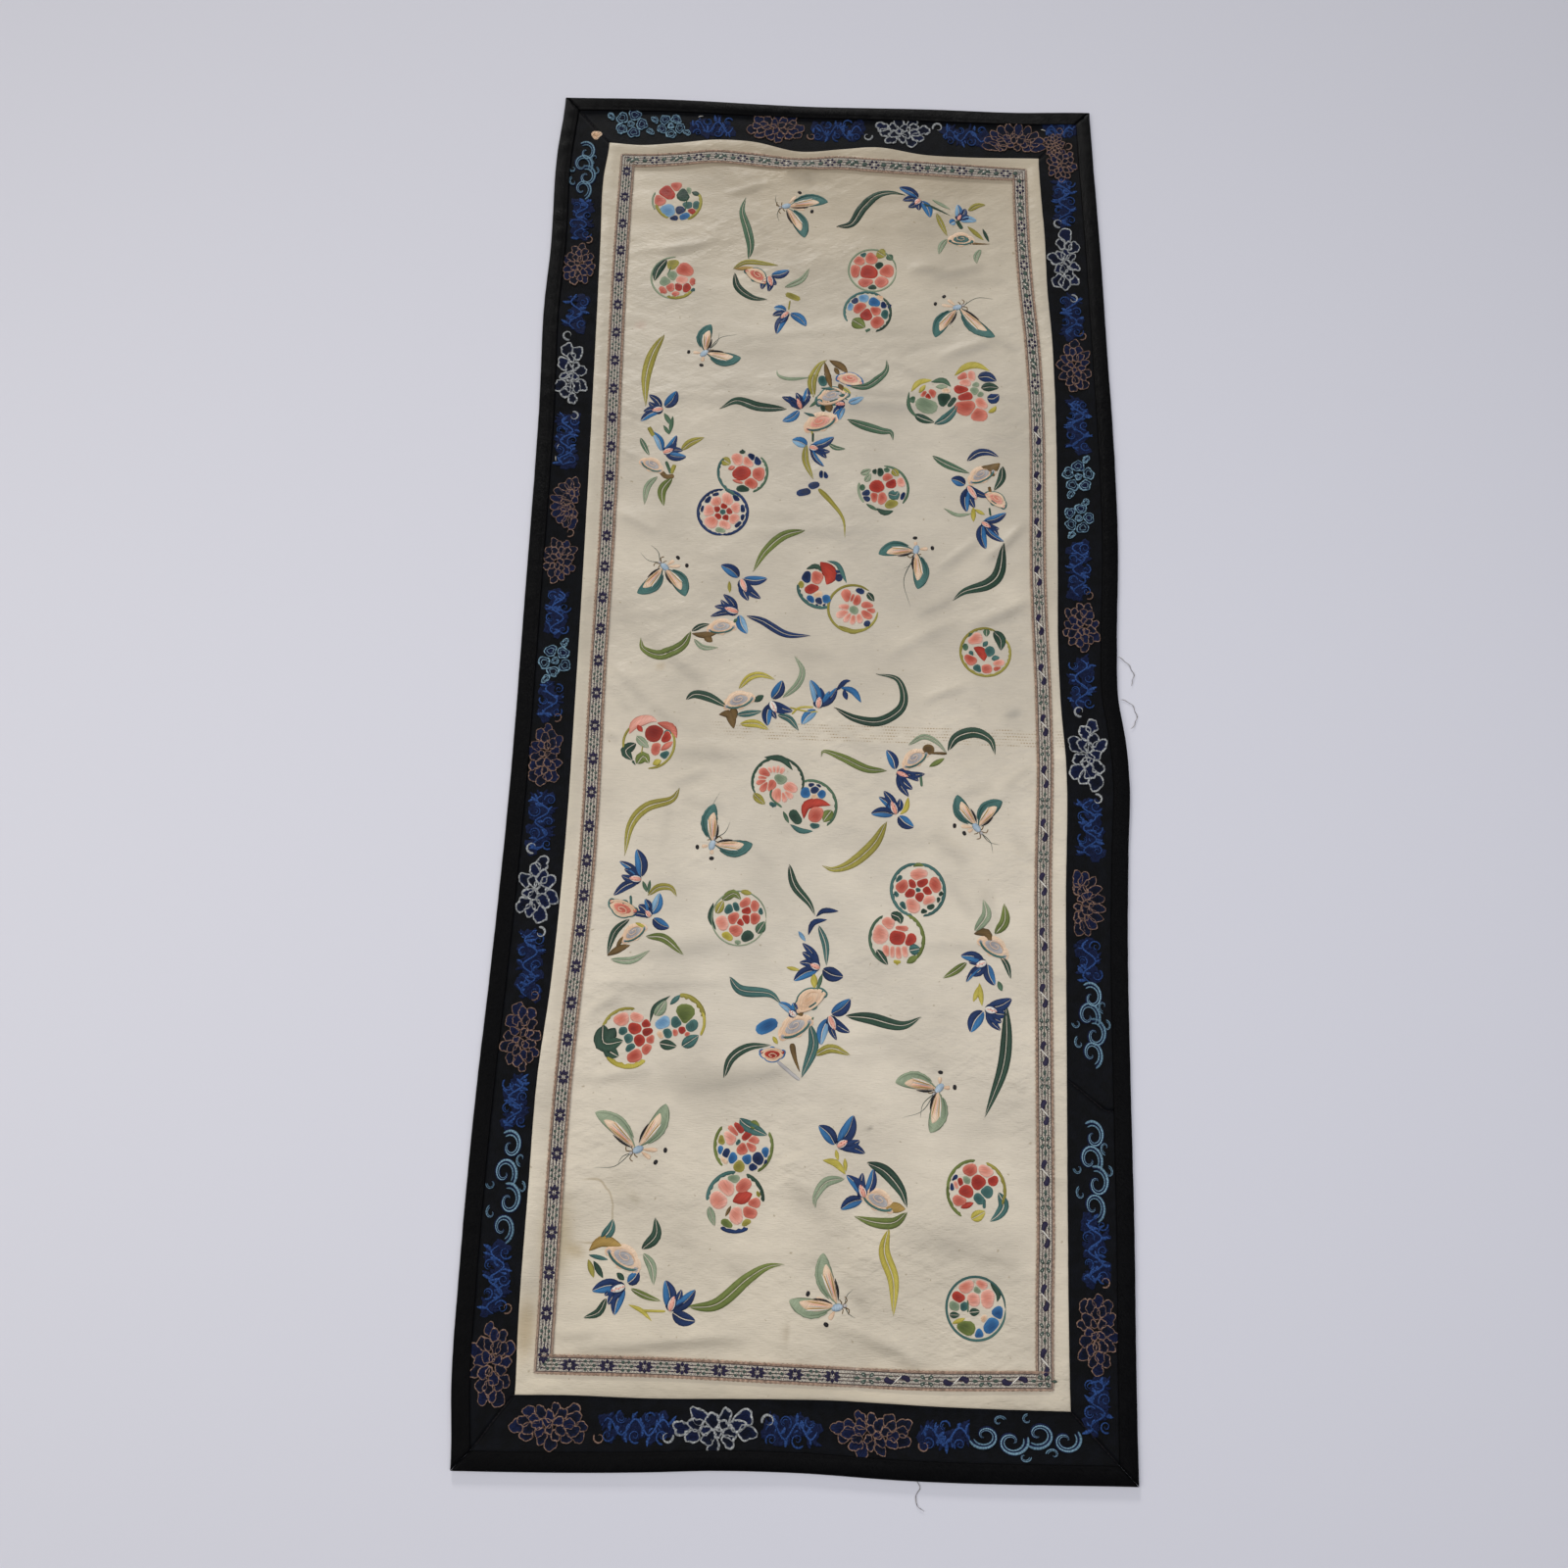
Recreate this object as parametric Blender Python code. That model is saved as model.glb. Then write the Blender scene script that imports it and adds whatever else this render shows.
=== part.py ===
"""A silk embroidered wall hanging, laid out face up on a flat surface.

The pieces are those that a maker cuts and sews: one satin ground, six lengths of woven
ribbon on it, five lengths of embroidered border band whose inner edge runs under the
ground, and four strips of binding folded round the outer edge. Each is a thin closed sheet.

All the sheets are cut from one grid of (u, v) lines. A line is nominally straight, and
the drift tables say how far it really wanders, so the outline is as uneven as old
hand-sewn cloth. Stacked layers rise over the same folds and keep an even gap.

Metres, +Z up, +X across the width, +Y towards the top edge, origin under the middle.
"""

import bmesh
import bpy
import numpy as np

# Driving dimensions of the hanging
WIDTH = 0.500
LENGTH = 1.182
HALF_WIDTH = WIDTH / 2
HALF_LENGTH = LENGTH / 2

# Thickness of each cloth and the gap that parts neighbours
GAP = 0.0003
GROUND_THICKNESS = 0.0012
BAND_THICKNESS = 0.0012
RIBBON_THICKNESS = 0.0010
LEAF_THICKNESS = 0.0010

# Sewing lines, as distances in from the nominal outer edge
FOLD_WALL = 0.0015
BINDING_WIDTH = 0.0140
BAND_LANDS = 0.0200
GROUND_EDGE = 0.0470
BAND_INNER = 0.0530
RIBBON_OUTER = 0.0600
RIBBON_INNER = 0.0735
SEWING_LINES = (0.0, FOLD_WALL, BINDING_WIDTH, BAND_LANDS,
                GROUND_EDGE, BAND_INNER, RIBBON_OUTER, RIBBON_INNER)

# The drift tables that each sewing line follows, averaged where there are two
LINE_FOLLOWS = (("outer",), ("outer",), ("outer",), ("outer",),
                ("ground",), ("ground", "ribbon"), ("ribbon",), ("ribbon",))

# Even cells between the innermost sewing lines
CELLS_ACROSS = 16
CELLS_ALONG = 44

# Places where a strip is pieced from two lengths
RIBBON_CHANGES_AT_Y = 0.288
RIBBON_CHANGES_AT_X = 0.050
BAND_JOINT_Y = -0.318

# How far each line wanders outward from its nominal place: rows of (place along, drift)
DRIFT = {
    ("left", "outer"): (
        (0.590, -0.0005), (0.527, 0.0032), (0.421, 0.0020), (0.370, 0.0035),
        (0.270, 0.0005), (0.083, -0.0010), (-0.089, -0.0015), (-0.248, 0.0020),
        (-0.324, 0.0046), (-0.466, 0.0060), (-0.534, 0.0050), (-0.590, 0.0003)),
    ("left", "ground"): (
        (0.541, 0.0020), (0.507, 0.0050), (0.433, 0.0037), (0.350, 0.0020),
        (0.200, -0.0007), (0.000, -0.0030), (-0.133, -0.0033), (-0.250, 0.0003),
        (-0.317, 0.0053), (-0.400, 0.0060), (-0.500, 0.0060), (-0.541, 0.0047)),
    ("left", "ribbon"): (
        (0.531, 0.0035), (0.400, 0.0038), (0.275, 0.0017), (0.200, 0.0000),
        (0.000, -0.0010), (-0.150, -0.0023), (-0.200, -0.0010), (-0.250, 0.0017),
        (-0.300, 0.0040), (-0.526, 0.0050)),
    ("right", "outer"): (
        (0.590, 0.0006), (0.546, 0.0020), (0.439, 0.0060), (0.337, 0.0086),
        (0.239, 0.0113), (0.145, 0.0113), (0.055, 0.0071), (0.011, 0.0063),
        (-0.032, 0.0113), (-0.073, 0.0129), (-0.115, 0.0105), (-0.195, 0.0066),
        (-0.310, 0.0044), (-0.418, 0.0030), (-0.521, 0.0004), (-0.590, -0.0006)),
    ("right", "ground"): (
        (0.540, -0.0020), (0.450, 0.0020), (0.400, 0.0030), (0.350, 0.0060),
        (0.307, 0.0070), (0.133, 0.0057), (0.050, 0.0040), (0.000, 0.0050),
        (-0.050, 0.0080), (-0.167, 0.0047), (-0.293, 0.0020), (-0.541, -0.0020)),
    ("right", "ribbon"): (
        (0.529, -0.0007), (0.400, 0.0030), (0.350, 0.0070), (0.300, 0.0093),
        (0.100, 0.0080), (0.000, 0.0100), (-0.050, 0.0100), (-0.150, 0.0063),
        (-0.300, 0.0040), (-0.400, 0.0025), (-0.528, -0.0007)),
    ("top", "outer"): (
        (-0.250, 0.0000), (-0.150, 0.0015), (0.000, -0.0015), (0.100, -0.0005),
        (0.180, -0.0010), (0.250, 0.0013)),
    ("top", "ground"): (
        (-0.205, -0.0013), (-0.170, -0.0030), (-0.137, 0.0010), (-0.103, 0.0060),
        (-0.070, 0.0053), (-0.023, -0.0047), (0.017, -0.0007), (0.047, 0.0027),
        (0.097, -0.0040), (0.130, -0.0050), (0.201, -0.0040)),
    ("top", "ribbon"): (
        (-0.193, 0.0000), (-0.170, -0.0003), (-0.137, 0.0023), (-0.103, 0.0067),
        (-0.070, 0.0050), (-0.020, 0.0007), (0.013, 0.0040), (0.047, 0.0023),
        (0.080, 0.0007), (0.189, -0.0027)),
    ("bottom", "outer"): (
        (-0.250, 0.0010), (-0.100, -0.0017), (-0.060, -0.0037), (0.000, -0.0037),
        (0.080, -0.0005), (0.250, -0.0005)),
    ("bottom", "ground"): (
        (-0.207, -0.0033), (-0.170, -0.0040), (-0.103, -0.0033), (-0.037, -0.0047),
        (0.030, -0.0057), (0.097, -0.0033), (0.201, -0.0023)),
    ("bottom", "ribbon"): (
        (-0.195, -0.0050), (-0.100, -0.0050), (0.000, -0.0027), (0.100, -0.0010),
        (0.189, -0.0027)),
}

# The main folds, soft ridges that the cloth keeps where it lies. A row gives the middle,
# the half length and half width, the angle from +X in degrees, and the height.
FOLDS = (
    # x, y, half length, half width, angle, height
    (-0.020, 0.341, 0.075, 0.014, 6, 0.0016),
    (0.000, 0.286, 0.190, 0.013, 0, 0.0018),
    (-0.070, 0.506, 0.030, 0.011, -24, 0.0020),
    (-0.025, 0.517, 0.028, 0.009, 4, 0.0022),
    (-0.155, 0.470, 0.035, 0.016, -3, 0.0022),
    (0.095, 0.417, 0.035, 0.013, 5, 0.0022),
    (0.130, 0.335, 0.045, 0.014, 22, 0.0026),
    (0.163, 0.147, 0.038, 0.011, 45, 0.0024),
    (0.155, 0.080, 0.040, 0.011, 26, 0.0024),
    (0.110, 0.008, 0.030, 0.013, 18, 0.0020),
    (-0.155, 0.155, 0.030, 0.014, -22, 0.0020),
    (-0.142, 0.000, 0.055, 0.011, -40, 0.0024),
    (-0.090, -0.048, 0.050, 0.014, -3, 0.0026),
    (-0.085, -0.093, 0.035, 0.014, -6, 0.0020),
    (0.172, -0.065, 0.028, 0.012, 35, 0.0022),
    (-0.095, -0.212, 0.055, 0.013, 10, 0.0026),
    (-0.120, -0.238, 0.050, 0.012, 3, 0.0018),
    (-0.050, -0.318, 0.060, 0.017, 13, 0.0030),
    (0.040, -0.283, 0.035, 0.012, 14, 0.0016),
    (0.150, -0.425, 0.055, 0.016, 2, 0.0020),
    (0.010, -0.392, 0.040, 0.016, -38, 0.0018),
    (-0.110, -0.500, 0.070, 0.011, 4, 0.0018),
    (0.060, -0.500, 0.060, 0.014, -20, 0.0016),
    (0.252, -0.050, 0.040, 0.016, 90, 0.0020),
    (-0.236, 0.330, 0.060, 0.014, 88, 0.0012),
    (0.020, 0.575, 0.060, 0.012, 2, 0.0012),
    (-0.060, -0.578, 0.050, 0.012, 0, 0.0014),
)
LIES_FLAT_BELOW = 0.0002

# Colour (linear RGB) and roughness of each cloth
FINISHES = {
    "ground": ((0.60, 0.53, 0.42), 0.45),
    "ribbon": ((0.40, 0.36, 0.30), 0.70),
    "band": ((0.010, 0.012, 0.030), 0.60),
    "binding": ((0.006, 0.006, 0.010), 0.40),
}


def clear_scene():
    """Remove every object, so that only the hanging is left."""
    for item in list(bpy.data.objects):
        bpy.data.objects.remove(item, do_unlink=True)


def cloth_material(kind):
    """The Principled material of one kind of cloth."""
    colour, roughness = FINISHES[kind]
    material = bpy.data.materials.new(kind + "_cloth")
    material.use_nodes = True
    shader = material.node_tree.nodes["Principled BSDF"]
    shader.inputs["Base Color"].default_value = (*colour, 1.0)
    shader.inputs["Roughness"].default_value = roughness
    return material


def smooth_curve(table, at):
    """A cubic through the rows (along, value), level beyond the first and last rows."""
    rows = np.array(sorted(table))
    along, value = rows[:, 0], rows[:, 1]
    slope = np.gradient(value, along)
    slope[0] = 0.0
    slope[-1] = 0.0
    at = np.clip(at, along[0], along[-1])
    left = np.clip(np.searchsorted(along, at, side="right") - 1, 0, len(along) - 2)
    right = left + 1
    span = along[right] - along[left]
    t = (at - along[left]) / span
    start = (2 * t**3 - 3 * t**2 + 1) * value[left] + (t**3 - 2 * t**2 + t) * span * slope[left]
    end = (3 * t**2 - 2 * t**3) * value[right] + (t**3 - t**2) * span * slope[right]
    return start + end


def grid_lines(half, middle_cells):
    """Nominal grid lines in one direction: sewing lines at both sides, even ones between."""
    low = np.array(SEWING_LINES) - half
    middle = np.linspace(low[-1], -low[-1], middle_cells + 1)[1:-1]
    return np.concatenate([low, middle, -low[::-1]])


def sewn_lines(side, half, along):
    """Distance from the centre of each sewing line on one side, a row for each line."""
    drifts = [np.mean([smooth_curve(DRIFT[side, table], along) for table in tables], axis=0)
              for tables in LINE_FOLLOWS]
    return np.array([half - line + drift for line, drift in zip(SEWING_LINES, drifts)])


def wander(lines, half, low_side, high_side, along):
    """Real place of each nominal line at each place along it: an array (line, along)."""
    nominal = np.concatenate([np.array(SEWING_LINES) - half, half - np.array(SEWING_LINES)[::-1]])
    low = -sewn_lines(low_side, half, along)
    high = sewn_lines(high_side, half, along)[::-1]
    real = np.concatenate([low, high])
    return np.array([np.interp(lines, nominal, column) for column in real.T]).T


def fold_height(x, y):
    """Height of the folds: each is a long bell-shaped ridge, and low ones are pressed flat."""
    total = np.zeros_like(x)
    for middle_x, middle_y, length, width, angle, height in FOLDS:
        turn = np.radians(angle)
        along = (x - middle_x) * np.cos(turn) + (y - middle_y) * np.sin(turn)
        across = (y - middle_y) * np.cos(turn) - (x - middle_x) * np.sin(turn)
        total += height * np.exp(-(along / length) ** 2 - (across / width) ** 2)
    return np.maximum(total - LIES_FLAT_BELOW, 0.0)


class Grid:
    """The shared grid: where each point lies, its fold height, and its triangles."""

    def __init__(self):
        u = grid_lines(HALF_WIDTH, CELLS_ACROSS)
        v = grid_lines(HALF_LENGTH, CELLS_ALONG)
        x = wander(u, HALF_WIDTH, "left", "right", v)
        y = wander(v, HALF_LENGTH, "bottom", "top", u).T
        self.u, self.v = (flat.ravel() for flat in np.meshgrid(u, v, indexing="ij"))
        self.x, self.y = x.ravel(), y.ravel()
        self.fold = fold_height(self.x, self.y)
        self.x -= (self.x.min() + self.x.max()) / 2
        self.y -= (self.y.min() + self.y.max()) / 2
        self.inset = np.minimum(HALF_WIDTH - abs(self.u), HALF_LENGTH - abs(self.v))
        self.triangles = self.split_cells(u, v)
        self.middle_u = self.u[self.triangles].mean(axis=1)
        self.middle_v = self.v[self.triangles].mean(axis=1)
        self.from_side = HALF_WIDTH - abs(self.middle_u)
        self.from_end = HALF_LENGTH - abs(self.middle_v)
        self.depth = np.minimum(self.from_side, self.from_end)

    def split_cells(self, u, v):
        """Two triangles a cell, split along the line that runs to the nearest corner."""
        rows = len(v)
        triangles = []
        for i in range(len(u) - 1):
            for j in range(rows - 1):
                a, b = i * rows + j, (i + 1) * rows + j
                c, d = b + 1, a + 1
                same_sign = (u[i] + u[i + 1]) * (v[j] + v[j + 1]) > 0
                if same_sign:
                    triangles += [(a, b, c), (a, c, d)]
                else:
                    triangles += [(a, b, d), (b, c, d)]
        return np.array(triangles)

    def on_side(self, side):
        """The triangles of one side of the frame, cut off at the mitres of its corners."""
        beside = self.from_side < self.from_end
        return {"left": beside & (self.middle_u < 0), "right": beside & (self.middle_u > 0),
                "bottom": ~beside & (self.middle_v < 0), "top": ~beside & (self.middle_v > 0)}[side]

    def strip(self, side, outer, inner):
        """The triangles of one side between two distances in from the nominal edge."""
        return self.on_side(side) & (self.depth > outer) & (self.depth < inner)


def edges_of(triangles):
    """The directed edges of some triangles."""
    return [(a, b) for t in triangles for a, b in ((t[0], t[1]), (t[1], t[2]), (t[2], t[0]))]


def open_edges(triangles):
    """The directed edges that no second triangle shares: the outline, inside on the left."""
    edges = edges_of(triangles)
    known = set(edges)
    return [edge for edge in edges if (edge[1], edge[0]) not in known]


def drawn_back(grid, outline, clearance_of):
    """Points of the outline moved inward, so that each edge stays clear of its neighbour."""
    place = np.column_stack([grid.x, grid.y])
    before = {end: start for start, end in outline}
    after = dict(outline)
    moved = {}
    for point in after:
        normals, clear = [], []
        for start, end in ((before[point], point), (point, after[point])):
            run = place[end] - place[start]
            normals.append(np.array([-run[1], run[0]]) / np.linalg.norm(run))
            clear.append(clearance_of(start, end))
        if abs(np.linalg.det(np.array(normals))) > 0.05:
            shift = np.linalg.solve(np.array(normals), np.array(clear))
        else:
            shift = (normals[0] + normals[1]) / 2 * max(clear)
        moved[point] = place[point] + shift
    return moved


def even_clearance(start, end):
    """Half the gap on every edge, so that two strips that abut are a gap apart."""
    return GAP / 2


def stacked_cloth(name, kind, grid, layers, levels, clearance_of=even_clearance):
    """One closed sheet made of layers of the grid's triangles, with walls at their edges.

    layers holds one mask of triangles for each layer, and levels the height of each
    grid point under the first layer and over each one.
    """
    footprint = grid.triangles[np.any(layers, axis=0)]
    moved = drawn_back(grid, open_edges(footprint.tolist()), clearance_of)
    body = bmesh.new()
    corners = {}

    def corner(point, level):
        if (point, level) not in corners:
            x, y = moved.get(point, (grid.x[point], grid.y[point]))
            corners[point, level] = body.verts.new((x, y, levels[level][point]))
        return corners[point, level]

    empty = np.zeros(len(grid.triangles), bool)
    for level, layer in enumerate(layers):
        below = layers[level - 1] if level > 0 else empty
        above = layers[level + 1] if level + 1 < len(layers) else empty
        for a, b, c in grid.triangles[layer & ~above].tolist():
            body.faces.new([corner(p, level + 1) for p in (a, b, c)])
        for a, b, c in grid.triangles[layer & ~below].tolist():
            body.faces.new([corner(p, level) for p in (c, b, a)])
        for start, end in open_edges(grid.triangles[layer].tolist()):
            body.faces.new([corner(start, level), corner(end, level),
                            corner(end, level + 1), corner(start, level + 1)])
    mesh = bpy.data.meshes.new(name)
    body.to_mesh(mesh)
    body.free()
    mesh.materials.append(cloth_material(kind))
    sheet = bpy.data.objects.new(name, mesh)
    bpy.context.scene.collection.objects.link(sheet)


def ground_floor(grid):
    """Underside of the ground: on the band at its edge, and down on the surface inside it."""
    return grid.fold + np.interp(grid.inset, (BAND_INNER, RIBBON_OUTER), (BAND_THICKNESS + GAP, 0.0))


def make_ground(grid):
    """The satin ground, one sheet whose edge lies over the band."""
    floor = ground_floor(grid)
    layer = grid.depth > GROUND_EDGE
    stacked_cloth("ground", "ground", grid, [layer], [floor, floor + GROUND_THICKNESS])


def make_ribbons(grid):
    """Six lengths of ribbon on the ground, mitred at the corners."""
    floor = ground_floor(grid) + GROUND_THICKNESS + GAP
    sides = {side: grid.strip(side, RIBBON_OUTER, RIBBON_INNER)
             for side in ("top", "left", "right", "bottom")}
    high = grid.middle_v > RIBBON_CHANGES_AT_Y
    leftward = grid.middle_u < RIBBON_CHANGES_AT_X
    lengths = {
        "ribbon_top": sides["top"],
        "ribbon_left": sides["left"],
        "ribbon_right_upper": sides["right"] & high,
        "ribbon_right_lower": sides["right"] & ~high,
        "ribbon_bottom_left": sides["bottom"] & leftward,
        "ribbon_bottom_right": sides["bottom"] & ~leftward,
    }
    for name, layer in lengths.items():
        stacked_cloth(name, "ribbon", grid, [layer], [floor, floor + RIBBON_THICKNESS])


def make_bands(grid):
    """Five lengths of border band, from inside the binding to under the ground's edge."""
    leaf_top = LEAF_THICKNESS + GAP
    floor = grid.fold + np.interp(grid.inset, (BINDING_WIDTH, BAND_LANDS), (leaf_top, 0.0))
    joint_rise = 2 * (HALF_LENGTH - RIBBON_INNER) / CELLS_ALONG
    joint = np.interp(grid.middle_u, (HALF_WIDTH - GROUND_EDGE, HALF_WIDTH - BAND_LANDS),
                      (BAND_JOINT_Y + joint_rise / 2, BAND_JOINT_Y - joint_rise / 2))
    sides = {side: grid.strip(side, FOLD_WALL, BAND_INNER)
             for side in ("top", "left", "right", "bottom")}
    high = grid.middle_v > joint
    lengths = {
        "band_top": sides["top"],
        "band_left": sides["left"],
        "band_right_upper": sides["right"] & high,
        "band_right_lower": sides["right"] & ~high,
        "band_bottom": sides["bottom"],
    }

    def clear_of_fold(start, end):
        in_fold = max(grid.inset[start], grid.inset[end]) < BINDING_WIDTH / 2
        return GAP if in_fold else GAP / 2

    for name, layer in lengths.items():
        stacked_cloth(name, "band", grid, [layer], [floor, floor + BAND_THICKNESS], clear_of_fold)


def make_bindings(grid):
    """Four strips folded over the band's outer edge: back leaf, fold and front leaf."""
    back_top = grid.fold + LEAF_THICKNESS
    front_floor = back_top + BAND_THICKNESS + 2 * GAP
    levels = [grid.fold, back_top, front_floor, front_floor + LEAF_THICKNESS]
    for side in ("top", "left", "right", "bottom"):
        leaf = grid.strip(side, 0.0, BINDING_WIDTH)
        fold = grid.strip(side, 0.0, FOLD_WALL)
        stacked_cloth("binding_" + side, "binding", grid, [leaf, fold, leaf], levels)


def main():
    """Build the whole hanging."""
    clear_scene()
    grid = Grid()
    make_ground(grid)
    make_ribbons(grid)
    make_bands(grid)
    make_bindings(grid)


main()
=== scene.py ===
"""Looks of the silk embroidered wall hanging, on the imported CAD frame.

Every cloth of the CAD has one visual sheet here, cut from the same sewing lines, drift and
folds and with finer creases. On them lie the floss embroidery of the ground, the thread
embroidery of the border, the woven figures and furry edges of the ribbon, and a few loose
threads. Metres in the row frame; the tables of motifs are in millimetres from the panel's
middle, +X to the right and +Y towards the top edge.
"""

import logging
from dataclasses import dataclass, field
from enum import Enum

import bpy
import numpy as np
from mathutils import Matrix


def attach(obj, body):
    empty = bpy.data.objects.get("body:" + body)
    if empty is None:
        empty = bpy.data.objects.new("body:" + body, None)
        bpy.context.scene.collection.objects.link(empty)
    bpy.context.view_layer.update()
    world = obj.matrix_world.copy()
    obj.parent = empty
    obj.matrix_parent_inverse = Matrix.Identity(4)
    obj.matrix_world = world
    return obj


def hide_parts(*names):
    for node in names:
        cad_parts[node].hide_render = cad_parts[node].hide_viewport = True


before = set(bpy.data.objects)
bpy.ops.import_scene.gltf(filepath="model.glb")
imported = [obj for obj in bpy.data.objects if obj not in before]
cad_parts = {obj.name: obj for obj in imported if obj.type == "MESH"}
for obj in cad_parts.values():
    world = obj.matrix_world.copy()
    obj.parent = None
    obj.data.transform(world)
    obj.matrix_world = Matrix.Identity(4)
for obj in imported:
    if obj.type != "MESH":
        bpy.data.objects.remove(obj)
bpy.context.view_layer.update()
LOG = logging.getLogger("hanging")
MM = 0.001


def linear(code: str, alpha: float = 1.0) -> tuple[float, float, float, float]:
    """A #RRGGBB sRGB colour as linear RGBA: each channel by the sRGB curve."""
    parts = [int(code[i:i + 2], 16) / 255 for i in (1, 3, 5)]
    curve = [c / 12.92 if c <= 0.04045 else ((c + 0.055) / 1.055) ** 2.4 for c in parts]
    return (*curve, alpha)


WHITE = linear("#FFFFFF")


class Side(Enum):
    """The four sides of the frame of strips."""

    LEFT = "left"
    RIGHT = "right"
    BOTTOM = "bottom"
    TOP = "top"

    @property
    def upright(self) -> bool:
        """True where the side runs along Y."""
        return self in (Side.LEFT, Side.RIGHT)

    @property
    def sign(self) -> int:
        """-1 on the low side of its axis and +1 on the high side."""
        return -1 if self in (Side.LEFT, Side.BOTTOM) else 1


class Layer(Enum):
    """The cloths by how they stack."""

    BINDING = "binding"
    BAND = "band"
    GROUND = "ground"
    RIBBON = "ribbon"


@dataclass(frozen=True)
class Sizes:
    """Driving sizes of the cloths in metres, the same as the CAD's."""

    half_width: float = 0.250
    half_length: float = 0.591
    gap: float = 0.0003
    cloth: float = 0.0012
    ribbon: float = 0.0010
    leaf: float = 0.0010
    fold_wall: float = 0.0015
    binding: float = 0.0140
    band_lands: float = 0.0200
    ground_edge: float = 0.0470
    band_inner: float = 0.0530
    ribbon_outer: float = 0.0600
    ribbon_inner: float = 0.0735
    cells_across: int = 16
    cells_along: int = 44
    ribbon_change_y: float = 0.28227
    ribbon_change_x: float = 0.04412
    band_joint: tuple[float, float] = (-0.32934, -0.30582)
    flat_below: float = 0.0002

    @property
    def mitre_gap(self) -> float:
        """Distance of a strip's end from its mitre line, along the strip."""
        return 0.7 * self.gap

    @property
    def sewing(self) -> np.ndarray:
        """Distances of the sewing lines in from the nominal outer edge."""
        return np.array([0.0, self.fold_wall, self.binding, self.band_lands, self.ground_edge,
                         self.band_inner, self.ribbon_outer, self.ribbon_inner])

    def half(self, upright: bool) -> float:
        """Half the nominal run of a side: half the length for an upright one, else the width."""
        return self.half_length if upright else self.half_width


SIZES = Sizes()

# The drift tables that each sewing line follows, averaged where there are two
LINE_FOLLOWS = (("outer",), ("outer",), ("outer",), ("outer",),
                ("ground",), ("ground", "ribbon"), ("ribbon",), ("ribbon",))

# How far each line wanders outward from its nominal place: rows of (place along, drift)
DRIFT = {
    ("left", "outer"): (
        (0.590, -0.0005), (0.527, 0.0032), (0.421, 0.0020), (0.370, 0.0035),
        (0.270, 0.0005), (0.083, -0.0010), (-0.089, -0.0015), (-0.248, 0.0020),
        (-0.324, 0.0046), (-0.466, 0.0060), (-0.534, 0.0050), (-0.590, 0.0003)),
    ("left", "ground"): (
        (0.541, 0.0020), (0.507, 0.0050), (0.433, 0.0037), (0.350, 0.0020),
        (0.200, -0.0007), (0.000, -0.0030), (-0.133, -0.0033), (-0.250, 0.0003),
        (-0.317, 0.0053), (-0.400, 0.0060), (-0.500, 0.0060), (-0.541, 0.0047)),
    ("left", "ribbon"): (
        (0.531, 0.0035), (0.400, 0.0038), (0.275, 0.0017), (0.200, 0.0000),
        (0.000, -0.0010), (-0.150, -0.0023), (-0.200, -0.0010), (-0.250, 0.0017),
        (-0.300, 0.0040), (-0.526, 0.0050)),
    ("right", "outer"): (
        (0.590, 0.0006), (0.546, 0.0020), (0.439, 0.0060), (0.337, 0.0086),
        (0.239, 0.0113), (0.145, 0.0113), (0.055, 0.0071), (0.011, 0.0063),
        (-0.032, 0.0113), (-0.073, 0.0129), (-0.115, 0.0105), (-0.195, 0.0066),
        (-0.310, 0.0044), (-0.418, 0.0030), (-0.521, 0.0004), (-0.590, -0.0006)),
    ("right", "ground"): (
        (0.540, -0.0020), (0.450, 0.0020), (0.400, 0.0030), (0.350, 0.0060),
        (0.307, 0.0070), (0.133, 0.0057), (0.050, 0.0040), (0.000, 0.0050),
        (-0.050, 0.0080), (-0.167, 0.0047), (-0.293, 0.0020), (-0.541, -0.0020)),
    ("right", "ribbon"): (
        (0.529, -0.0007), (0.400, 0.0030), (0.350, 0.0070), (0.300, 0.0093),
        (0.100, 0.0080), (0.000, 0.0100), (-0.050, 0.0100), (-0.150, 0.0063),
        (-0.300, 0.0040), (-0.400, 0.0025), (-0.528, -0.0007)),
    ("top", "outer"): (
        (-0.250, 0.0000), (-0.150, 0.0015), (0.000, -0.0015), (0.100, -0.0005),
        (0.180, -0.0010), (0.250, 0.0013)),
    ("top", "ground"): (
        (-0.205, -0.0013), (-0.170, -0.0030), (-0.137, 0.0010), (-0.103, 0.0060),
        (-0.070, 0.0053), (-0.023, -0.0047), (0.017, -0.0007), (0.047, 0.0027),
        (0.097, -0.0040), (0.130, -0.0050), (0.201, -0.0040)),
    ("top", "ribbon"): (
        (-0.193, 0.0000), (-0.170, -0.0003), (-0.137, 0.0023), (-0.103, 0.0067),
        (-0.070, 0.0050), (-0.020, 0.0007), (0.013, 0.0040), (0.047, 0.0023),
        (0.080, 0.0007), (0.189, -0.0027)),
    ("bottom", "outer"): (
        (-0.250, 0.0010), (-0.100, -0.0017), (-0.060, -0.0037), (0.000, -0.0037),
        (0.080, -0.0005), (0.250, -0.0005)),
    ("bottom", "ground"): (
        (-0.207, -0.0033), (-0.170, -0.0040), (-0.103, -0.0033), (-0.037, -0.0047),
        (0.030, -0.0057), (0.097, -0.0033), (0.201, -0.0023)),
    ("bottom", "ribbon"): (
        (-0.195, -0.0050), (-0.100, -0.0050), (0.000, -0.0027), (0.100, -0.0010),
        (0.189, -0.0027)),
}

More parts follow.
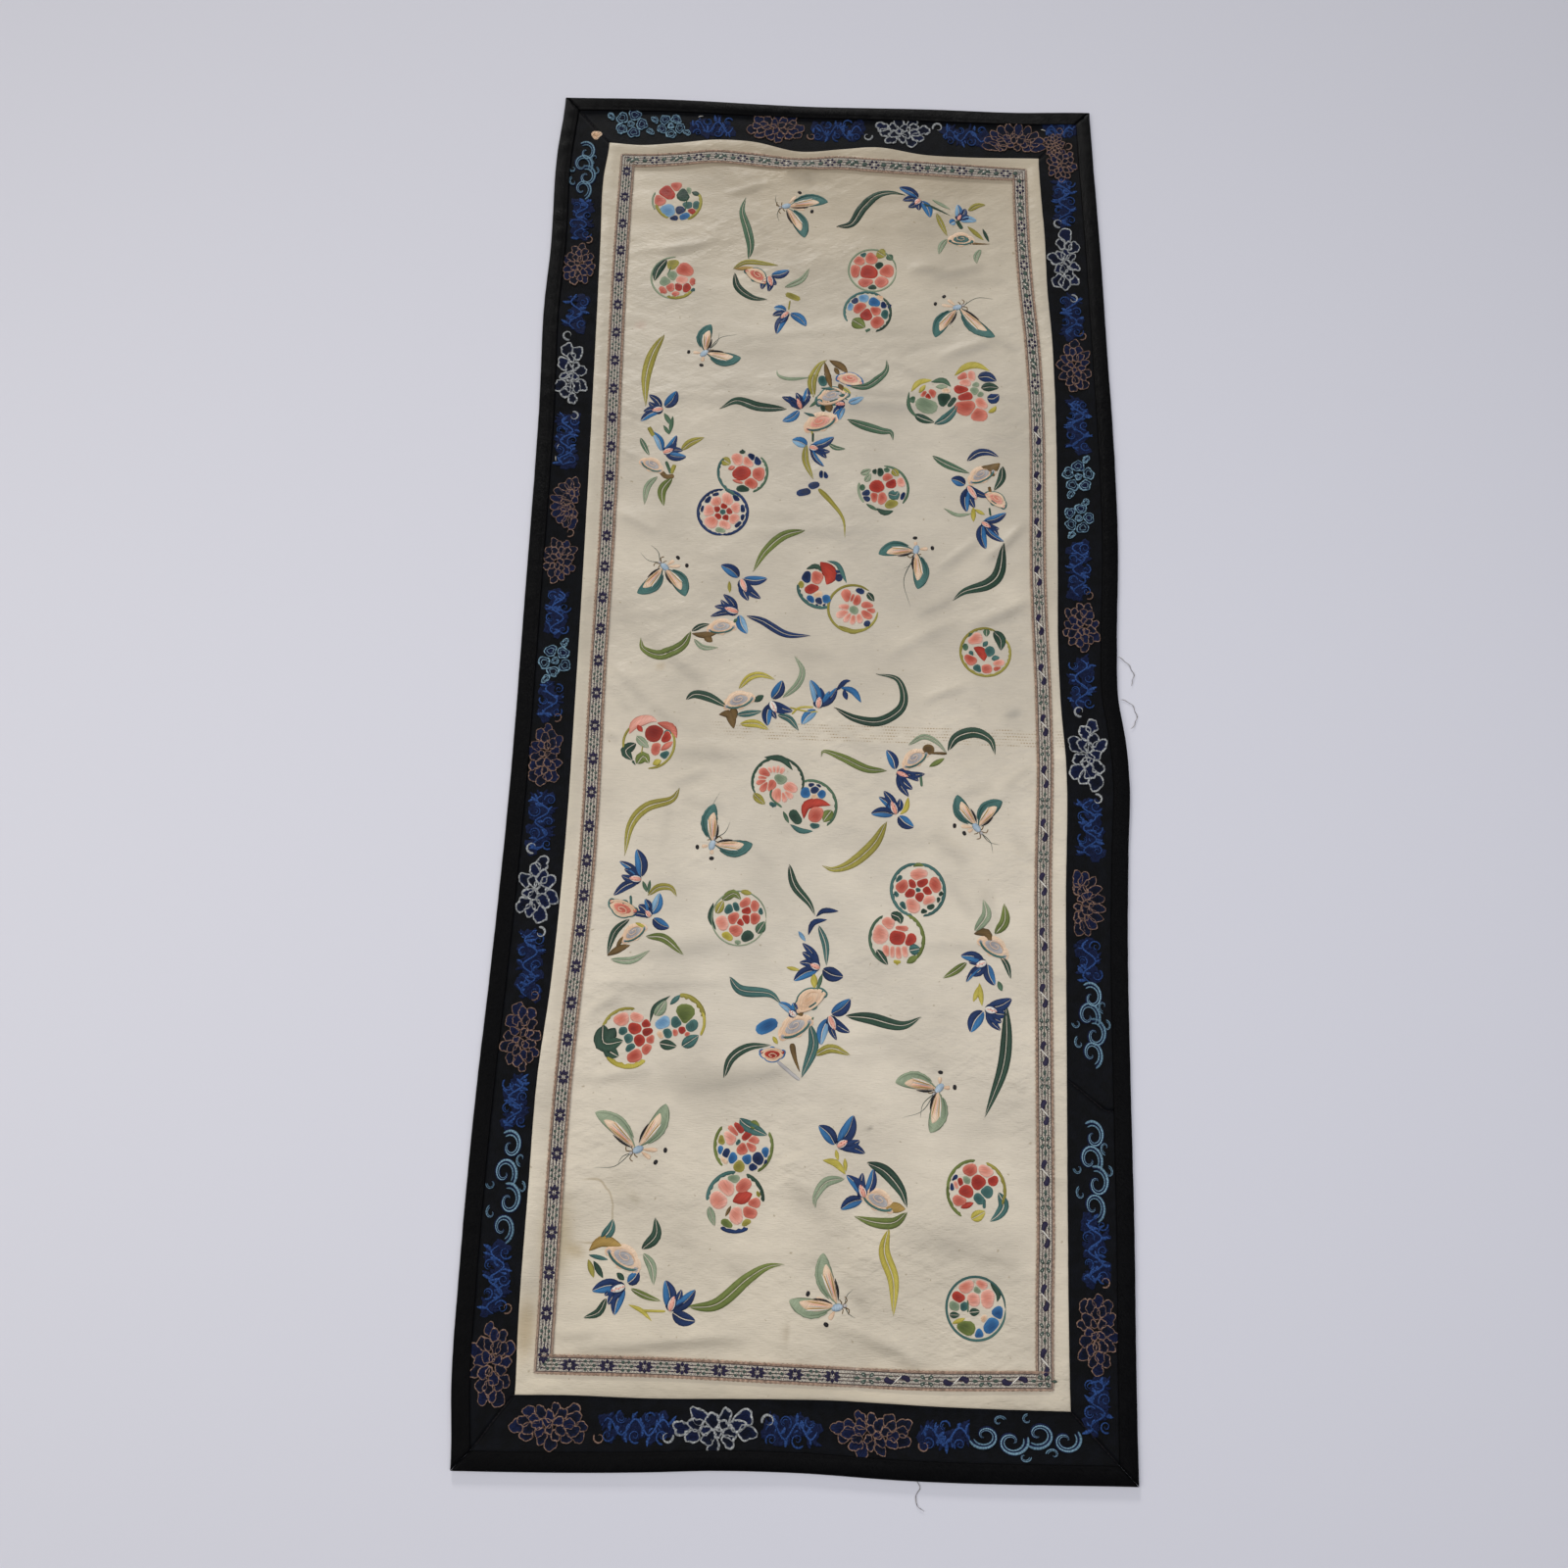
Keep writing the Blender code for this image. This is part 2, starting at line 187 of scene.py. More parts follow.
# The CAD's folds. A row gives the middle, the half length and half width, the angle from +X
# in degrees, and the height
FOLDS = (
    # x, y, half length, half width, angle, height
    (-0.020, 0.341, 0.075, 0.014, 6, 0.0016),
    (0.000, 0.286, 0.190, 0.013, 0, 0.0018),
    (-0.070, 0.506, 0.030, 0.011, -24, 0.0020),
    (-0.025, 0.517, 0.028, 0.009, 4, 0.0022),
    (-0.155, 0.470, 0.035, 0.016, -3, 0.0022),
    (0.095, 0.417, 0.035, 0.013, 5, 0.0022),
    (0.130, 0.335, 0.045, 0.014, 22, 0.0026),
    (0.163, 0.147, 0.038, 0.011, 45, 0.0024),
    (0.155, 0.080, 0.040, 0.011, 26, 0.0024),
    (0.110, 0.008, 0.030, 0.013, 18, 0.0020),
    (-0.155, 0.155, 0.030, 0.014, -22, 0.0020),
    (-0.142, 0.000, 0.055, 0.011, -40, 0.0024),
    (-0.090, -0.048, 0.050, 0.014, -3, 0.0026),
    (-0.085, -0.093, 0.035, 0.014, -6, 0.0020),
    (0.172, -0.065, 0.028, 0.012, 35, 0.0022),
    (-0.095, -0.212, 0.055, 0.013, 10, 0.0026),
    (-0.120, -0.238, 0.050, 0.012, 3, 0.0018),
    (-0.050, -0.318, 0.060, 0.017, 13, 0.0030),
    (0.040, -0.283, 0.035, 0.012, 14, 0.0016),
    (0.150, -0.425, 0.055, 0.016, 2, 0.0020),
    (0.010, -0.392, 0.040, 0.016, -38, 0.0018),
    (-0.110, -0.500, 0.070, 0.011, 4, 0.0018),
    (0.060, -0.500, 0.060, 0.014, -20, 0.0016),
    (0.252, -0.050, 0.040, 0.016, 90, 0.0020),
    (-0.236, 0.330, 0.060, 0.014, 88, 0.0012),
    (0.020, 0.575, 0.060, 0.012, 2, 0.0012),
    (-0.060, -0.578, 0.050, 0.012, 0, 0.0014),
)

# Fine creases seen in the photo, in mm. A row gives the two ends, the half width and the
# height, which is negative in a trough
CREASES = (
    # x0, y0, x1, y1, half width, height
   (-87, 333, 40, 347, 2.4, -0.45), (40, 347, 120, 350, 3.0, -0.30), (-190, 288, 190, 283, 2.4, -0.40),
    (-190, 280, 190, 276, 4.0, 0.30), (-40, 517, -7, 520, 2.4, 0.55), (-83, 513, -57, 500, 2.6, -0.50),
    (77, 416, 113, 418, 2.8, 0.55), (103, 323, 160, 347, 3.0, 0.50), (70, 327, 123, 343, 2.6, -0.40),
    (143, 127, 183, 167, 2.4, 0.60), (130, 67, 183, 93, 2.4, 0.60), (83, 77, 117, 93, 2.4, 0.35),
    (90, 0, 130, 17, 2.4, 0.50), (130, 3, 143, -13, 2.2, -0.30), (160, -77, 187, -53, 2.4, -0.45),
    (-173, 163, -137, 147, 2.6, 0.50), (-173, 27, -137, -7, 2.4, 0.50), (-137, -7, -110, -27, 2.4, 0.45),
    (-127, 27, -83, 0, 2.2, -0.35), (-173, -33, -160, -40, 2.4, 0.55), (-123, -53, -57, -57, 3.4, -0.55),
    (-110, -93, -70, -100, 3.0, -0.50), (-117, -87, -123, -133, 2.2, -0.30),
    (-57, -123, -23, -153, 2.2, -0.30), (-130, -223, -63, -210, 3.0, -0.50),
    (-177, -240, -57, -237, 3.0, 0.40), (10, -287, 70, -279, 2.8, -0.45),
    (-103, -333, -3, -310, 7.0, -0.60), (-103, -322, -3, -299, 3.2, 0.45),
    (-17, -390, 17, -417, 4.5, -0.50), (63, -430, 177, -430, 5.0, -0.45),
    (120, -457, 180, -457, 4.0, -0.40), (-190, -496, -150, -498, 3.0, 0.45),
    (-170, -507, -37, -497, 3.0, 0.50), (10, -493, 83, -510, 3.0, -0.40),
    (-23, -537, 77, -537, 4.0, 0.45), (-60, 300, 60, 306, 3.0, 0.35), (-10, 530, 170, 528, 3.5, 0.30),
    (20, 488, 120, 500, 3.0, 0.28), (-180, 425, -100, 436, 3.5, 0.30), (60, -205, 180, -196, 4.0, 0.30),
    (-10, -130, 110, -122, 4.0, -0.28), (-60, 150, 60, 160, 4.0, 0.28), (-180, 60, -90, 72, 3.5, -0.30),
    (-95, 491, -45, 505, 2.6, 0.55), (-22, 517, -12, 498, 2.2, -0.50), (-70, 470, -50, 440, 2.6, -0.35),
    (-154, 426, -92, 445, 3.0, 0.45), (98, 408, 150, 425, 3.0, 0.50), (110, 398, 172, 404, 3.0, -0.40),
    (143, 353, 178, 328, 2.8, -0.45), (60, 324, 98, 304, 3.0, 0.45), (-180, 262, -150, 250, 2.6, -0.45),
    (-182, 232, -158, 214, 2.4, 0.40), (100, 118, 145, 152, 3.2, 0.50), (88, 72, 190, 128, 4.0, -0.50),
    (58, 38, 122, 76, 4.0, 0.40), (-147, 56, -88, 12, 3.0, 0.50), (-178, 8, -150, -22, 2.4, -0.40),
    (-120, -76, -84, -64, 3.4, 0.45), (99, -107, 130, -136, 3.0, 0.50), (116, -86, 152, -72, 2.8, -0.50),
    (105, -147, 134, -186, 3.0, -0.45), (144, -150, 150, -200, 3.0, 0.50),
    (160, -110, 186, -140, 2.8, -0.45), (-174, -265, -146, -247, 2.8, 0.50),
    (-150, -219, -62, -213, 5.0, -0.50), (-136, -326, -4, -308, 6.0, -0.55),
    (-168, -315, -118, -303, 3.5, 0.50), (60, -290, 112, -301, 5.0, -0.40),
    (-62, -448, -34, -463, 3.5, -0.45), (28, -453, 52, -487, 3.5, -0.50), (45, -490, 94, -513, 3.5, 0.50),
    (96, -424, 168, -438, 4.0, 0.45), (-112, -434, -76, -438, 3.5, -0.35), (-40, 40, 20, 30, 4.0, -0.30),
    (10, -20, 60, -44, 3.5, 0.35),
)

# Soft stains of the satin: middle in mm, half sizes, turn in degrees, colour it pulls to, how far
STAINS = (
    # x, y, half length, half width, angle, tone, strength
    (0, 500, 230, 90, 0, "#A08D70", 0.30), (-60, 530, 90, 22, 0, "#96805E", 0.28),
    (120, 520, 80, 24, 0, "#96805E", 0.22), (168, -8, 7, 4, 20, "#8C8880", 0.45),
    (-185, -430, 12, 30, 0, "#A08A55", 0.5), (-170, -440, 8, 5, -30, "#9C8247", 0.45),
    (-203, -495, 8, 22, 0, "#A38C62", 0.65), (-130, 25, 4, 3, 0, "#A98F62", 0.40),
    (-165, 350, 5, 4, 0, "#C09A88", 0.35), (-138, -395, 13, 9, -40, "#B5A98F", 0.22),
    (-127, -402, 5, 3, -40, "#9E9071", 0.35), (-10, -494, 2.5, 8, 0, "#8E7A58", 0.35),
    (50, -346, 1.8, 1.6, 0, "#4E463C", 0.60), (0, -540, 200, 16, 0, "#A89A7E", 0.25),
    (-195, 0, 7, 480, 0, "#A39779", 0.16), (195, 100, 8, 420, 0, "#A39779", 0.16),
    (40, 200, 90, 120, 20, "#C9C4B8", 0.10), (-40, -200, 130, 110, 0, "#CFCBC0", 0.14),
)


def smooth_curve(table: tuple, at: np.ndarray) -> np.ndarray:
    """A cubic through the rows (along, value), level beyond the first and last rows.

    Args:
        table: Rows of place along and value.
        at: Places to read.
    Returns:
        The Hermite cubic with central slopes and level ends.
    """
    rows = np.array(sorted(table))
    along, value = rows[:, 0], rows[:, 1]
    slope = np.gradient(value, along)
    slope[0] = slope[-1] = 0.0
    at = np.clip(at, along[0], along[-1])
    left = np.clip(np.searchsorted(along, at, side="right") - 1, 0, len(along) - 2)
    span = along[left + 1] - along[left]
    t = (at - along[left]) / span
    start = (2 * t**3 - 3 * t**2 + 1) * value[left] + (t**3 - 2 * t**2 + t) * span * slope[left]
    end = (3 * t**2 - 2 * t**3) * value[left + 1] + (t**3 - t**2) * span * slope[left + 1]
    return start + end


def turned_frame(x: np.ndarray, y: np.ndarray, middle: tuple, degrees: float) -> tuple:
    """Places along and across a line through a middle, turned from +X."""
    cos, sin = np.cos(np.radians(degrees)), np.sin(np.radians(degrees))
    along = (x - middle[0]) * cos + (y - middle[1]) * sin
    return along, (y - middle[1]) * cos - (x - middle[0]) * sin


def crease_frame(x: np.ndarray, y: np.ndarray, ends: tuple) -> tuple:
    """Share along a crease, metres across it, and its taper, which falls by a cube to both ends."""
    x0, y0, x1, y1 = ends
    run = np.array([x1 - x0, y1 - y0]) * MM
    length = np.hypot(*run)
    unit = run / length
    along = ((x - x0 * MM) * unit[0] + (y - y0 * MM) * unit[1]) / length
    across = (y - y0 * MM) * unit[0] - (x - x0 * MM) * unit[1]
    return along, across, np.clip(1 - abs(2 * along - 1) ** 3, 0, 1)


class Layout:
    """Where the cloths lie: the CAD's sewing lines, folds and levels for any points.

    The waves are sines whose numbers of radians a metre lie within the ranges below.
    """

    wave_count = 36
    wave_x = 30
    wave_y = (90, 420)
    wave_height = 0.05 * MM
    crease_growth = 3.4
    crease_bend = 0.8 * MM

    def __init__(self) -> None:
        """Find the middle of the CAD's grid, which the CAD moves onto the origin."""
        u, v = np.meshgrid(self.grid_lines(SIZES.half_width, SIZES.cells_across),
                           self.grid_lines(SIZES.half_length, SIZES.cells_along), indexing="ij")
        x, y = self.warped(u.ravel(), v.ravel())
        self.middle = np.array([(x.min() + x.max()) / 2, (y.min() + y.max()) / 2])
        random = np.random.default_rng(11)
        self.waves = [(random.uniform(-1, 1) * self.wave_x,
                       random.uniform(*self.wave_y) * random.choice((-1, 1)),
                       random.uniform(0, 2 * np.pi), random.uniform(0.4, 1.0))
                      for _ in range(self.wave_count)]

    @staticmethod
    def grid_lines(half: float, middle_cells: int) -> np.ndarray:
        """The CAD's nominal lines in one direction: sewing lines at both sides, even between."""
        low = SIZES.sewing - half
        middle = np.linspace(low[-1], -low[-1], middle_cells + 1)[1:-1]
        return np.concatenate([low, middle, -low[::-1]])

    @staticmethod
    def real_lines(upright: bool, along: np.ndarray) -> tuple[np.ndarray, np.ndarray]:
        """Nominal and real places of the 16 sewing lines that run beside each place along.

        Args:
            upright: True for the lines of the left and right sides.
            along: Place of each point along those lines.
        Returns:
            The 16 nominal places, and an array (16, points) of real ones.
        """
        half = SIZES.half(not upright)
        low_side, high_side = ("left", "right") if upright else ("bottom", "top")

        def sewn(side: str) -> np.ndarray:
            """Distance of each line from the centre: half less the line plus its mean drift."""
            drifts = [np.mean([smooth_curve(DRIFT[side, table], along) for table in tables], axis=0)
                      for tables in LINE_FOLLOWS]
            return np.array([half - line + drift for line, drift in zip(SIZES.sewing, drifts)])

        nominal = np.concatenate([SIZES.sewing - half, half - SIZES.sewing[::-1]])
        return nominal, np.concatenate([-sewn(low_side), sewn(high_side)[::-1]])

    @classmethod
    def wander(cls, upright: bool, across: np.ndarray, along: np.ndarray) -> np.ndarray:
        """Real place across for each nominal one, linear between its two sewing lines."""
        nominal, real = cls.real_lines(upright, along)
        low = np.clip(np.searchsorted(nominal, across, side="right") - 1, 0, len(nominal) - 2)
        t = np.clip((across - nominal[low]) / (nominal[low + 1] - nominal[low]), 0, 1)
        each = np.arange(len(across))
        return real[low, each] * (1 - t) + real[low + 1, each] * t

    @classmethod
    def warped(cls, u: np.ndarray, v: np.ndarray) -> tuple[np.ndarray, np.ndarray]:
        """Panel place of nominal points."""
        return cls.wander(True, u, v), cls.wander(False, v, u)

    @classmethod
    def inset(cls, x: np.ndarray, y: np.ndarray) -> np.ndarray:
        """Nominal distance in from the nearest outer edge, for real panel places.

        Each coordinate is read back through its sewing lines, and the nearer side counts.
        """
        both = []
        for upright, across, along in ((True, x, y), (False, y, x)):
            nominal, real = cls.real_lines(upright, along)
            low = np.clip((real <= across).sum(axis=0) - 1, 0, len(nominal) - 2)
            each = np.arange(len(across))
            start, end = real[low, each], real[low + 1, each]
            t = np.clip((across - start) / (end - start), 0, 1)
            place = nominal[low] * (1 - t) + nominal[low + 1] * t
            both.append(SIZES.half(not upright) - abs(place))
        return np.minimum(*both)

    def lift(self, x: np.ndarray, y: np.ndarray) -> np.ndarray:
        """Height that the folds and fine creases give every layer at panel places.

        The folds are bells, as in the CAD. A crease is a bell across its line that tapers
        to its ends. Low waves, longer in x than in y, stand for the soft puffs of old silk.
        """
        fold = np.zeros_like(x)
        for *middle, length, width, angle, height in FOLDS:
            along, across = turned_frame(x, y, middle, angle)
            fold += height * np.exp(-(along / length) ** 2 - (across / width) ** 2)
        fine = np.zeros_like(x)
        for *ends, width, height in CREASES:
            along, across, taper = crease_frame(x, y, ends)
            across = across + self.crease_bend * np.sin(7 * along + ends[0])
            fine += self.crease_growth * height * MM * taper * np.exp(-(across / (width * MM)) ** 2)
        for wave_x, wave_y, phase, size in self.waves:
            fine += self.wave_height * size * np.sin(wave_x * x + wave_y * y + phase)
        return np.maximum(fold - SIZES.flat_below, 0) + np.maximum(fine + 0.3 * MM, 0)

    def floor(self, layer: Layer, x: np.ndarray, y: np.ndarray, inset: np.ndarray) -> np.ndarray:
        """Height of a cloth's underside: the lift and the step over the cloth under its edge."""
        base = self.lift(x, y)
        if layer is Layer.BAND:
            base = base + np.interp(inset, (SIZES.binding, SIZES.band_lands),
                                    (SIZES.leaf + SIZES.gap, 0))
        elif layer in (Layer.GROUND, Layer.RIBBON):
            base = base + np.interp(inset, (SIZES.band_inner, SIZES.ribbon_outer),
                                    (SIZES.cloth + SIZES.gap, 0))
        if layer is Layer.RIBBON:
            base = base + SIZES.cloth + SIZES.gap
        return base

    def row(self, x: np.ndarray, y: np.ndarray, z: np.ndarray) -> np.ndarray:
        """Points of the panel frame in the row frame, which is the panel's less its middle."""
        return np.stack([x - self.middle[0], y - self.middle[1], z], axis=-1)

    def top(self, layer: Layer, place: np.ndarray, over: np.ndarray | float) -> np.ndarray:
        """Row points that lie over a cloth's face at panel places (n, 2) in mm.

        Args:
            layer: The cloth that is lain on.
            place: Panel places, in mm.
            over: Height over the cloth's face, in mm.
        Returns:
            Points (n, 3) in metres.
        """
        x, y = place[:, 0] * MM, place[:, 1] * MM
        thick = SIZES.ribbon if layer is Layer.RIBBON else SIZES.cloth
        z = self.floor(layer, x, y, self.inset(x, y)) + thick + np.asarray(over) * MM
        return self.row(x, y, z)


LAYOUT = Layout()


def on_side(side: Side, along: np.ndarray, depth: np.ndarray) -> tuple[np.ndarray, np.ndarray]:
    """Panel place of points at a distance along a side and a depth in from its outer edge."""
    across = side.sign * (SIZES.half(not side.upright) - depth)
    u, v = (across, along) if side.upright else (along, across)
    shape = u.shape
    x, y = LAYOUT.warped(u.ravel(), v.ravel())
    return x.reshape(shape), y.reshape(shape)


class Bodies:
    """Many closed bodies joined into one mesh, kept as whole arrays."""

    def __init__(self) -> None:
        """Start empty."""
        self.points: list[np.ndarray] = []
        self.faces: list = []
        self.colours: list[np.ndarray] = []
        self.maps: list[np.ndarray] = []
        self.count = 0

    def add(self, points: np.ndarray, faces: list[np.ndarray], colour: np.ndarray,
            stitch: np.ndarray) -> None:
        """Add one body.

        Args:
            points: Its points (n, 3) in metres.
            faces: Arrays of faces, each with as many columns as its faces have corners.
            colour: Linear colour (n, 4) or (4,).
            stitch: Stitch coordinates (n, 2), in mm along and across the threads.
        """
        self.points.append(points)
        self.faces += [row for block in faces for row in (block + self.count).tolist()]
        self.colours.append(np.broadcast_to(colour, (len(points), 4)))
        self.maps.append(stitch)
        self.count += len(points)

    def build(self, name: str, material: bpy.types.Material, slot: str) -> bpy.types.Object:
        """The joined object, on the root body.

        Args:
            name: Name of the piece.
            material: Its finish.
            slot: The record's material slot, which is not used.
        Returns:
            The linked object, with the point colour "floss" and the UV map "stitch".
        """
        mesh = bpy.data.meshes.new(name)
        points = np.concatenate(self.points)
        mesh.from_pydata(points.tolist(), [], self.faces)
        mesh.polygons.foreach_set("use_smooth", np.ones(len(mesh.polygons), bool))
        colour = mesh.attributes.new("floss", "FLOAT_COLOR", "POINT")
        colour.data.foreach_set("color", np.concatenate(self.colours).astype(np.float32).ravel())
        corner = np.zeros(len(mesh.loops), np.int32)
        mesh.loops.foreach_get("vertex_index", corner)
        stitch = np.concatenate(self.maps)[corner].astype(np.float32)
        mesh.uv_layers.new(name="stitch").data.foreach_set("uv", stitch.ravel())
        mesh.materials.append(material)
        mesh.update()
        piece = bpy.data.objects.new(name, mesh)
        bpy.context.scene.collection.objects.link(piece)
        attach(piece, "root")
        LOG.info("%s: %d faces", name, len(mesh.polygons))
        return piece


def corners(*blocks: np.ndarray) -> np.ndarray:
    """Faces whose corners are the matching indices of each block."""
    return np.stack([block.ravel() for block in blocks], axis=1)


def cells_of(index: np.ndarray) -> np.ndarray:
    """The cells of a grid of indices."""
    return corners(index[:-1, :-1], index[1:, :-1], index[1:, 1:], index[:-1, 1:])


def rings_of(index: np.ndarray) -> np.ndarray:
    """The cells between closed rings of indices, one ring a row."""
    after = np.roll(index, -1, axis=1)
    return corners(index[:-1], after[:-1], after[1:], index[1:])


def closed_sheet(face: np.ndarray, back: np.ndarray) -> tuple[np.ndarray, list[np.ndarray]]:
    """A closed sheet between two grids of points, with walls round its outline.

    Args:
        face: Points (n, m, 3) of the shown side.
        back: Points of the other side, as many, or every second row and column of it.
    Returns:
        The points, and the faces turned so that the body's volume is positive.
    """
    n, m = face.shape[:2]
    step = 1 if back.shape == face.shape else 2
    front = np.arange(n * m).reshape(n, m)
    rear = (n * m + np.arange(back.shape[0] * back.shape[1])).reshape(back.shape[:2])

    def outline(index: np.ndarray) -> np.ndarray:
        """The grid's border, once round and back to its start."""
        return np.concatenate([index[:-1, 0], index[-1, :-1], index[:0:-1, -1], index[0, ::-1]])

    rim, seat = outline(front), outline(rear)
    if step == 1:
        wall = corners(rim[1:], rim[:-1], seat[:-1], seat[1:])
    else:
        wall = corners(rim[2::2], rim[1::2], rim[:-1:2], seat[:-1], seat[1:])
    points = np.concatenate([face.reshape(-1, 3), back.reshape(-1, 3)])
    faces = [cells_of(front), cells_of(rear)[:, ::-1], wall]
    coarse = face[::step, ::step]
    lean = np.cross(np.gradient(coarse, axis=0), np.gradient(coarse, axis=1)) * (coarse - back)
    return points, faces if lean.sum() > 0 else [block[:, ::-1] for block in faces]


def rounded(distance: np.ndarray, radius: float) -> np.ndarray:
    """Share of the full height near a turned edge: a quarter circle over its radius."""
    return np.sqrt(1 - (1 - np.clip(distance / radius, 0, 1)) ** 2)


def edged_lines(low: float, high: float, cells: int, edge: tuple[float, ...]) -> np.ndarray:
    """Grid lines from low to high: close ones at both edges and even ones between."""
    inner = np.linspace(low + edge[-1], high - edge[-1], cells + 1)
    rim = np.array(edge[:-1])
    return np.concatenate([low + rim, inner, (high - rim)[::-1]])


def lowest(grid: np.ndarray, reach: int) -> np.ndarray:
    """Lowest value of a grid within a reach of each point, so that a coarser sheet stays below."""
    padded = np.pad(grid, reach, mode="edge")
    rows, columns = grid.shape
    shifts = range(2 * reach + 1)
    return np.min([padded[i:i + rows, j:j + columns] for i in shifts for j in shifts], axis=0)


@dataclass(frozen=True)
class Ground:
    """The satin ground, one sheet whose turned edge lies over the bands.

    Only further in than the clear distance from the bands is its back lowered.
    """

    cell: float = 0.0032
    clear: float = 0.008
    edge: tuple[float, ...] = (0.0, 0.0004, 0.0011, 0.0022)
    edge_radius: float = 0.0018
    edge_share: float = 0.4
    ivory: str = "#D6CBB7"
    warm: str = "#C6B99E"
    # How dark the painted shade beside each crease is, and how many crease widths it spreads
    painted_shade: float = 0.26
    painted_shade_width: float = 1.7

    def tint(self, x: np.ndarray, y: np.ndarray) -> np.ndarray:
        """Colour of the satin: its ivory, darker towards the top, with painted shade beside the creases,
        pulled to each stain's tone.
        """
        tone = np.broadcast_to(linear(self.ivory), (len(x), 4)).copy()
        # Painted shade: the satin is darker towards the top, where less light falls
        tone[:, :3] *= (1 - 0.11 * np.clip((y + 0.12) / 0.16, 0, 1))[:, None]
        warm = np.clip((y - 0.3) / 0.25, 0, 1) * 0.5 + np.clip((-0.3 - y) / 0.25, 0, 1) * 0.35
        tone += (np.array(linear(self.warm)) - tone) * warm[:, None]
        # Painted shade: each crease is darkened along one side, the side turned from the light
        for *ends, width, height in CREASES:
            _, across, taper = crease_frame(x, y, ends)
            across = across + np.sign(height) * width * MM
            painted_shade = taper * np.exp(-(across / (self.painted_shade_width * width * MM)) ** 2)
            tone[:, :3] *= (1 - self.painted_shade * abs(height) * painted_shade)[:, None]
        for mid_x, mid_y, length, width, angle, code, strength in STAINS:
            along, across = turned_frame(x, y, (mid_x * MM, mid_y * MM), angle)
            off = (along / (length * MM)) ** 2 + (across / (width * MM)) ** 2
            tone += (np.array(linear(code)) - tone) * (strength * np.exp(-off**1.5))[:, None]
        return tone

    def build(self, material: bpy.types.Material) -> bpy.types.Object:
        """The ground's sheet, twice as coarse underneath."""
        half_u = SIZES.half_width - SIZES.ground_edge - SIZES.gap / 2
        half_v = SIZES.half_length - SIZES.ground_edge - SIZES.gap / 2
        lines = [edged_lines(-half, half, 2 * round(half / self.cell), self.edge)
                 for half in (half_u, half_v)]
        u, v = np.meshgrid(*lines, indexing="ij")
        x, y = LAYOUT.warped(u.ravel(), v.ravel())
        inset = np.minimum(SIZES.half_width - abs(u), SIZES.half_length - abs(v)).ravel()
        floor = LAYOUT.floor(Layer.GROUND, x, y, inset)
        turn = rounded(inset - SIZES.ground_edge, self.edge_radius)
        top = floor + SIZES.cloth * (self.edge_share + (1 - self.edge_share) * turn)
        face = LAYOUT.row(x, y, top).reshape(*u.shape, 3)
        under = np.where(inset > SIZES.band_inner + self.clear,
                         lowest(floor.reshape(u.shape), 2).ravel(), floor)
        back = LAYOUT.row(x, y, under).reshape(*u.shape, 3)[::2, ::2]
        bodies = Bodies()
        points, faces = closed_sheet(face, back)
        places = points[:, :2] + LAYOUT.middle
        bodies.add(points, faces, self.tint(*places.T), places / MM)
        piece = bodies.build("ground_cloth", material, "ground_satin")
        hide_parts("ground")
        return piece


@dataclass(frozen=True)
class Strip:
    """A length of ribbon or band on one side, between two depths and two ends.

    An end is None at a mitred corner, or else rows of depths and of places along.
    """

    node: str
    side: Side
    layer: Layer
    low_end: tuple | None = None
    high_end: tuple | None = None
    edge_radius: float = 0.001

    @property
    def depths(self) -> tuple[float, float]:
        """Depth of its outer and inner edges, clear of what they meet."""
        if self.layer is Layer.BAND:
            return SIZES.fold_wall + SIZES.gap, SIZES.band_inner - SIZES.gap / 2
        return SIZES.ribbon_outer + SIZES.gap / 2, SIZES.ribbon_inner - SIZES.gap / 2

    @property
    def cell(self) -> float:
        """Length of a cell along the strip."""
        return 0.0042 if self.layer is Layer.BAND else 0.0024

    def ends(self, depth: np.ndarray) -> tuple[np.ndarray, np.ndarray]:
        """Places along of both ends at each depth: the mitre is half the run less the depth."""
        half = SIZES.half(self.side.upright)
        low, high = depth - half + SIZES.mitre_gap, half - depth - SIZES.mitre_gap
        if self.low_end is not None:
            low = np.interp(depth, *self.low_end) + SIZES.gap / 2
        if self.high_end is not None:
            high = np.interp(depth, *self.high_end) - SIZES.gap / 2
        return low, high

    def build(self, material: bpy.types.Material, slot: str) -> bpy.types.Object:
        """The strip's closed sheet, its edges rounded off."""
        outer, inner = self.depths
        depth = edged_lines(outer, inner, round((inner - outer) / self.cell), (0.0, 0.0004, 0.001))
        low, high = self.ends(depth)
        share = np.linspace(0, 1, round((high - low).max() / self.cell) + 1)[:, None]
        along = low * (1 - share) + high * share
        depth = np.broadcast_to(depth, along.shape)
        x, y = on_side(self.side, along, depth)
        shape = x.shape
        x, y, flat_depth = x.ravel(), y.ravel(), depth.ravel()
        thick = SIZES.cloth if self.layer is Layer.BAND else SIZES.ribbon
        edge = np.minimum(flat_depth - outer, inner - flat_depth)
        floor = LAYOUT.floor(self.layer, x, y, flat_depth)
        face = LAYOUT.row(x, y, floor + thick * (0.5 + 0.5 * rounded(edge, self.edge_radius)))
        back = LAYOUT.row(x, y, floor)
        bodies = Bodies()
        points, faces = closed_sheet(face.reshape(*shape, 3), back.reshape(*shape, 3))
        stitch = np.stack([along.ravel(), flat_depth - (outer + inner) / 2], axis=1) / MM
        bodies.add(points, faces, WHITE, np.concatenate([stitch, stitch]))
        piece = bodies.build(self.node + "_cloth", material, slot)
        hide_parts(self.node)
        return piece


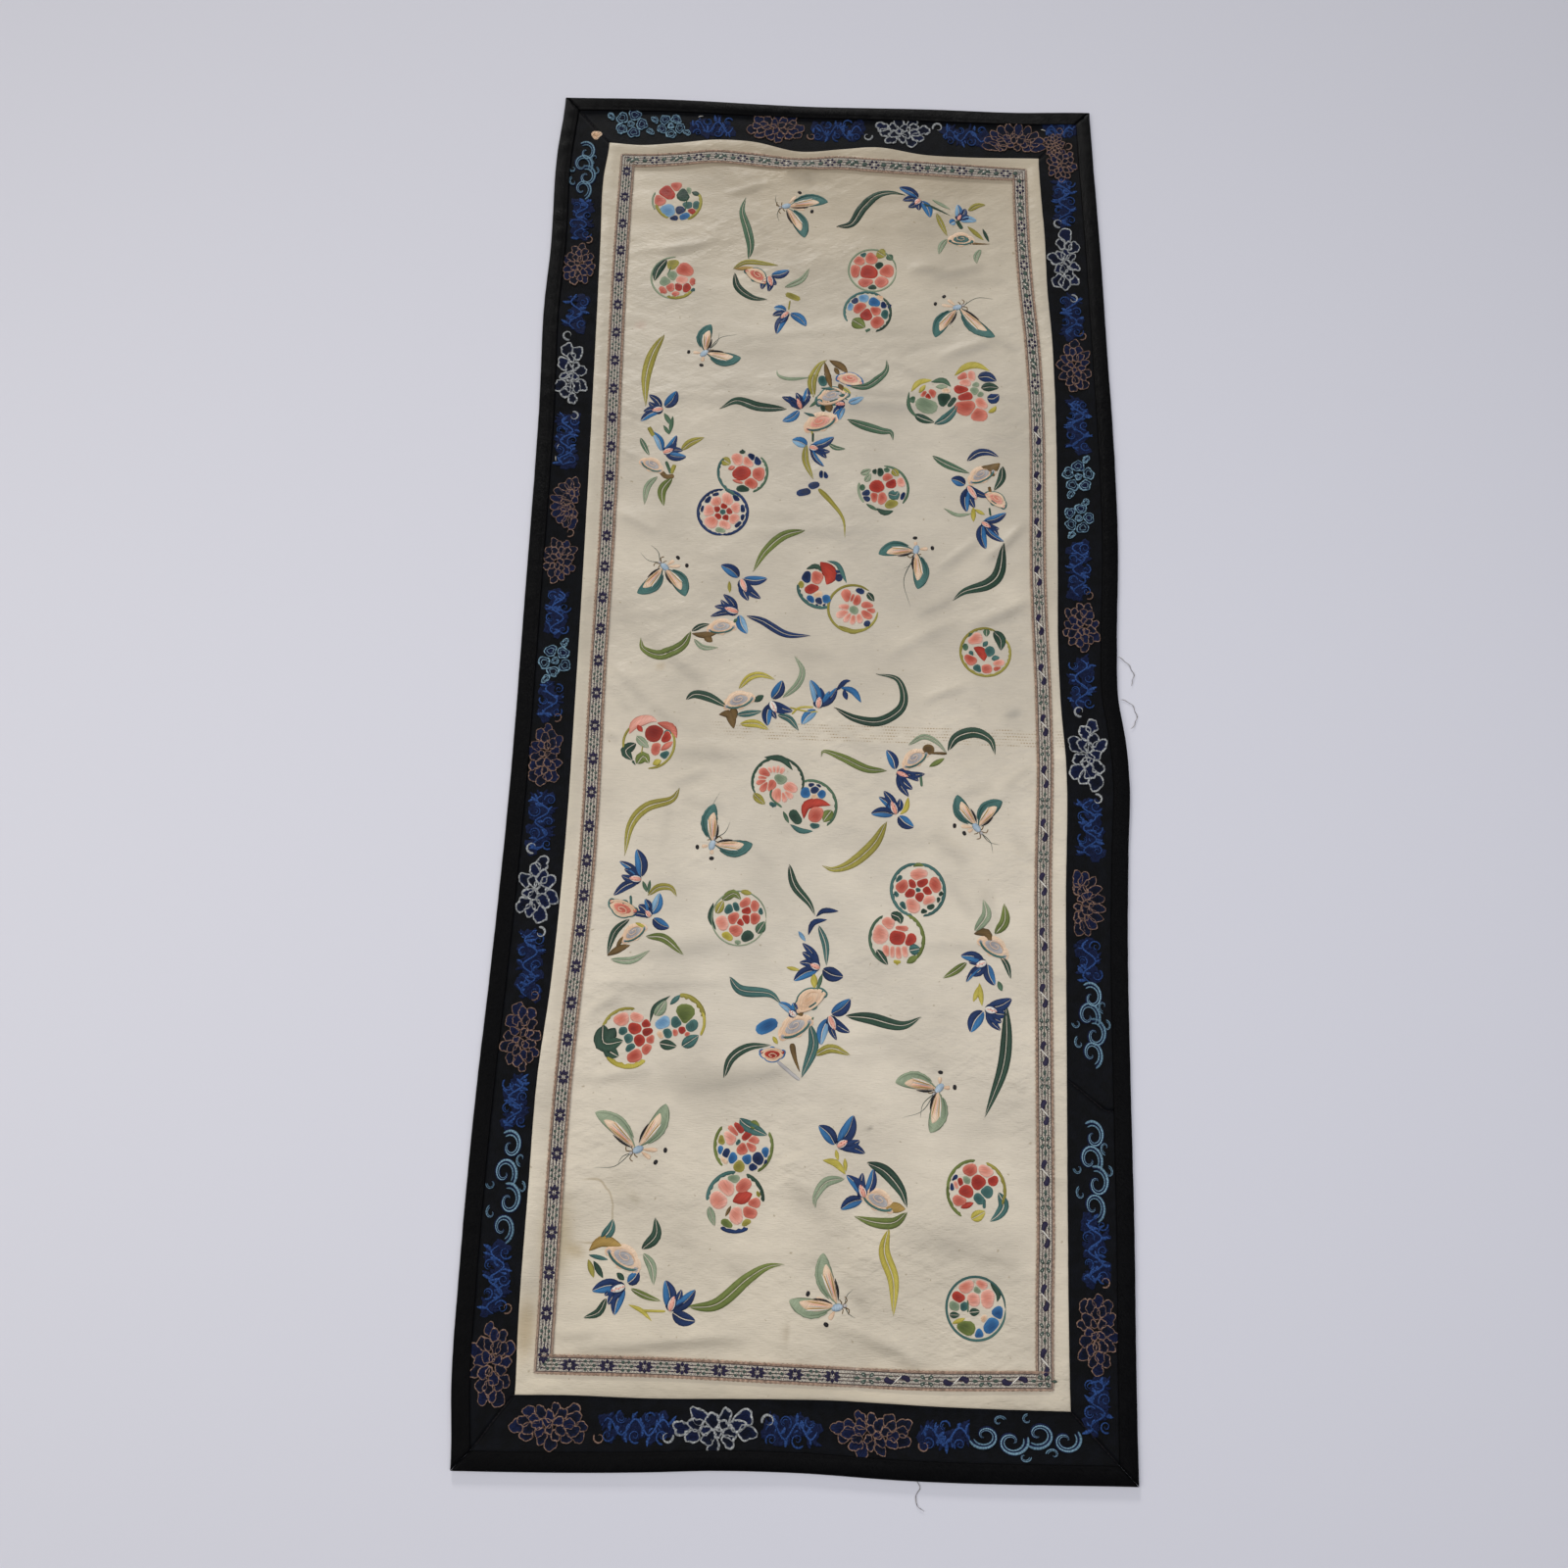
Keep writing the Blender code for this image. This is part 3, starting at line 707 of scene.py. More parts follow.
@dataclass(frozen=True)
class Binding:
    """A strip of satin folded over one outer edge: back leaf, fold and front leaf."""

    side: Side
    cell: float = 0.0040
    crease: float = 0.00035

    def profile(self) -> tuple[np.ndarray, np.ndarray]:
        """Depth and height of the outer and inner faces, from the back leaf to the front one."""
        leaf, gap, wall = SIZES.leaf, SIZES.gap, SIZES.fold_wall
        under = leaf + SIZES.cloth + 2 * gap
        flat = np.linspace(wall + 0.0012, SIZES.binding - 0.0007, 8)
        turn = np.linspace(-np.pi / 2, np.pi / 2, 9)
        radius = (under + leaf) / 2
        bow = np.stack([wall * (1 - np.cos(turn)), radius * (1 + np.sin(turn))], axis=1)
        core = np.stack([np.full(9, wall), np.linspace(leaf, under, 9)], axis=1)
        core[[0, -1], 0] += 0.0004
        inner_edge = SIZES.binding - gap / 2

        def leaf_run(height: float, rim: float) -> np.ndarray:
            """A leaf's points from the fold to its free edge, at one height."""
            return np.array([(depth, height) for depth in flat] + [(inner_edge, rim)])

        outer = np.concatenate([leaf_run(0, 0.0002)[::-1], bow, leaf_run(2 * radius, 2 * radius - 0.0003)])
        inner = np.concatenate([leaf_run(leaf, leaf - 0.0002)[::-1], core, leaf_run(under, under)])
        return outer, inner

    def build(self, material: bpy.types.Material) -> bpy.types.Object:
        """The folded strip, with its puff, cross creases and line of stitches."""
        outer, inner = self.profile()
        half = SIZES.half(self.side.upright)
        cells = round(2 * half / self.cell)
        share = np.linspace(-1, 1, cells + 1)[:, None]
        random = np.random.default_rng(len(self.side.value))
        skins = []
        for path, shown in ((outer, True), (inner, False)):
            depth = np.broadcast_to(path[:, 0], (cells + 1, len(path)))
            along = share * (half - depth - SIZES.mitre_gap)
            x, y = on_side(self.side, along, depth)
            z = LAYOUT.lift(x.ravel(), y.ravel()).reshape(x.shape) + path[:, 1]
            if shown:
                front = np.arange(len(path)) > len(path) // 2
                puff = np.sin(np.pi * np.clip(depth / 0.0125, 0, 1)) * front
                wave = np.sin(along / 0.0019 + 3 * np.sin(along / 0.013)) \
                    * np.sin(along / 0.031 + random.uniform(0, 6))
                z = z + puff * (0.0003 + self.crease * wave)
                z -= 0.00035 * front * np.exp(-((depth - 0.0122) / 0.0008) ** 2)
            skins.append(LAYOUT.row(x, y, z))
        bodies = Bodies()
        points, faces = closed_sheet(*skins)
        run = np.concatenate([[0], np.cumsum(np.hypot(*np.diff(outer, axis=0).T))])
        stitch = np.stack(np.meshgrid(share[:, 0] * half, run, indexing="ij"), axis=-1) / MM
        stitch = np.concatenate([stitch.reshape(-1, 2)] * 2)
        bodies.add(points, faces, WHITE, stitch)
        piece = bodies.build(f"binding_{self.side.value}_cloth", material, "binding_satin")
        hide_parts(f"binding_{self.side.value}")
        return piece


# Floss tones: the colour at a stitch's root and at its tip
TONES = {
    "coral": ("#A23C2C", "#D88672"), "salmon": ("#C46C56", "#E8B4A2"),
    "red": ("#801C14", "#B84232"), "deepred": ("#6C140E", "#9C3628"),
    "dkgreen": ("#182A22", "#34503F"), "green": ("#2D4934", "#56735A"),
    "moss": ("#455224", "#768242"), "teal": ("#204340", "#4A726C"),
    "olive": ("#716926", "#A49A48"), "gold": ("#948628", "#C2B454"),
    "ochre": ("#86682C", "#B29252"), "navy": ("#0C1A38", "#1C3664"),
    "blue": ("#14406F", "#3A77A8"), "sky": ("#44749C", "#8CB0C8"),
    "peach": ("#C89E7A", "#E6CCB0"), "brown": ("#48361A", "#765C34"),
    "grey": ("#8A868A", "#BCB8B4"), "sage": ("#66785E", "#98A488"),
    "black": ("#100E12", "#222022"), "white": ("#CEC8BC", "#E6E2D8"),
    "copper": ("#42322C", "#A28270"), "silver": ("#62666A", "#C0C2C0"),
    "ice": ("#26445C", "#8CB0C2"), "cobalt": ("#162A54", "#34548E"),
    "deep": ("#0B1330", "#182344"), "ink": ("#070C1A", "#121C38"), "plum": ("#141026", "#282240"),
    "mist": ("#7C97AC", "#B4C2CC"), "lattice": ("#2A3832", "#4C5C52"), "braid": ("#9A7C6A", "#C6AA94"),
}
# How much the tones are lit up, as the photo's exposure does
LIT = 1.08


def tone_of(name: str, share: np.ndarray) -> np.ndarray:
    """Linear colours between a tone's root and tip, times how much they are lit up."""
    root, tip = (np.array(linear(code)) for code in TONES[name])
    colour = root + (tip - root) * np.clip(share, 0, 1)[:, None]
    colour[:, :3] *= LIT
    return colour


def smooth_path(points: object, at: np.ndarray) -> np.ndarray:
    """A smooth path through a few points.

    Args:
        points: Rows of x and y.
        at: Shares of its length to read, from 0 to 1.
    Returns:
        Places on the Catmull-Rom curve through the points.
    """
    points = np.asarray(points, float)
    if len(points) > 2:
        ends = np.concatenate([[2 * points[0] - points[1]], points, [2 * points[-1] - points[-2]]])
        t = np.linspace(0, 1, 12, endpoint=False)[:, None]
        runs = [0.5 * (2 * b + (c - a) * t + (2 * a - 5 * b + 4 * c - d) * t**2
                       + (3 * b - a - 3 * c + d) * t**3)
                for a, b, c, d in zip(ends, ends[1:], ends[2:], ends[3:])]
        points = np.concatenate([*runs, points[-1:]])
    run = np.concatenate([[0], np.cumsum(np.hypot(*np.diff(points, axis=0).T))])
    return np.stack([np.interp(at * run[-1], run, column) for column in points.T], axis=1)


def length_of(points: object) -> float:
    """Length of a path: the sum of its steps."""
    return float(np.hypot(*np.diff(np.asarray(points, float), axis=0).T).sum())


def round_angles(count: int) -> np.ndarray:
    """Even angles once round from +X."""
    return np.arange(count) * 2 * np.pi / count


def unit_at(angle: np.ndarray | float) -> np.ndarray:
    """Unit vectors at angles: their cosines and sines."""
    return np.stack([np.cos(angle), np.sin(angle)], axis=-1)


def spin_of(turn: float) -> np.ndarray:
    """Matrix that reads rows of places in axes turned by an angle."""
    return np.array([[np.cos(turn), -np.sin(turn)], [np.sin(turn), np.cos(turn)]])


def left_of(run: np.ndarray) -> np.ndarray:
    """A run turned a quarter to its left."""
    return np.array([-run[1], run[0]])


def normals_of(path: np.ndarray) -> np.ndarray:
    """Unit normals on the left of a path, a quarter turn from its tangents."""
    tangent = np.gradient(path, axis=0)
    tangent /= np.maximum(np.hypot(*tangent.T), 1e-9)[:, None]
    return np.stack([-tangent[:, 1], tangent[:, 0]], axis=1)


# Half width of each cut along its length, as a share of the full half width
CUTS = {
    "leaf": lambda t: np.sin(np.pi * t**0.8) ** 0.75,
    "blade": lambda t: np.sin(np.pi * t) ** 0.8,
    "petal": lambda t: 1.16 * t**0.6 * (1 - t**5) ** 0.5,
    "tail": lambda t: (1 - t) ** 0.75 * (1 - (1 - t) ** 14) ** 0.5,
    "line": lambda t: (1 - abs(2 * t - 1) ** 10) ** 0.5,
    "oval": lambda t: (1 - abs(2 * t - 1) ** 2.3) ** 0.5,
    "lobe": lambda t: np.sin(np.pi * t**0.85) ** 0.65,
    "wing": lambda t: 2.94 * t**0.95 * (1 - t) ** 0.65,
}
# How much fuller than its table width each cut is sewn
FULLER = {"leaf": 1.22, "blade": 1.2, "arc": 1.1}


@dataclass
class Bed:
    """Petals side by side: each grows from an oval seed until it meets the others."""

    gap: float = 0.55
    spokes: int = 18
    rows: list = field(default_factory=list)
    tones: list = field(default_factory=list)

    def add(self, start: object, end: object, width: float, tone: str | None) -> None:
        """A seed by its two ends and its width; without a tone it only holds its place."""
        start, end = np.array(start, float), np.array(end, float)
        run = end - start
        half = max(np.hypot(*run), width * 0.8) / 2
        self.rows.append((*(start + end) / 2, half, width / 2, np.arctan2(run[1], run[0])))
        self.tones.append(tone)

    def outlines(self, growth: float, circle: tuple | None = None) -> np.ndarray:
        """Radius of each petal at even angles from +X, in mm.

        The radius is that of its oval times the growth, cut where the ray meets the line
        that parts it from each neighbour in the ratio of their ovals, less half the gap,
        cut by the circle, and evened over the next angles.

        Args:
            growth: How much larger than its seed a petal may be.
            circle: Middle and radius of a circle that holds them, or None.
        Returns:
            Radii (petals, spokes).
        """
        rows = np.array(self.rows)
        x, y = rows[:, 0], rows[:, 1]
        angle = round_angles(self.spokes)

        def oval(bearing: np.ndarray, row: np.ndarray) -> np.ndarray:
            """Radius of an ellipse from its middle at a bearing."""
            long, wide, turn = row[..., 2], row[..., 3], row[..., 4]
            return long * wide / np.hypot(wide * np.cos(bearing - turn), long * np.sin(bearing - turn))

        far = np.hypot(x - x[:, None], y - y[:, None]) + np.eye(len(x)) * 1e6
        bearing = np.arctan2(y - y[:, None], x - x[:, None])
        here, there = oval(bearing, rows[:, None]), oval(bearing + np.pi, rows[None])
        wall = np.maximum(far * here / (here + there) - self.gap / 2, 0.3)
        lean = np.cos(angle - bearing[..., None])
        cut = np.where(lean > 0.08, wall[..., None] / np.maximum(lean, 0.08), 1e6).min(axis=1)
        radius = np.minimum(growth * oval(angle, rows[:, None]), cut)
        if circle is not None:
            off = np.array(circle[0]) - rows[:, :2]
            along = off @ unit_at(angle).T
            room = circle[1] ** 2 - (off**2).sum(axis=1)[:, None] + along**2
            radius = np.minimum(radius, np.maximum(along + np.sqrt(np.maximum(room, 0)), 0.8))
        for _ in range(3):
            evened = (np.roll(radius, 1, axis=1) + np.roll(radius, -1, axis=1) + 2 * radius) / 4
            radius = np.minimum(radius, evened)
        return radius


@dataclass
class Needle:
    """Lays floss and thread on one cloth, and gathers it in one mesh.

    Everything is kept as panel places with a height over the cloth, all in mm, until the
    piece is built and all of it is laid on the cloth at once. With a side, the places are
    taken along that side and across it, from a line at a depth in from the outer edge.
    """

    layer: Layer
    seed: int
    crown: float = 0.38
    sunk: float = 0.14
    vein: float = 0.15
    side: Side | None = None
    depth: float = 0.0
    bodies: Bodies = field(default_factory=Bodies)
    base: tuple[float, float] = (0.0, 0.0)
    laid: int = 0

    def __post_init__(self) -> None:
        """Start this needle's own random draws."""
        self.random = np.random.default_rng(self.seed)

    def level(self, step: float, steps: int) -> float:
        """Rise of the next patch, some steps in turn, so that those that lap don't share a surface."""
        self.laid += 1
        return step * (self.laid % steps)

    def patch(self, points: object, low: object, high: object, tone: str, slant: float | None = 0.0,
              crown: float | None = None, row: float = 1.8) -> None:
        """One closed patch of satin stitch between two rails, domed between them.

        Args:
            points: The middle line.
            low: Offset of the right rail along the line, as a function of its share.
            high: Offset of the left rail.
            tone: Name of its tone.
            slant: Turn of the threads from the middle line, in degrees, or None where they
                run across a curved line.
            crown: Height of the dome's middle.
            row: Length of a row of cells.
        """
        crown = self.crown if crown is None else crown
        length = length_of(points)
        rows = int(np.clip(round(length / row), 3 if length < 6 else 6, 90))
        at = (1 - np.cos(np.linspace(0, np.pi, rows + 2))) / 2
        path = smooth_path(points, at)
        normal = normals_of(path)
        across = np.array([0.0, 0.14, 0.5, 0.86, 1.0])
        dome = np.array([-self.sunk / crown, 0.68, 1.0, 0.68, -self.sunk / crown])
        right, left = low(at), high(at)
        offset = right[:, None] + (left - right)[:, None] * across
        body = path[:, None] + normal[:, None] * offset[..., None]
        over = crown * dome * np.where(dome > 0, np.minimum(1, 4 * at * (1 - at) + 0.55)[:, None], 1)
        over = over + self.level(0.025, 6)
        wide = len(across)
        index = 1 + np.arange(rows * wide).reshape(rows, wide)
        under = corners(index[:-1, 0], index[:-1, -1], index[1:, -1], index[1:, 0])
        last = 1 + rows * wide
        fans = [(0, a, b) for a, b in zip(index[0], index[0, 1:])] + [(0, index[0, -1], index[0, 0])]
        fans += [(b, a, last) for a, b in zip(index[-1], index[-1, 1:])]
        fans += [(index[-1, 0], index[-1, -1], last)]
        flat = np.concatenate([path[:1], body[1:-1].reshape(-1, 2), path[-1:]])
        height = np.concatenate([[-self.sunk], over[1:-1].ravel(), [-self.sunk]])
        share = np.concatenate([[0], np.repeat(at[1:-1], wide), [1]])
        middle = 1 - abs(2 * np.concatenate([[0], np.tile(across, rows), [0]]) - 1)
        colour = tone_of(tone, 0.15 + 0.55 * share + 0.3 * middle + self.random.uniform(-0.15, 0.15))
        # Painted shade: each patch is darker towards both its rims, where its dome turns down
        colour[:, :3] *= (0.86 + 0.16 * np.minimum(1, 2.5 * middle))[:, None]
        run = path[-1] - path[0]
        turn = np.arctan2(run[1], run[0]) + np.radians(slant or 0.0)
        stitch = flat @ spin_of(turn) + self.random.uniform(0, 40, 2)
        if slant is None:
            stitch[1:-1] = np.stack([offset[1:-1], np.repeat(at[1:-1, None] * length, wide, 1)],
                                    axis=-1).reshape(-1, 2)
        faces = [cells_of(index), under, np.array(fans)]
        self.bodies.add(np.column_stack([flat, height]), faces, colour, stitch)

    def lay(self, points: object, width: float, cut: str, tone: str, slant: float | None = 0.0,
            crown: float | None = None) -> None:
        """A patch whose cut is even on both sides of its line."""
        shape = CUTS[cut]
        self.patch(points, lambda t: -width / 2 * shape(t), lambda t: width / 2 * shape(t),
                   tone, slant, crown)

    def dot(self, place: object, reach: float, width: float, tone: str, slant: float,
            crown: float) -> None:
        """A small oval that reaches as far to both sides of a place."""
        x, y = place
        self.lay([(x - reach, y), (x + reach, y)], width, "oval", tone, slant, crown)

    def lobes(self, points: object, vein: float, half: float, left: object, right: object,
              tones: tuple[str, str], slant: float) -> None:
        """Two lobes of slanting stitches on both sides of a vein.

        Args:
            points: The middle line.
            vein: Half the gap between the lobes.
            half: Half the full width.
            left: Share of the width on the left, as a function of the share of the length.
            right: The same on the right.
            tones: Tones of the left and right lobes.
            slant: Turn of the stitches, to the left and to the right.
        """
        self.patch(points, lambda t: vein + 0 * t, lambda t: vein + (half - vein) * left(t),
                   tones[0], slant)
        self.patch(points, lambda t: -vein - (half - vein) * right(t), lambda t: -vein + 0 * t,
                   tones[1], -slant)

    def pad(self, middle: object, radii: np.ndarray, tone: str, turn: float = 0.0,
            over: float = 0.0, crown: float | None = None, core: float = 0.15) -> None:
        """A domed pad of stitches inside an outline given by its radii at even angles.

        Args:
            middle: Its middle.
            radii: Distance of the outline at each angle.
            tone: Name of its tone, whose tip colour is at the rim.
            turn: Direction of its stitches, in radians.
            over: How far it stands over the cloth.
            crown: Height of its dome.
            core: Share of the tone at the middle.
        """
        crown = self.crown if crown is None else crown
        unit = unit_at(round_angles(len(radii)))
        rings = np.array([1.0, 0.96, 0.78, 0.42])
        body = np.asarray(middle) + (rings[:, None] * radii)[..., None] * unit
        level = over + self.level(0.02, 5)
        heights = np.array([-self.sunk, 0.62 * crown + level, 0.92 * crown + level, crown + level])
        index = np.arange(body[..., 0].size).reshape(len(rings), -1)
        top = corners(index[-1], np.roll(index[-1], -1), np.full(len(radii), index.size))
        flat = np.concatenate([body.reshape(-1, 2), [middle]])
        height = np.append(np.repeat(heights, len(radii)), crown + level)
        share = core + (0.85 - core) * np.append(np.repeat(rings, len(radii)), 0.0) ** 2
        share = share + 0.25 * (flat - middle) @ unit_at(turn) / radii.max()
        colour = tone_of(tone, share + self.random.uniform(-0.12, 0.12))
        stitch = flat @ spin_of(turn) + self.random.uniform(0, 40, 2)
        faces = [rings_of(index), top, index[:1, ::-1]]
        self.bodies.add(np.column_stack([flat, height]), faces, colour, stitch)

    def rim(self, middle: object, radii: np.ndarray, width: float, tone: str, over: float = 0.0) -> None:
        """A raised band of thread inside an outline, its loops parted by darker notches."""
        count = len(radii)
        unit = unit_at(round_angles(count))
        ragged = self.random.uniform(0.6, 1.3, count)
        radii = radii * self.random.uniform(0.92, 1.05, count)
        inner = np.maximum(radii - width * ragged, radii * 0.25)
        across = np.array([0.0, 0.22, 0.78, 1.0])
        reach = inner + (radii - inner) * across[:, None]
        body = np.asarray(middle) + reach[..., None] * unit
        height = np.repeat(np.array([-self.sunk, 0.55 + over, 0.62 + over, -self.sunk]), count)
        index = np.arange(4 * count).reshape(4, count)
        loop = np.concatenate([index, index[:1]])
        after = np.roll(loop, -1, axis=1)
        quads = corners(after[:-1], loop[:-1], loop[1:], after[1:])
        share = 0.45 + 0.35 * across[:, None] + self.random.uniform(-0.40, 0.35, count)
        colour = tone_of(tone, share.ravel())
        run = np.cumsum(np.hypot(*(body[-1] - np.roll(body[-1], 1, axis=0)).T))
        stitch = np.stack(np.broadcast_arrays(reach, run), axis=-1).reshape(-1, 2)
        self.bodies.add(np.column_stack([body.reshape(-1, 2), height]), [quads], colour, stitch)

    def fringe(self, points: object, width: float, tone: str, cut: str = "line",
               pitch: float = 2.8) -> None:
        """A rim of looped thread: a thick band across whose outer side the loops show."""
        shape, loops = CUTS[cut], length_of(points) / pitch
        phase = self.random.uniform(0, 1)
        bays = lambda t: 0.72 + 0.42 * abs(np.sin(np.pi * (loops * t + phase)))
        self.patch(points, lambda t: -width / 2 * shape(t) * bays(t),
                   lambda t: width / 2 * shape(t) * (0.85 + 0.15 * bays(t)), tone, None, 0.75, 1.1)

    def tube(self, points: object, radius: float, tone: str, wobble: float = 0.0,
             pitch: float = 3.0, over: float = 0.2, step: float = 1.5, sides: int = 4) -> None:
        """A round thread along a path, wobbling as looped thread does, its ends drawn in.

        Args:
            points: The path.
            radius: Radius of the thread.
            tone: Name of its tone.
            wobble: How far it sways to both sides, in mm.
            pitch: Length of one sway.
            over: Height of its middle.
            step: Length between rings.
            sides: Sides of its section, which is shaded round.
        """
        length = length_of(points)
        rings = max(5, round(length / step) + 1)
        at = np.linspace(0, 1, rings)
        path = smooth_path(points, at)
        normal = normals_of(path)
        phase = self.random.uniform(0, 2 * np.pi)
        swell = np.sin(2 * np.pi * at * length / pitch + phase)
        path = path + normal * (wobble * swell)[:, None]
        normal = normals_of(path)
        thick = radius * (1 - 0.75 * abs(2 * at - 1) ** 8) * (1 + 0.2 * swell * (wobble > 0))
        angle = np.linspace(0, 2 * np.pi, sides, endpoint=False)
        flat = path[:, None] + normal[:, None] * (thick[:, None] * np.cos(angle))[..., None]
        height = over + thick[:, None] * np.sin(angle)
        index = np.arange(rings * sides).reshape(rings, sides)
        faces = [rings_of(index), np.array([index[0, ::-1], index[-1]])]
        colour = tone_of(tone, 0.35 + 0.5 * (swell > 0) + self.random.uniform(-0.1, 0.1, rings))
        stitch = np.stack(np.broadcast_arrays(at[:, None] * length, angle * radius), axis=-1)
        points = np.column_stack([flat.reshape(-1, 2), height.ravel()])
        self.bodies.add(points, faces, np.repeat(colour, sides, axis=0), stitch.reshape(-1, 2))

    def leaf(self, tone: str, width: float, points: list) -> None:
        """A leaf: two lobes of slanting stitches on both sides of a pale vein."""
        shape = CUTS["leaf"]
        self.lobes(points, self.vein, width / 2, shape,
                   lambda t: shape(np.clip(1.06 * t - 0.03, 0, 1)), (tone, tone), 38)

    def arc(self, tone: str, width: float, points: list) -> None:
        """A ring's arc: smooth outside, and scalloped inside where it is wide enough."""
        centre, (radius, _), (start, end) = points
        lap, step, scallop, nearly_round = 9, 18, 4.2, 340
        if end - start < nearly_round:
            start, end = start - lap, end + lap
        count = max(4, round(abs(end - start) / step))
        angle = np.radians(np.linspace(start, end, count))
        path = np.array(centre) + radius * unit_at(angle)
        scallops = abs(end - start) * np.pi / 180 * radius / scallop
        shape = CUTS["line"]
        depth = 0.55 if width > 2.2 else 0.0
        bays = lambda t: 1 - depth * abs(np.cos(np.pi * scallops * t)) ** 1.5
        self.patch(path, lambda t: -width / 2 * shape(t), lambda t: width * 0.65 * shape(t) * bays(t),
                   tone, None)

    def orchid(self, tone: str, width: float, points: list) -> None:
        """An orchid's throat from its base to its tip, dotted red; its petals follow.

        Its layers have their own tones, so that of the table isn't used.
        """
        base, tip = np.array(points[0]), np.array(points[1])
        self.base = points[0]
        for share, layer, crown in ((1.7, "navy", 0.55), (1.15, "white", 0.7), (0.85, "salmon", 0.85)):
            self.lay([base, base + (tip - base) * (0.9 + 0.12 * crown)], width * share, "lobe",
                     layer, 0, crown)
        side_step = left_of(tip - base) / np.hypot(*(tip - base))
        for share, side in ((0.45, 0.8), (0.6, -0.9), (0.75, 1.0), (0.88, -0.6)):
            self.dot(base + (tip - base) * share + side_step * side, 0.5, 1.0, "red", 0, 1.0)

    def petals(self, tone: str, width: float, points: list) -> None:
        """Petals of the last orchid to each tip: pointed, and split in two tones by a vein."""
        base, throat = np.array(self.base), 2.4
        mates = {"blue": ("blue", "navy"), "sky": ("sky", "blue")}
        shape = CUTS["lobe"]
        for number, tip in enumerate(points):
            run = np.array(tip) - base
            start = base + run / np.hypot(*run) * throat
            bend = left_of(run) * (0.10 if number % 2 else -0.08)
            path = [start, (start + tip) / 2 + bend, np.array(tip) + run * 0.03]
            tones = mates.get(tone, (tone, tone)) if number % 2 == 0 else (tone, tone)
            self.lobes(path, 0.08, width * 0.66, shape, shape, tones, 24)

    def fungus(self, tone: str, width: float, points: list) -> None:
        """A sacred-fungus head: nested lobed caps, a small ringed lobe at each end and one below.

        The cap's radius is a half oval with two notches over the top, and flatter below.
        """
        rim, fill = tone.split("/")
        centre, (angle, _) = np.array(points[0]), points[1]
        tilt = -np.radians(angle)
        spin = spin_of(-tilt)
        local = round_angles(48) - tilt
        over_top = np.sin(local) > 0
        bays = 0.80 + 0.20 * abs(np.cos(1.5 * (local - np.pi / 2))) ** 0.6
        cap = np.where(over_top, 0.60 / np.hypot(np.cos(local), 1.7 * np.sin(local)) * bays,
                       0.60 / np.hypot(np.cos(local), 2.0 * np.sin(local)))
        band = "teal" if rim in ("peach", "brown") else "peach"
        for size, name, rise in ((1.0, rim, 0.0), (0.88, "peach", 0.14), (0.58, fill, 0.28)):
            self.pad(centre, cap * size * width, name, tilt + 0.7, rise, 0.24)
        lower = np.radians(np.linspace(195, 350, 9))
        band_path = np.stack([np.cos(lower) * 0.52, np.sin(lower) * 0.27 + 0.02], axis=1)
        self.lay(centre + band_path @ spin * width, 0.09 * width, "line", band, None, 0.8)
        wind = np.linspace(0, 9.5, 16)
        spiral = np.stack([np.cos(wind) * 0.30, np.sin(wind) * 0.16], axis=1) * (1 - wind / 11)[:, None]
        self.lay(centre + (spiral + (0.02, 0.04)) @ spin * width, 0.9, "line", "peach", None, 0.9)
        for x in (-0.46, 0.46):
            lobe = centre + np.array([x, -0.10]) @ spin * width
            for size, name, rise in ((0.13, rim, 0.1), (0.07, fill, 0.3)):
                self.pad(lobe, np.full(12, size * width), name, tilt, rise, 0.22)
        low = centre + np.array([0, -0.20]) @ spin * width
        self.pad(low, np.full(14, width * 0.15), rim, tilt, 0.1, 0.3)

    def seeds(self, bed: Bed, cut: str, tone: str, width: float, points: list) -> None:
        """Put one entry of a table in a bed: ovals, petals, roses and fans grow in it.

        Args:
            bed: The bed.
            cut: Kind of the entry. Leaves and blades only hold their place, as four balls; other kinds add
                nothing.
            tone: Its tone.
            width: Its width.
            points: Its places.
        """
        if cut in ("oval", "petal"):
            bed.add(points[0], points[-1], width, tone)
        elif cut == "fan":
            for tip in points[1:]:
                start = np.array(points[0]) + (np.array(tip) - points[0]) * 0.22
                bed.add(start, tip, width * 1.25, tone)
        elif cut == "rose":
            centre, (radius, _), (count, start) = points
            for out in unit_at(np.radians(start + np.arange(count) * 360 / count)):
                bed.add(*(np.array(centre) + out * radius * k for k in (0.42, 1.0)), width, tone)
        elif cut in ("leaf", "blade"):
            for place in smooth_path(points, np.array([0.15, 0.4, 0.65, 0.9])):
                bed.add(place - (width * 0.4, 0), place + (width * 0.4, 0), width * 0.8, None)

    def sew(self, text: str, growth: float = 2.3) -> None:
        """Sew a table's stitches: tone, cut, width and places, parted by semicolons.

        An arc wider than 19 mm is a ring, and the petals stay 2 mm inside it.

        Args:
            text: The table.
            growth: How much larger than its seed a petal may grow.
        """
        bed, circle = Bed(), None
        for entry in text.split(";"):
            tone, cut, width, *places = entry.split()
            width = float(width)
            points = [tuple(float(c) for c in (place + ",0").split(",")[:2]) for place in places]
            self.seeds(bed, cut, tone, width, points)
            if cut == "arc" and points[1][0] > 19:
                circle = (points[0], points[1][0] - 2.0)
            if cut in ("leaf", "arc", "orchid", "petals", "fungus"):
                getattr(self, cut)(tone, width * FULLER.get(cut, 1.0), points)
            elif cut not in ("oval", "petal", "fan", "rose"):
                slant = {"blade": 25, "tail": 15}.get(cut, 0)
                self.lay(points, width * FULLER.get(cut, 1.0), cut, tone, slant)
        if bed.rows:
            for row, tone, radii in zip(bed.rows, bed.tones, bed.outlines(growth, circle)):
                if tone is not None:
                    self.pad(row[:2], radii, tone, row[4] + 0.1)

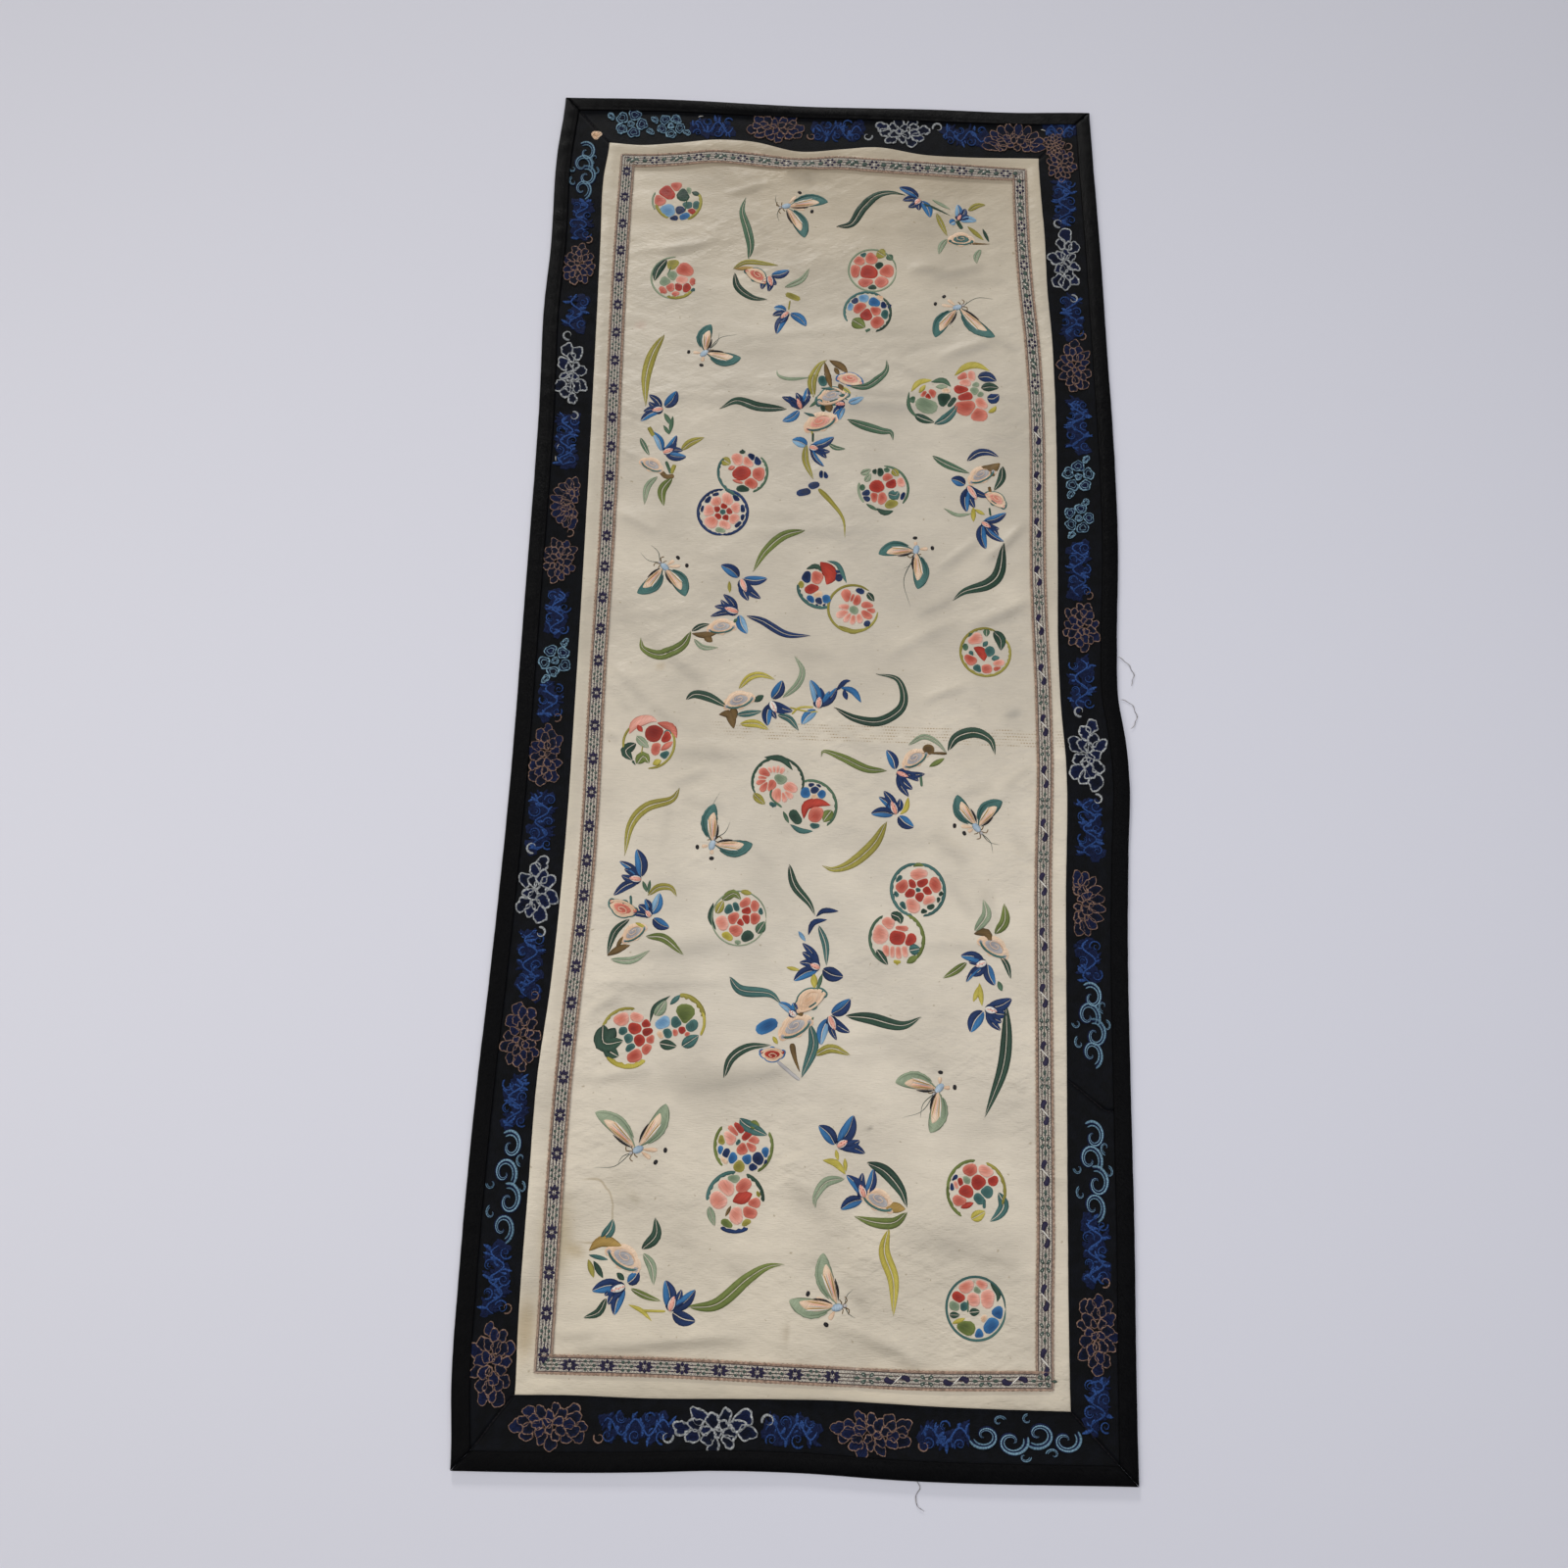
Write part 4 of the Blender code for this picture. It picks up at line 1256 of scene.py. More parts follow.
    def build(self, name: str, material: bpy.types.Material, slot: str) -> bpy.types.Object:
        """Lay everything on the cloth as one piece."""
        places = np.concatenate(self.bodies.points)
        if self.side is not None:
            inward = 1 if self.side in (Side.RIGHT, Side.BOTTOM) else -1
            depth = (self.depth + inward * places[:, 1]) * MM
            places[:, :2] = np.stack(on_side(self.side, places[:, 0] * MM, depth), axis=1) / MM
        self.bodies.points = [LAYOUT.top(self.layer, places[:, :2], places[:, 2])]
        return self.bodies.build(name, material, slot)


# Stitches of each roundel: tone, cut, width and places in mm. An arc gives its centre, its
# radius and its two angles, and a rose its centre, radius, and count with first angle
ROUNDELS = (
    """red oval 13 -156,491 -141,493; coral petal 9 -146,499 -134,497; coral oval 8 -160,482 -151,483;
    dkgreen oval 15 -138,491 -121,492; sage oval 5 -133,493 -124,491; dkgreen blade 5 -125,492 -117,489;
    olive arc 3 -138,481 22 -52,18; olive arc 3 -138,481 20 203,240; sage arc 1.5 -138,481 23 165,200;
    sky oval 9 -149,469 -140,467; blue oval 9 -135,462 -125,464; navy oval 5 -138,469 -130,471;
    navy oval 4 -146,461 -136,463; teal oval 6 -131,477 -123,477; teal oval 6 -124,477 -117,477;
    red oval 4 -129,471 -119,471; green line 1.2 -129,484 -130,470""",
    """sage arc 1.5 -136,400 22 100,260; dkgreen leaf 8 -145,419 -152,408 -155,396;
    olive oval 8 -145,417 -135,415; green line 1.2 -140,412 -143,402; sage oval 7 -148,396 -140,394;
    sage oval 6 -141,402 -135,400; coral oval 9 -132,411 -124,405; salmon oval 9 -135,399 -125,395;
    red oval 7 -136,393 -128,389; coral petal 8 -143,387 -153,381; red oval 8 -129,393 -121,388;
    coral oval 8 -122,396 -114,393; coral oval 7 -139,380 -131,382; coral oval 8 -144,389 -136,391;
    teal oval 5 -121,388 -115,386; olive arc 3 -136,400 21 260,310""",
    """sage arc 1.5 45,414 22 0,360; red oval 12 34,411 48,411; coral oval 9 26,409 32,418;
    coral oval 9 28,425 37,424; coral oval 9 39,429 49,425; coral oval 8 54,417 60,410;
    coral oval 8 36,399 45,404; coral oval 8 49,399 56,405; olive leaf 10 49,434 57,429;
    teal oval 6 33,431 39,430; green leaf 6 59,431 63,425; dkgreen oval 5 49,421 53,417;
    dkgreen oval 7 41,395 49,395""",
    """teal arc 2.6 41,370 21 60,200; dkgreen arc 2.6 41,370 21 -60,40; navy oval 8 25,381 32,384;
    sky oval 6 33,386 39,383; sky oval 6 22,379 27,375; blue oval 7 45,382 51,378;
    navy oval 6 55,381 58,377; navy oval 5 60,380 64,376; peach oval 7 51,388 57,386;
    teal oval 6 56,371 60,365; red oval 11 35,368 45,369; coral oval 9 46,362 54,358;
    coral oval 9 30,377 38,372; coral oval 7 44,374 51,370; moss leaf 11 27,362 39,354;
    green oval 6 36,350 45,350""",
    """gold blade 5 81,290 88,300 100,303; gold blade 4 88,289 94,298;
    green blade 5 99,301 110,303 117,297; sage blade 5 103,296 114,297;
    green blade 3 79,290 79,275 88,264; green oval 4 82,284 82,280; dkgreen leaf 7 84,268 92,264 102,261;
    teal leaf 7 102,259 112,265 120,274 122,280; teal blade 3 106,262 112,270;
    dkgreen petal 8 108,290 115,277; dkgreen petal 6 119,284 114,277; red petal 6 96,289 96,283;
    coral petal 4 93,291 92,285; coral petal 4 99,291 100,285; sage oval 12 88,283 100,277;
    peach petal 4 112,296 112,290""",
    """gold blade 6 120,308 130,317 141,319 152,314; salmon oval 10 122,300 138,307;
    coral oval 9 120,305 138,308; salmon oval 8 128,311 139,303; red oval 7 124,296 131,293;
    red oval 7 126,286 135,289; coral oval 9 124,281 140,274; salmon oval 8 140,283 148,279;
    coral oval 7 132,272 150,271; sage oval 4 136,300 142,300; sage oval 6 135,294 141,292;
    sage oval 4 141,290 145,290; navy leaf 9 141,307 150,308 158,304;
    dkgreen leaf 8 144,296 152,298 160,297; navy leaf 9 149,286 155,286 160,290;
    gold blade 4 150,272 155,275 157,279""",
    """green arc 2.5 -67,207 21.5 -55,35; teal arc 2.5 -67,207 21.5 150,250;
    teal tail 3 -82,190 -72,184 -66,184; dkgreen oval 5 -73,228 -63,228; navy petal 6 -60,229 -58,214;
    navy petal 7 -52,224 -57,217; salmon oval 9 -76,222 -68,214; salmon oval 8 -66,222 -60,213;
    coral oval 8 -57,205 -50,206; coral oval 8 -62,200 -60,192; coral blade 4 -80,209 -74,212;
    red oval 14 -75,206 -62,206; coral blade 3 -76,199 -66,196; olive leaf 8 -86,219 -78,214;
    dkgreen petal 8 -68,194 -62,186""",
    """navy arc 2.8 -83,168 21.5 100,265; navy arc 2.8 -83,168 21.5 -80,70; navy oval 4 -103,168 -101,173;
    navy oval 5 -98,178 -95,182; navy oval 4 -92,184 -89,186; navy oval 5 -73,180 -71,184;
    navy oval 4 -67,170 -65,174; navy oval 4 -66,161 -64,165; navy oval 5 -70,155 -67,159;
    salmon rose 9 -83,168 16 7,20; red rose 6 -83,168 9 5,10; teal oval 4 -85,168 -81,168;
    sage oval 5 -88,151 -80,151""",
    """green arc 2 57,195 22 -30,80; sage arc 2 57,195 22 175,210; dkgreen petal 5 49,216 49,208;
    dkgreen petal 5 53,216 54,208; green oval 4 57,215 63,214; olive leaf 6 65,214 70,207;
    sage leaf 5 37,208 46,213; sage leaf 5 41,201 46,209; green oval 4 36,200 37,191;
    navy oval 4 38,189 45,190; navy oval 4 38,185 45,186; red oval 9 48,197 55,193;
    red oval 8 60,203 68,200; salmon oval 9 69,205 77,201; coral oval 5 58,206 66,204;
    coral oval 9 52,189 60,184; coral oval 6 47,191 52,184; teal leaf 8 61,190 68,189 70,193;
    navy petal 6 75,194 75,182; olive oval 8 59,181 70,179; green blade 3 42,180 52,174;
    dkgreen blade 5 51,176 58,172 66,174""",
    """teal blade 4 9,125 18,122 24,110 26,105; teal arc 3 5,103 21 190,280; olive oval 7 -16,108 -14,98;
    navy petal 9 -12,115 -6,105; red blade 11 3,124 12,113 9,103; coral oval 12 -3,113 4,106;
    red oval 6 -9,100 3,100; dkgreen blade 4 -9,117 0,120 4,115; dkgreen blade 4 -5,121 4,118;
    navy oval 4 15,116 24,115; navy oval 5 15,111 24,112; navy oval 7 0,88 6,88; blue oval 5 -6,90 -3,85;
    blue oval 5 6,91 9,87; peach oval 4 -1,94 4,93; navy oval 3 0,84 2,84; navy oval 3 6,84 8,84""",
    """olive arc 2 32,82 21.5 60,345; olive blade 4 20,66 32,61 42,64; navy oval 5 36,101 42,99;
    navy oval 5 44,66 47,67; dkgreen leaf 5 44,97 50,89;
    coral fan 3.5 35,83 24,98 28,97 33,95 52,85 53,80 50,75; sage oval 7 28,83 35,76;
    salmon fan 2.5 35,83 20,82 19,75 24,70 30,68 38,69""",
    """olive arc 2.5 145,46 21 60,400; green oval 5 130,64 133,60; green oval 5 125,54 127,48;
    teal oval 5 137,33 141,28; green leaf 5 146,67 146,60; dkgreen leaf 8 152,65 158,58 158,48;
    salmon oval 8 131,58 141,57; red blade 8 135,50 142,46 144,38; coral oval 7 131,44 135,37;
    teal oval 5 132,44 137,44; peach oval 1.6 134,44 135.5,44; coral oval 6 141,30 150,33;
    salmon oval 9 150,36 162,38; coral oval 5 152,31 160,33; teal oval 8 145,49 150,43;
    teal blade 4 143,51 147,56; teal blade 5 150,40 157,42""",
    """olive arc 1.8 -136,-43 21.5 -80,30; olive arc 1.8 -136,-43 21.5 150,185;
    salmon blade 8 -153,-35 -148,-26 -137,-22 -130,-24; red blade 4 -147,-27 -142,-33;
    coral blade 6 -130,-25 -118,-29 -113,-38; deepred oval 13 -137,-30 -124,-37;
    red oval 8 -126,-40 -118,-34; coral oval 8 -133,-47 -125,-47; coral blade 5 -126,-49 -116,-41;
    teal arc 1 -121,-34 3 0,300; sage leaf 6 -147,-37 -136,-47; olive line 1 -141,-45 -142,-53;
    dkgreen leaf 8 -147,-43 -155,-50 -149,-58; dkgreen tail 3 -149,-58 -146,-62;
    moss leaf 8 -145,-61 -140,-54 -135,-60; teal oval 6 -126,-53 -119,-52;
    gold blade 5 -132,-61 -125,-57""",
    """dkgreen arc 2.5 -28,-73 21 -10,200; dkgreen blade 5 -40,-52 -25,-53 -16,-62;
    green line 2 -33,-78 -33,-86 -24,-94; coral fan 4.5 -29,-68 -46,-66 -47,-70 -47,-75 -44,-79 -38,-80;
    salmon fan 1.5 -29,-68 -38,-60 -33,-59 -28,-59 -23,-60;
    salmon fan 5 -25,-74 -27,-90 -22,-90 -17,-87 -15,-82; sage oval 6 -31,-67 -23,-73;
    olive leaf 6 -48,-83 -38,-92; teal oval 5 -35,-93 -28,-94""",
    """green arc 2.5 -1,-92 21.5 -40,100; green blade 3 -23,-97 -18,-107;
    teal blade 4 -17,-108 -8,-113 2,-113; navy oval 6 0,-79 6,-79; blue oval 5 -6,-80 -2,-82;
    blue oval 5 8,-80 5,-84; navy oval 3 -1,-74 1,-74; navy oval 3 5,-74 7,-74; peach oval 4 1,-83 6,-84;
    red blade 7 -6,-103 -4,-92 6,-89 16,-91; coral oval 13 -1,-105 11,-95; moss leaf 8 17,-95 10,-105;
    teal oval 5 1,-107 7,-110; dkgreen oval 8 -18,-103 -9,-103""",
    """dkgreen blade 4 -77,-174 -79,-186 -74,-196; sage arc 1 -56,-186 22 0,360;
    olive blade 4 -56,-164 -46,-166; moss leaf 6 -70,-172 -61,-166 -55,-171;
    olive leaf 6 -74,-183 -69,-172; teal petal 5 -66,-182 -62,-176; teal petal 5 -60,-179 -57,-175;
    coral oval 8 -56,-176 -47,-173; coral oval 8 -47,-174 -41,-179; red oval 8 -53,-180 -46,-178;
    red oval 6 -52,-187 -48,-184; coral oval 8 -46,-187 -41,-183; coral oval 8 -64,-188 -56,-185;
    salmon oval 9 -73,-190 -65,-190; coral oval 6 -63,-196 -54,-194; red oval 5 -57,-190 -54,-188;
    teal oval 6 -40,-179 -36,-179; green leaf 7 -41,-198 -35,-188; dkgreen oval 7 -52,-204 -43,-201;
    gold petal 6 -68,-202 -62,-201; sage oval 3 -60,-207 -52,-207""",
    """teal arc 2.8 88,-159 21.5 100,250; teal arc 2.8 88,-159 21.5 -70,80; teal oval 4 71,-149 73,-152;
    teal oval 4 68,-162 70,-164; teal oval 5 75,-172 77,-174; dkgreen oval 5 107,-160 109,-163;
    dkgreen oval 4 104,-166 106,-168; dkgreen oval 4 97,-170 99,-172; dkgreen oval 3 92,-175 94,-177;
    moss blade 3 84,-140 88,-138 93,-139; salmon oval 7 83,-148 95,-147; coral oval 9 99,-153 105,-158;
    salmon oval 9 92,-170 102,-166; salmon oval 8 79,-170 88,-172; coral oval 9 73,-159 79,-153;
    red oval 6 87,-153 95,-152; red oval 5 81,-156 86,-153; red oval 6 94,-157 98,-162;
    red oval 6 86,-165 93,-164; red oval 7 80,-163 84,-159; teal oval 3 87,-160 89,-158""",
    """moss arc 3 71,-199 21.5 -40,60; green arc 2.5 71,-199 21.5 130,235;
    dkgreen leaf 7 66,-179 73,-182 74,-187; salmon oval 9 52,-192 63,-196; salmon oval 9 61,-185 69,-187;
    coral oval 5 68,-190 80,-190; red oval 11 67,-199 78,-196; red oval 7 78,-201 84,-200;
    salmon oval 6 64,-206 63,-213; salmon oval 5 68,-205 66,-214; salmon oval 5 72,-205 73,-214;
    salmon oval 6 76,-205 80,-212; teal leaf 8 81,-208 90,-206; dkgreen leaf 6 55,-208 60,-215 64,-220;
    gold oval 5 67,-219 76,-219; moss blade 5 79,-218 88,-212""",
    """olive arc 2.5 -139,-282 22.5 90,150; gold arc 4 -139,-282 22 230,300;
    salmon oval 10 -150,-270 -141,-265; salmon oval 9 -138,-267 -127,-264; red oval 8 -139,-274 -130,-276;
    red oval 6 -129,-272 -123,-270; deepred oval 6 -128,-279 -122,-276; red oval 9 -134,-284 -127,-284;
    coral oval 6 -124,-286 -119,-280; coral oval 8 -127,-293 -120,-288; coral oval 8 -137,-296 -129,-294;
    dkgreen leaf 12 -160,-273 -158,-287 -143,-285; dkgreen blade 8 -150,-275 -156,-285;
    dkgreen leaf 9 -158,-291 -146,-297; teal oval 6 -147,-279 -141,-276; teal oval 7 -143,-285 -137,-281;
    teal oval 5 -140,-291 -134,-288""",
    """olive arc 4 -101,-269 21 20,80; gold arc 2 -101,-269 21 -20,20; sage leaf 8 -119,-265 -111,-252;
    dkgreen blade 3 -123,-270 -120,-258 -108,-249; teal blade 4 -108,-256 -100,-248;
    moss oval 10 -103,-266 -91,-266; teal petal 5 -105,-272 -97,-266; teal petal 6 -91,-276 -92,-268;
    red oval 4 -98,-276 -96,-273; coral oval 3 -104,-277 -102,-277; coral oval 3 -94,-278 -92,-278;
    sky petal 6 -116,-268 -109,-272; teal petal 5 -112,-276 -107,-280; peach oval 4 -116,-281 -112,-279;
    dkgreen leaf 7 -115,-286 -101,-288; teal leaf 8 -97,-288 -84,-279""",
    """moss arc 2.5 -46,-361 22 150,215; moss arc 2.5 -46,-361 22 -50,20;
    teal leaf 8 -50,-341 -44,-346 -28,-353; moss leaf 6 -42,-344 -34,-347; salmon fan 6 -49,-358 -60,-352;
    coral fan 6 -49,-358 -56,-346; red fan 7 -49,-358 -51,-342; red oval 10 -46,-352 -40,-356;
    coral fan 6 -49,-358 -35,-356 -37,-362 -43,-365; teal oval 3.5 -51,-358 -49,-358;
    blue oval 5 -67,-367 -63,-364; navy oval 5 -62,-369 -57,-367; blue oval 5 -57,-371 -53,-369;
    peach oval 5 -64,-373 -59,-371; blue oval 5 -44,-372 -41,-369; navy oval 7 -38,-371 -31,-370;
    blue oval 5 -30,-368 -27,-365; navy oval 4 -39,-376 -37,-376; navy oval 4 -29,-373 -27,-373;
    olive oval 4 -64,-357 -62,-357; olive oval 5 -51,-376 -47,-376""",
    """dkgreen arc 3 -51,-402 21.5 10,60; teal arc 3 -51,-402 21.5 100,170;
    navy arc 3 -51,-402 21.5 250,290; sage leaf 5 -71,-406 -66,-420; sage oval 6 -57,-383 -49,-386;
    salmon petal 8 -60,-388 -54,-397; salmon petal 6 -70,-403 -57,-399; coral oval 9 -50,-394 -40,-389;
    red blade 9 -53,-402 -38,-396; coral oval 7 -42,-404 -32,-400; coral oval 8 -45,-409 -34,-410;
    salmon oval 9 -53,-408 -46,-415; brown blade 2.5 -54,-405 -58,-413; moss oval 6 -60,-418 -54,-421;
    olive oval 6 -44,-417 -38,-418; olive oval 5 -35,-396 -30,-396""",
    """moss arc 2.5 133,-389 22 100,170; moss arc 2.5 133,-389 22 180,230;
    olive arc 2.5 133,-389 22 -20,60; navy oval 4 113,-382 118,-380; navy oval 4 112,-387 117,-385;
    salmon oval 10 136,-373 147,-375; coral oval 6 126,-377 133,-373; red oval 11 131,-384 139,-382;
    red oval 5 143,-380 147,-382; red oval 10 120,-391 129,-389; red oval 5 118,-384 123,-384;
    salmon oval 8 115,-386 120,-384; coral oval 9 116,-399 127,-396; red blade 4 121,-402 131,-398;
    sage oval 5 124,-383 128,-381; teal oval 6 138,-391 142,-387; teal oval 6 132,-395 137,-394;
    teal line 2.5 139,-395 139,-402; teal leaf 7 150,-390 154,-399 150,-406 143,-411;
    gold leaf 7 129,-410 140,-404""",
    """teal arc 1.6 132,-473 22.3 0,360; dkgreen blade 4 143,-455 149,-462 148,-468;
    salmon oval 9 120,-457 130,-457; salmon oval 7 133,-455 140,-457; salmon oval 9 137,-465 145,-465;
    salmon oval 8 127,-466 134,-466; sage oval 5 131,-461 135,-459; red oval 6 116,-467 123,-466;
    sage oval 5 114,-472 120,-471; teal oval 5 120,-472 125,-471; green line 1.5 126,-467 126,-476;
    dkgreen leaf 4 112,-478 120,-478; dkgreen leaf 5 127,-476 135,-475; moss oval 14 115,-483 130,-491;
    gold blade 3 114,-484 124,-480; blue oval 6 146,-478 153,-475; blue oval 10 139,-489 151,-482;
    blue oval 6 132,-494 136,-489; peach oval 3 137,-481 139,-479""",
)

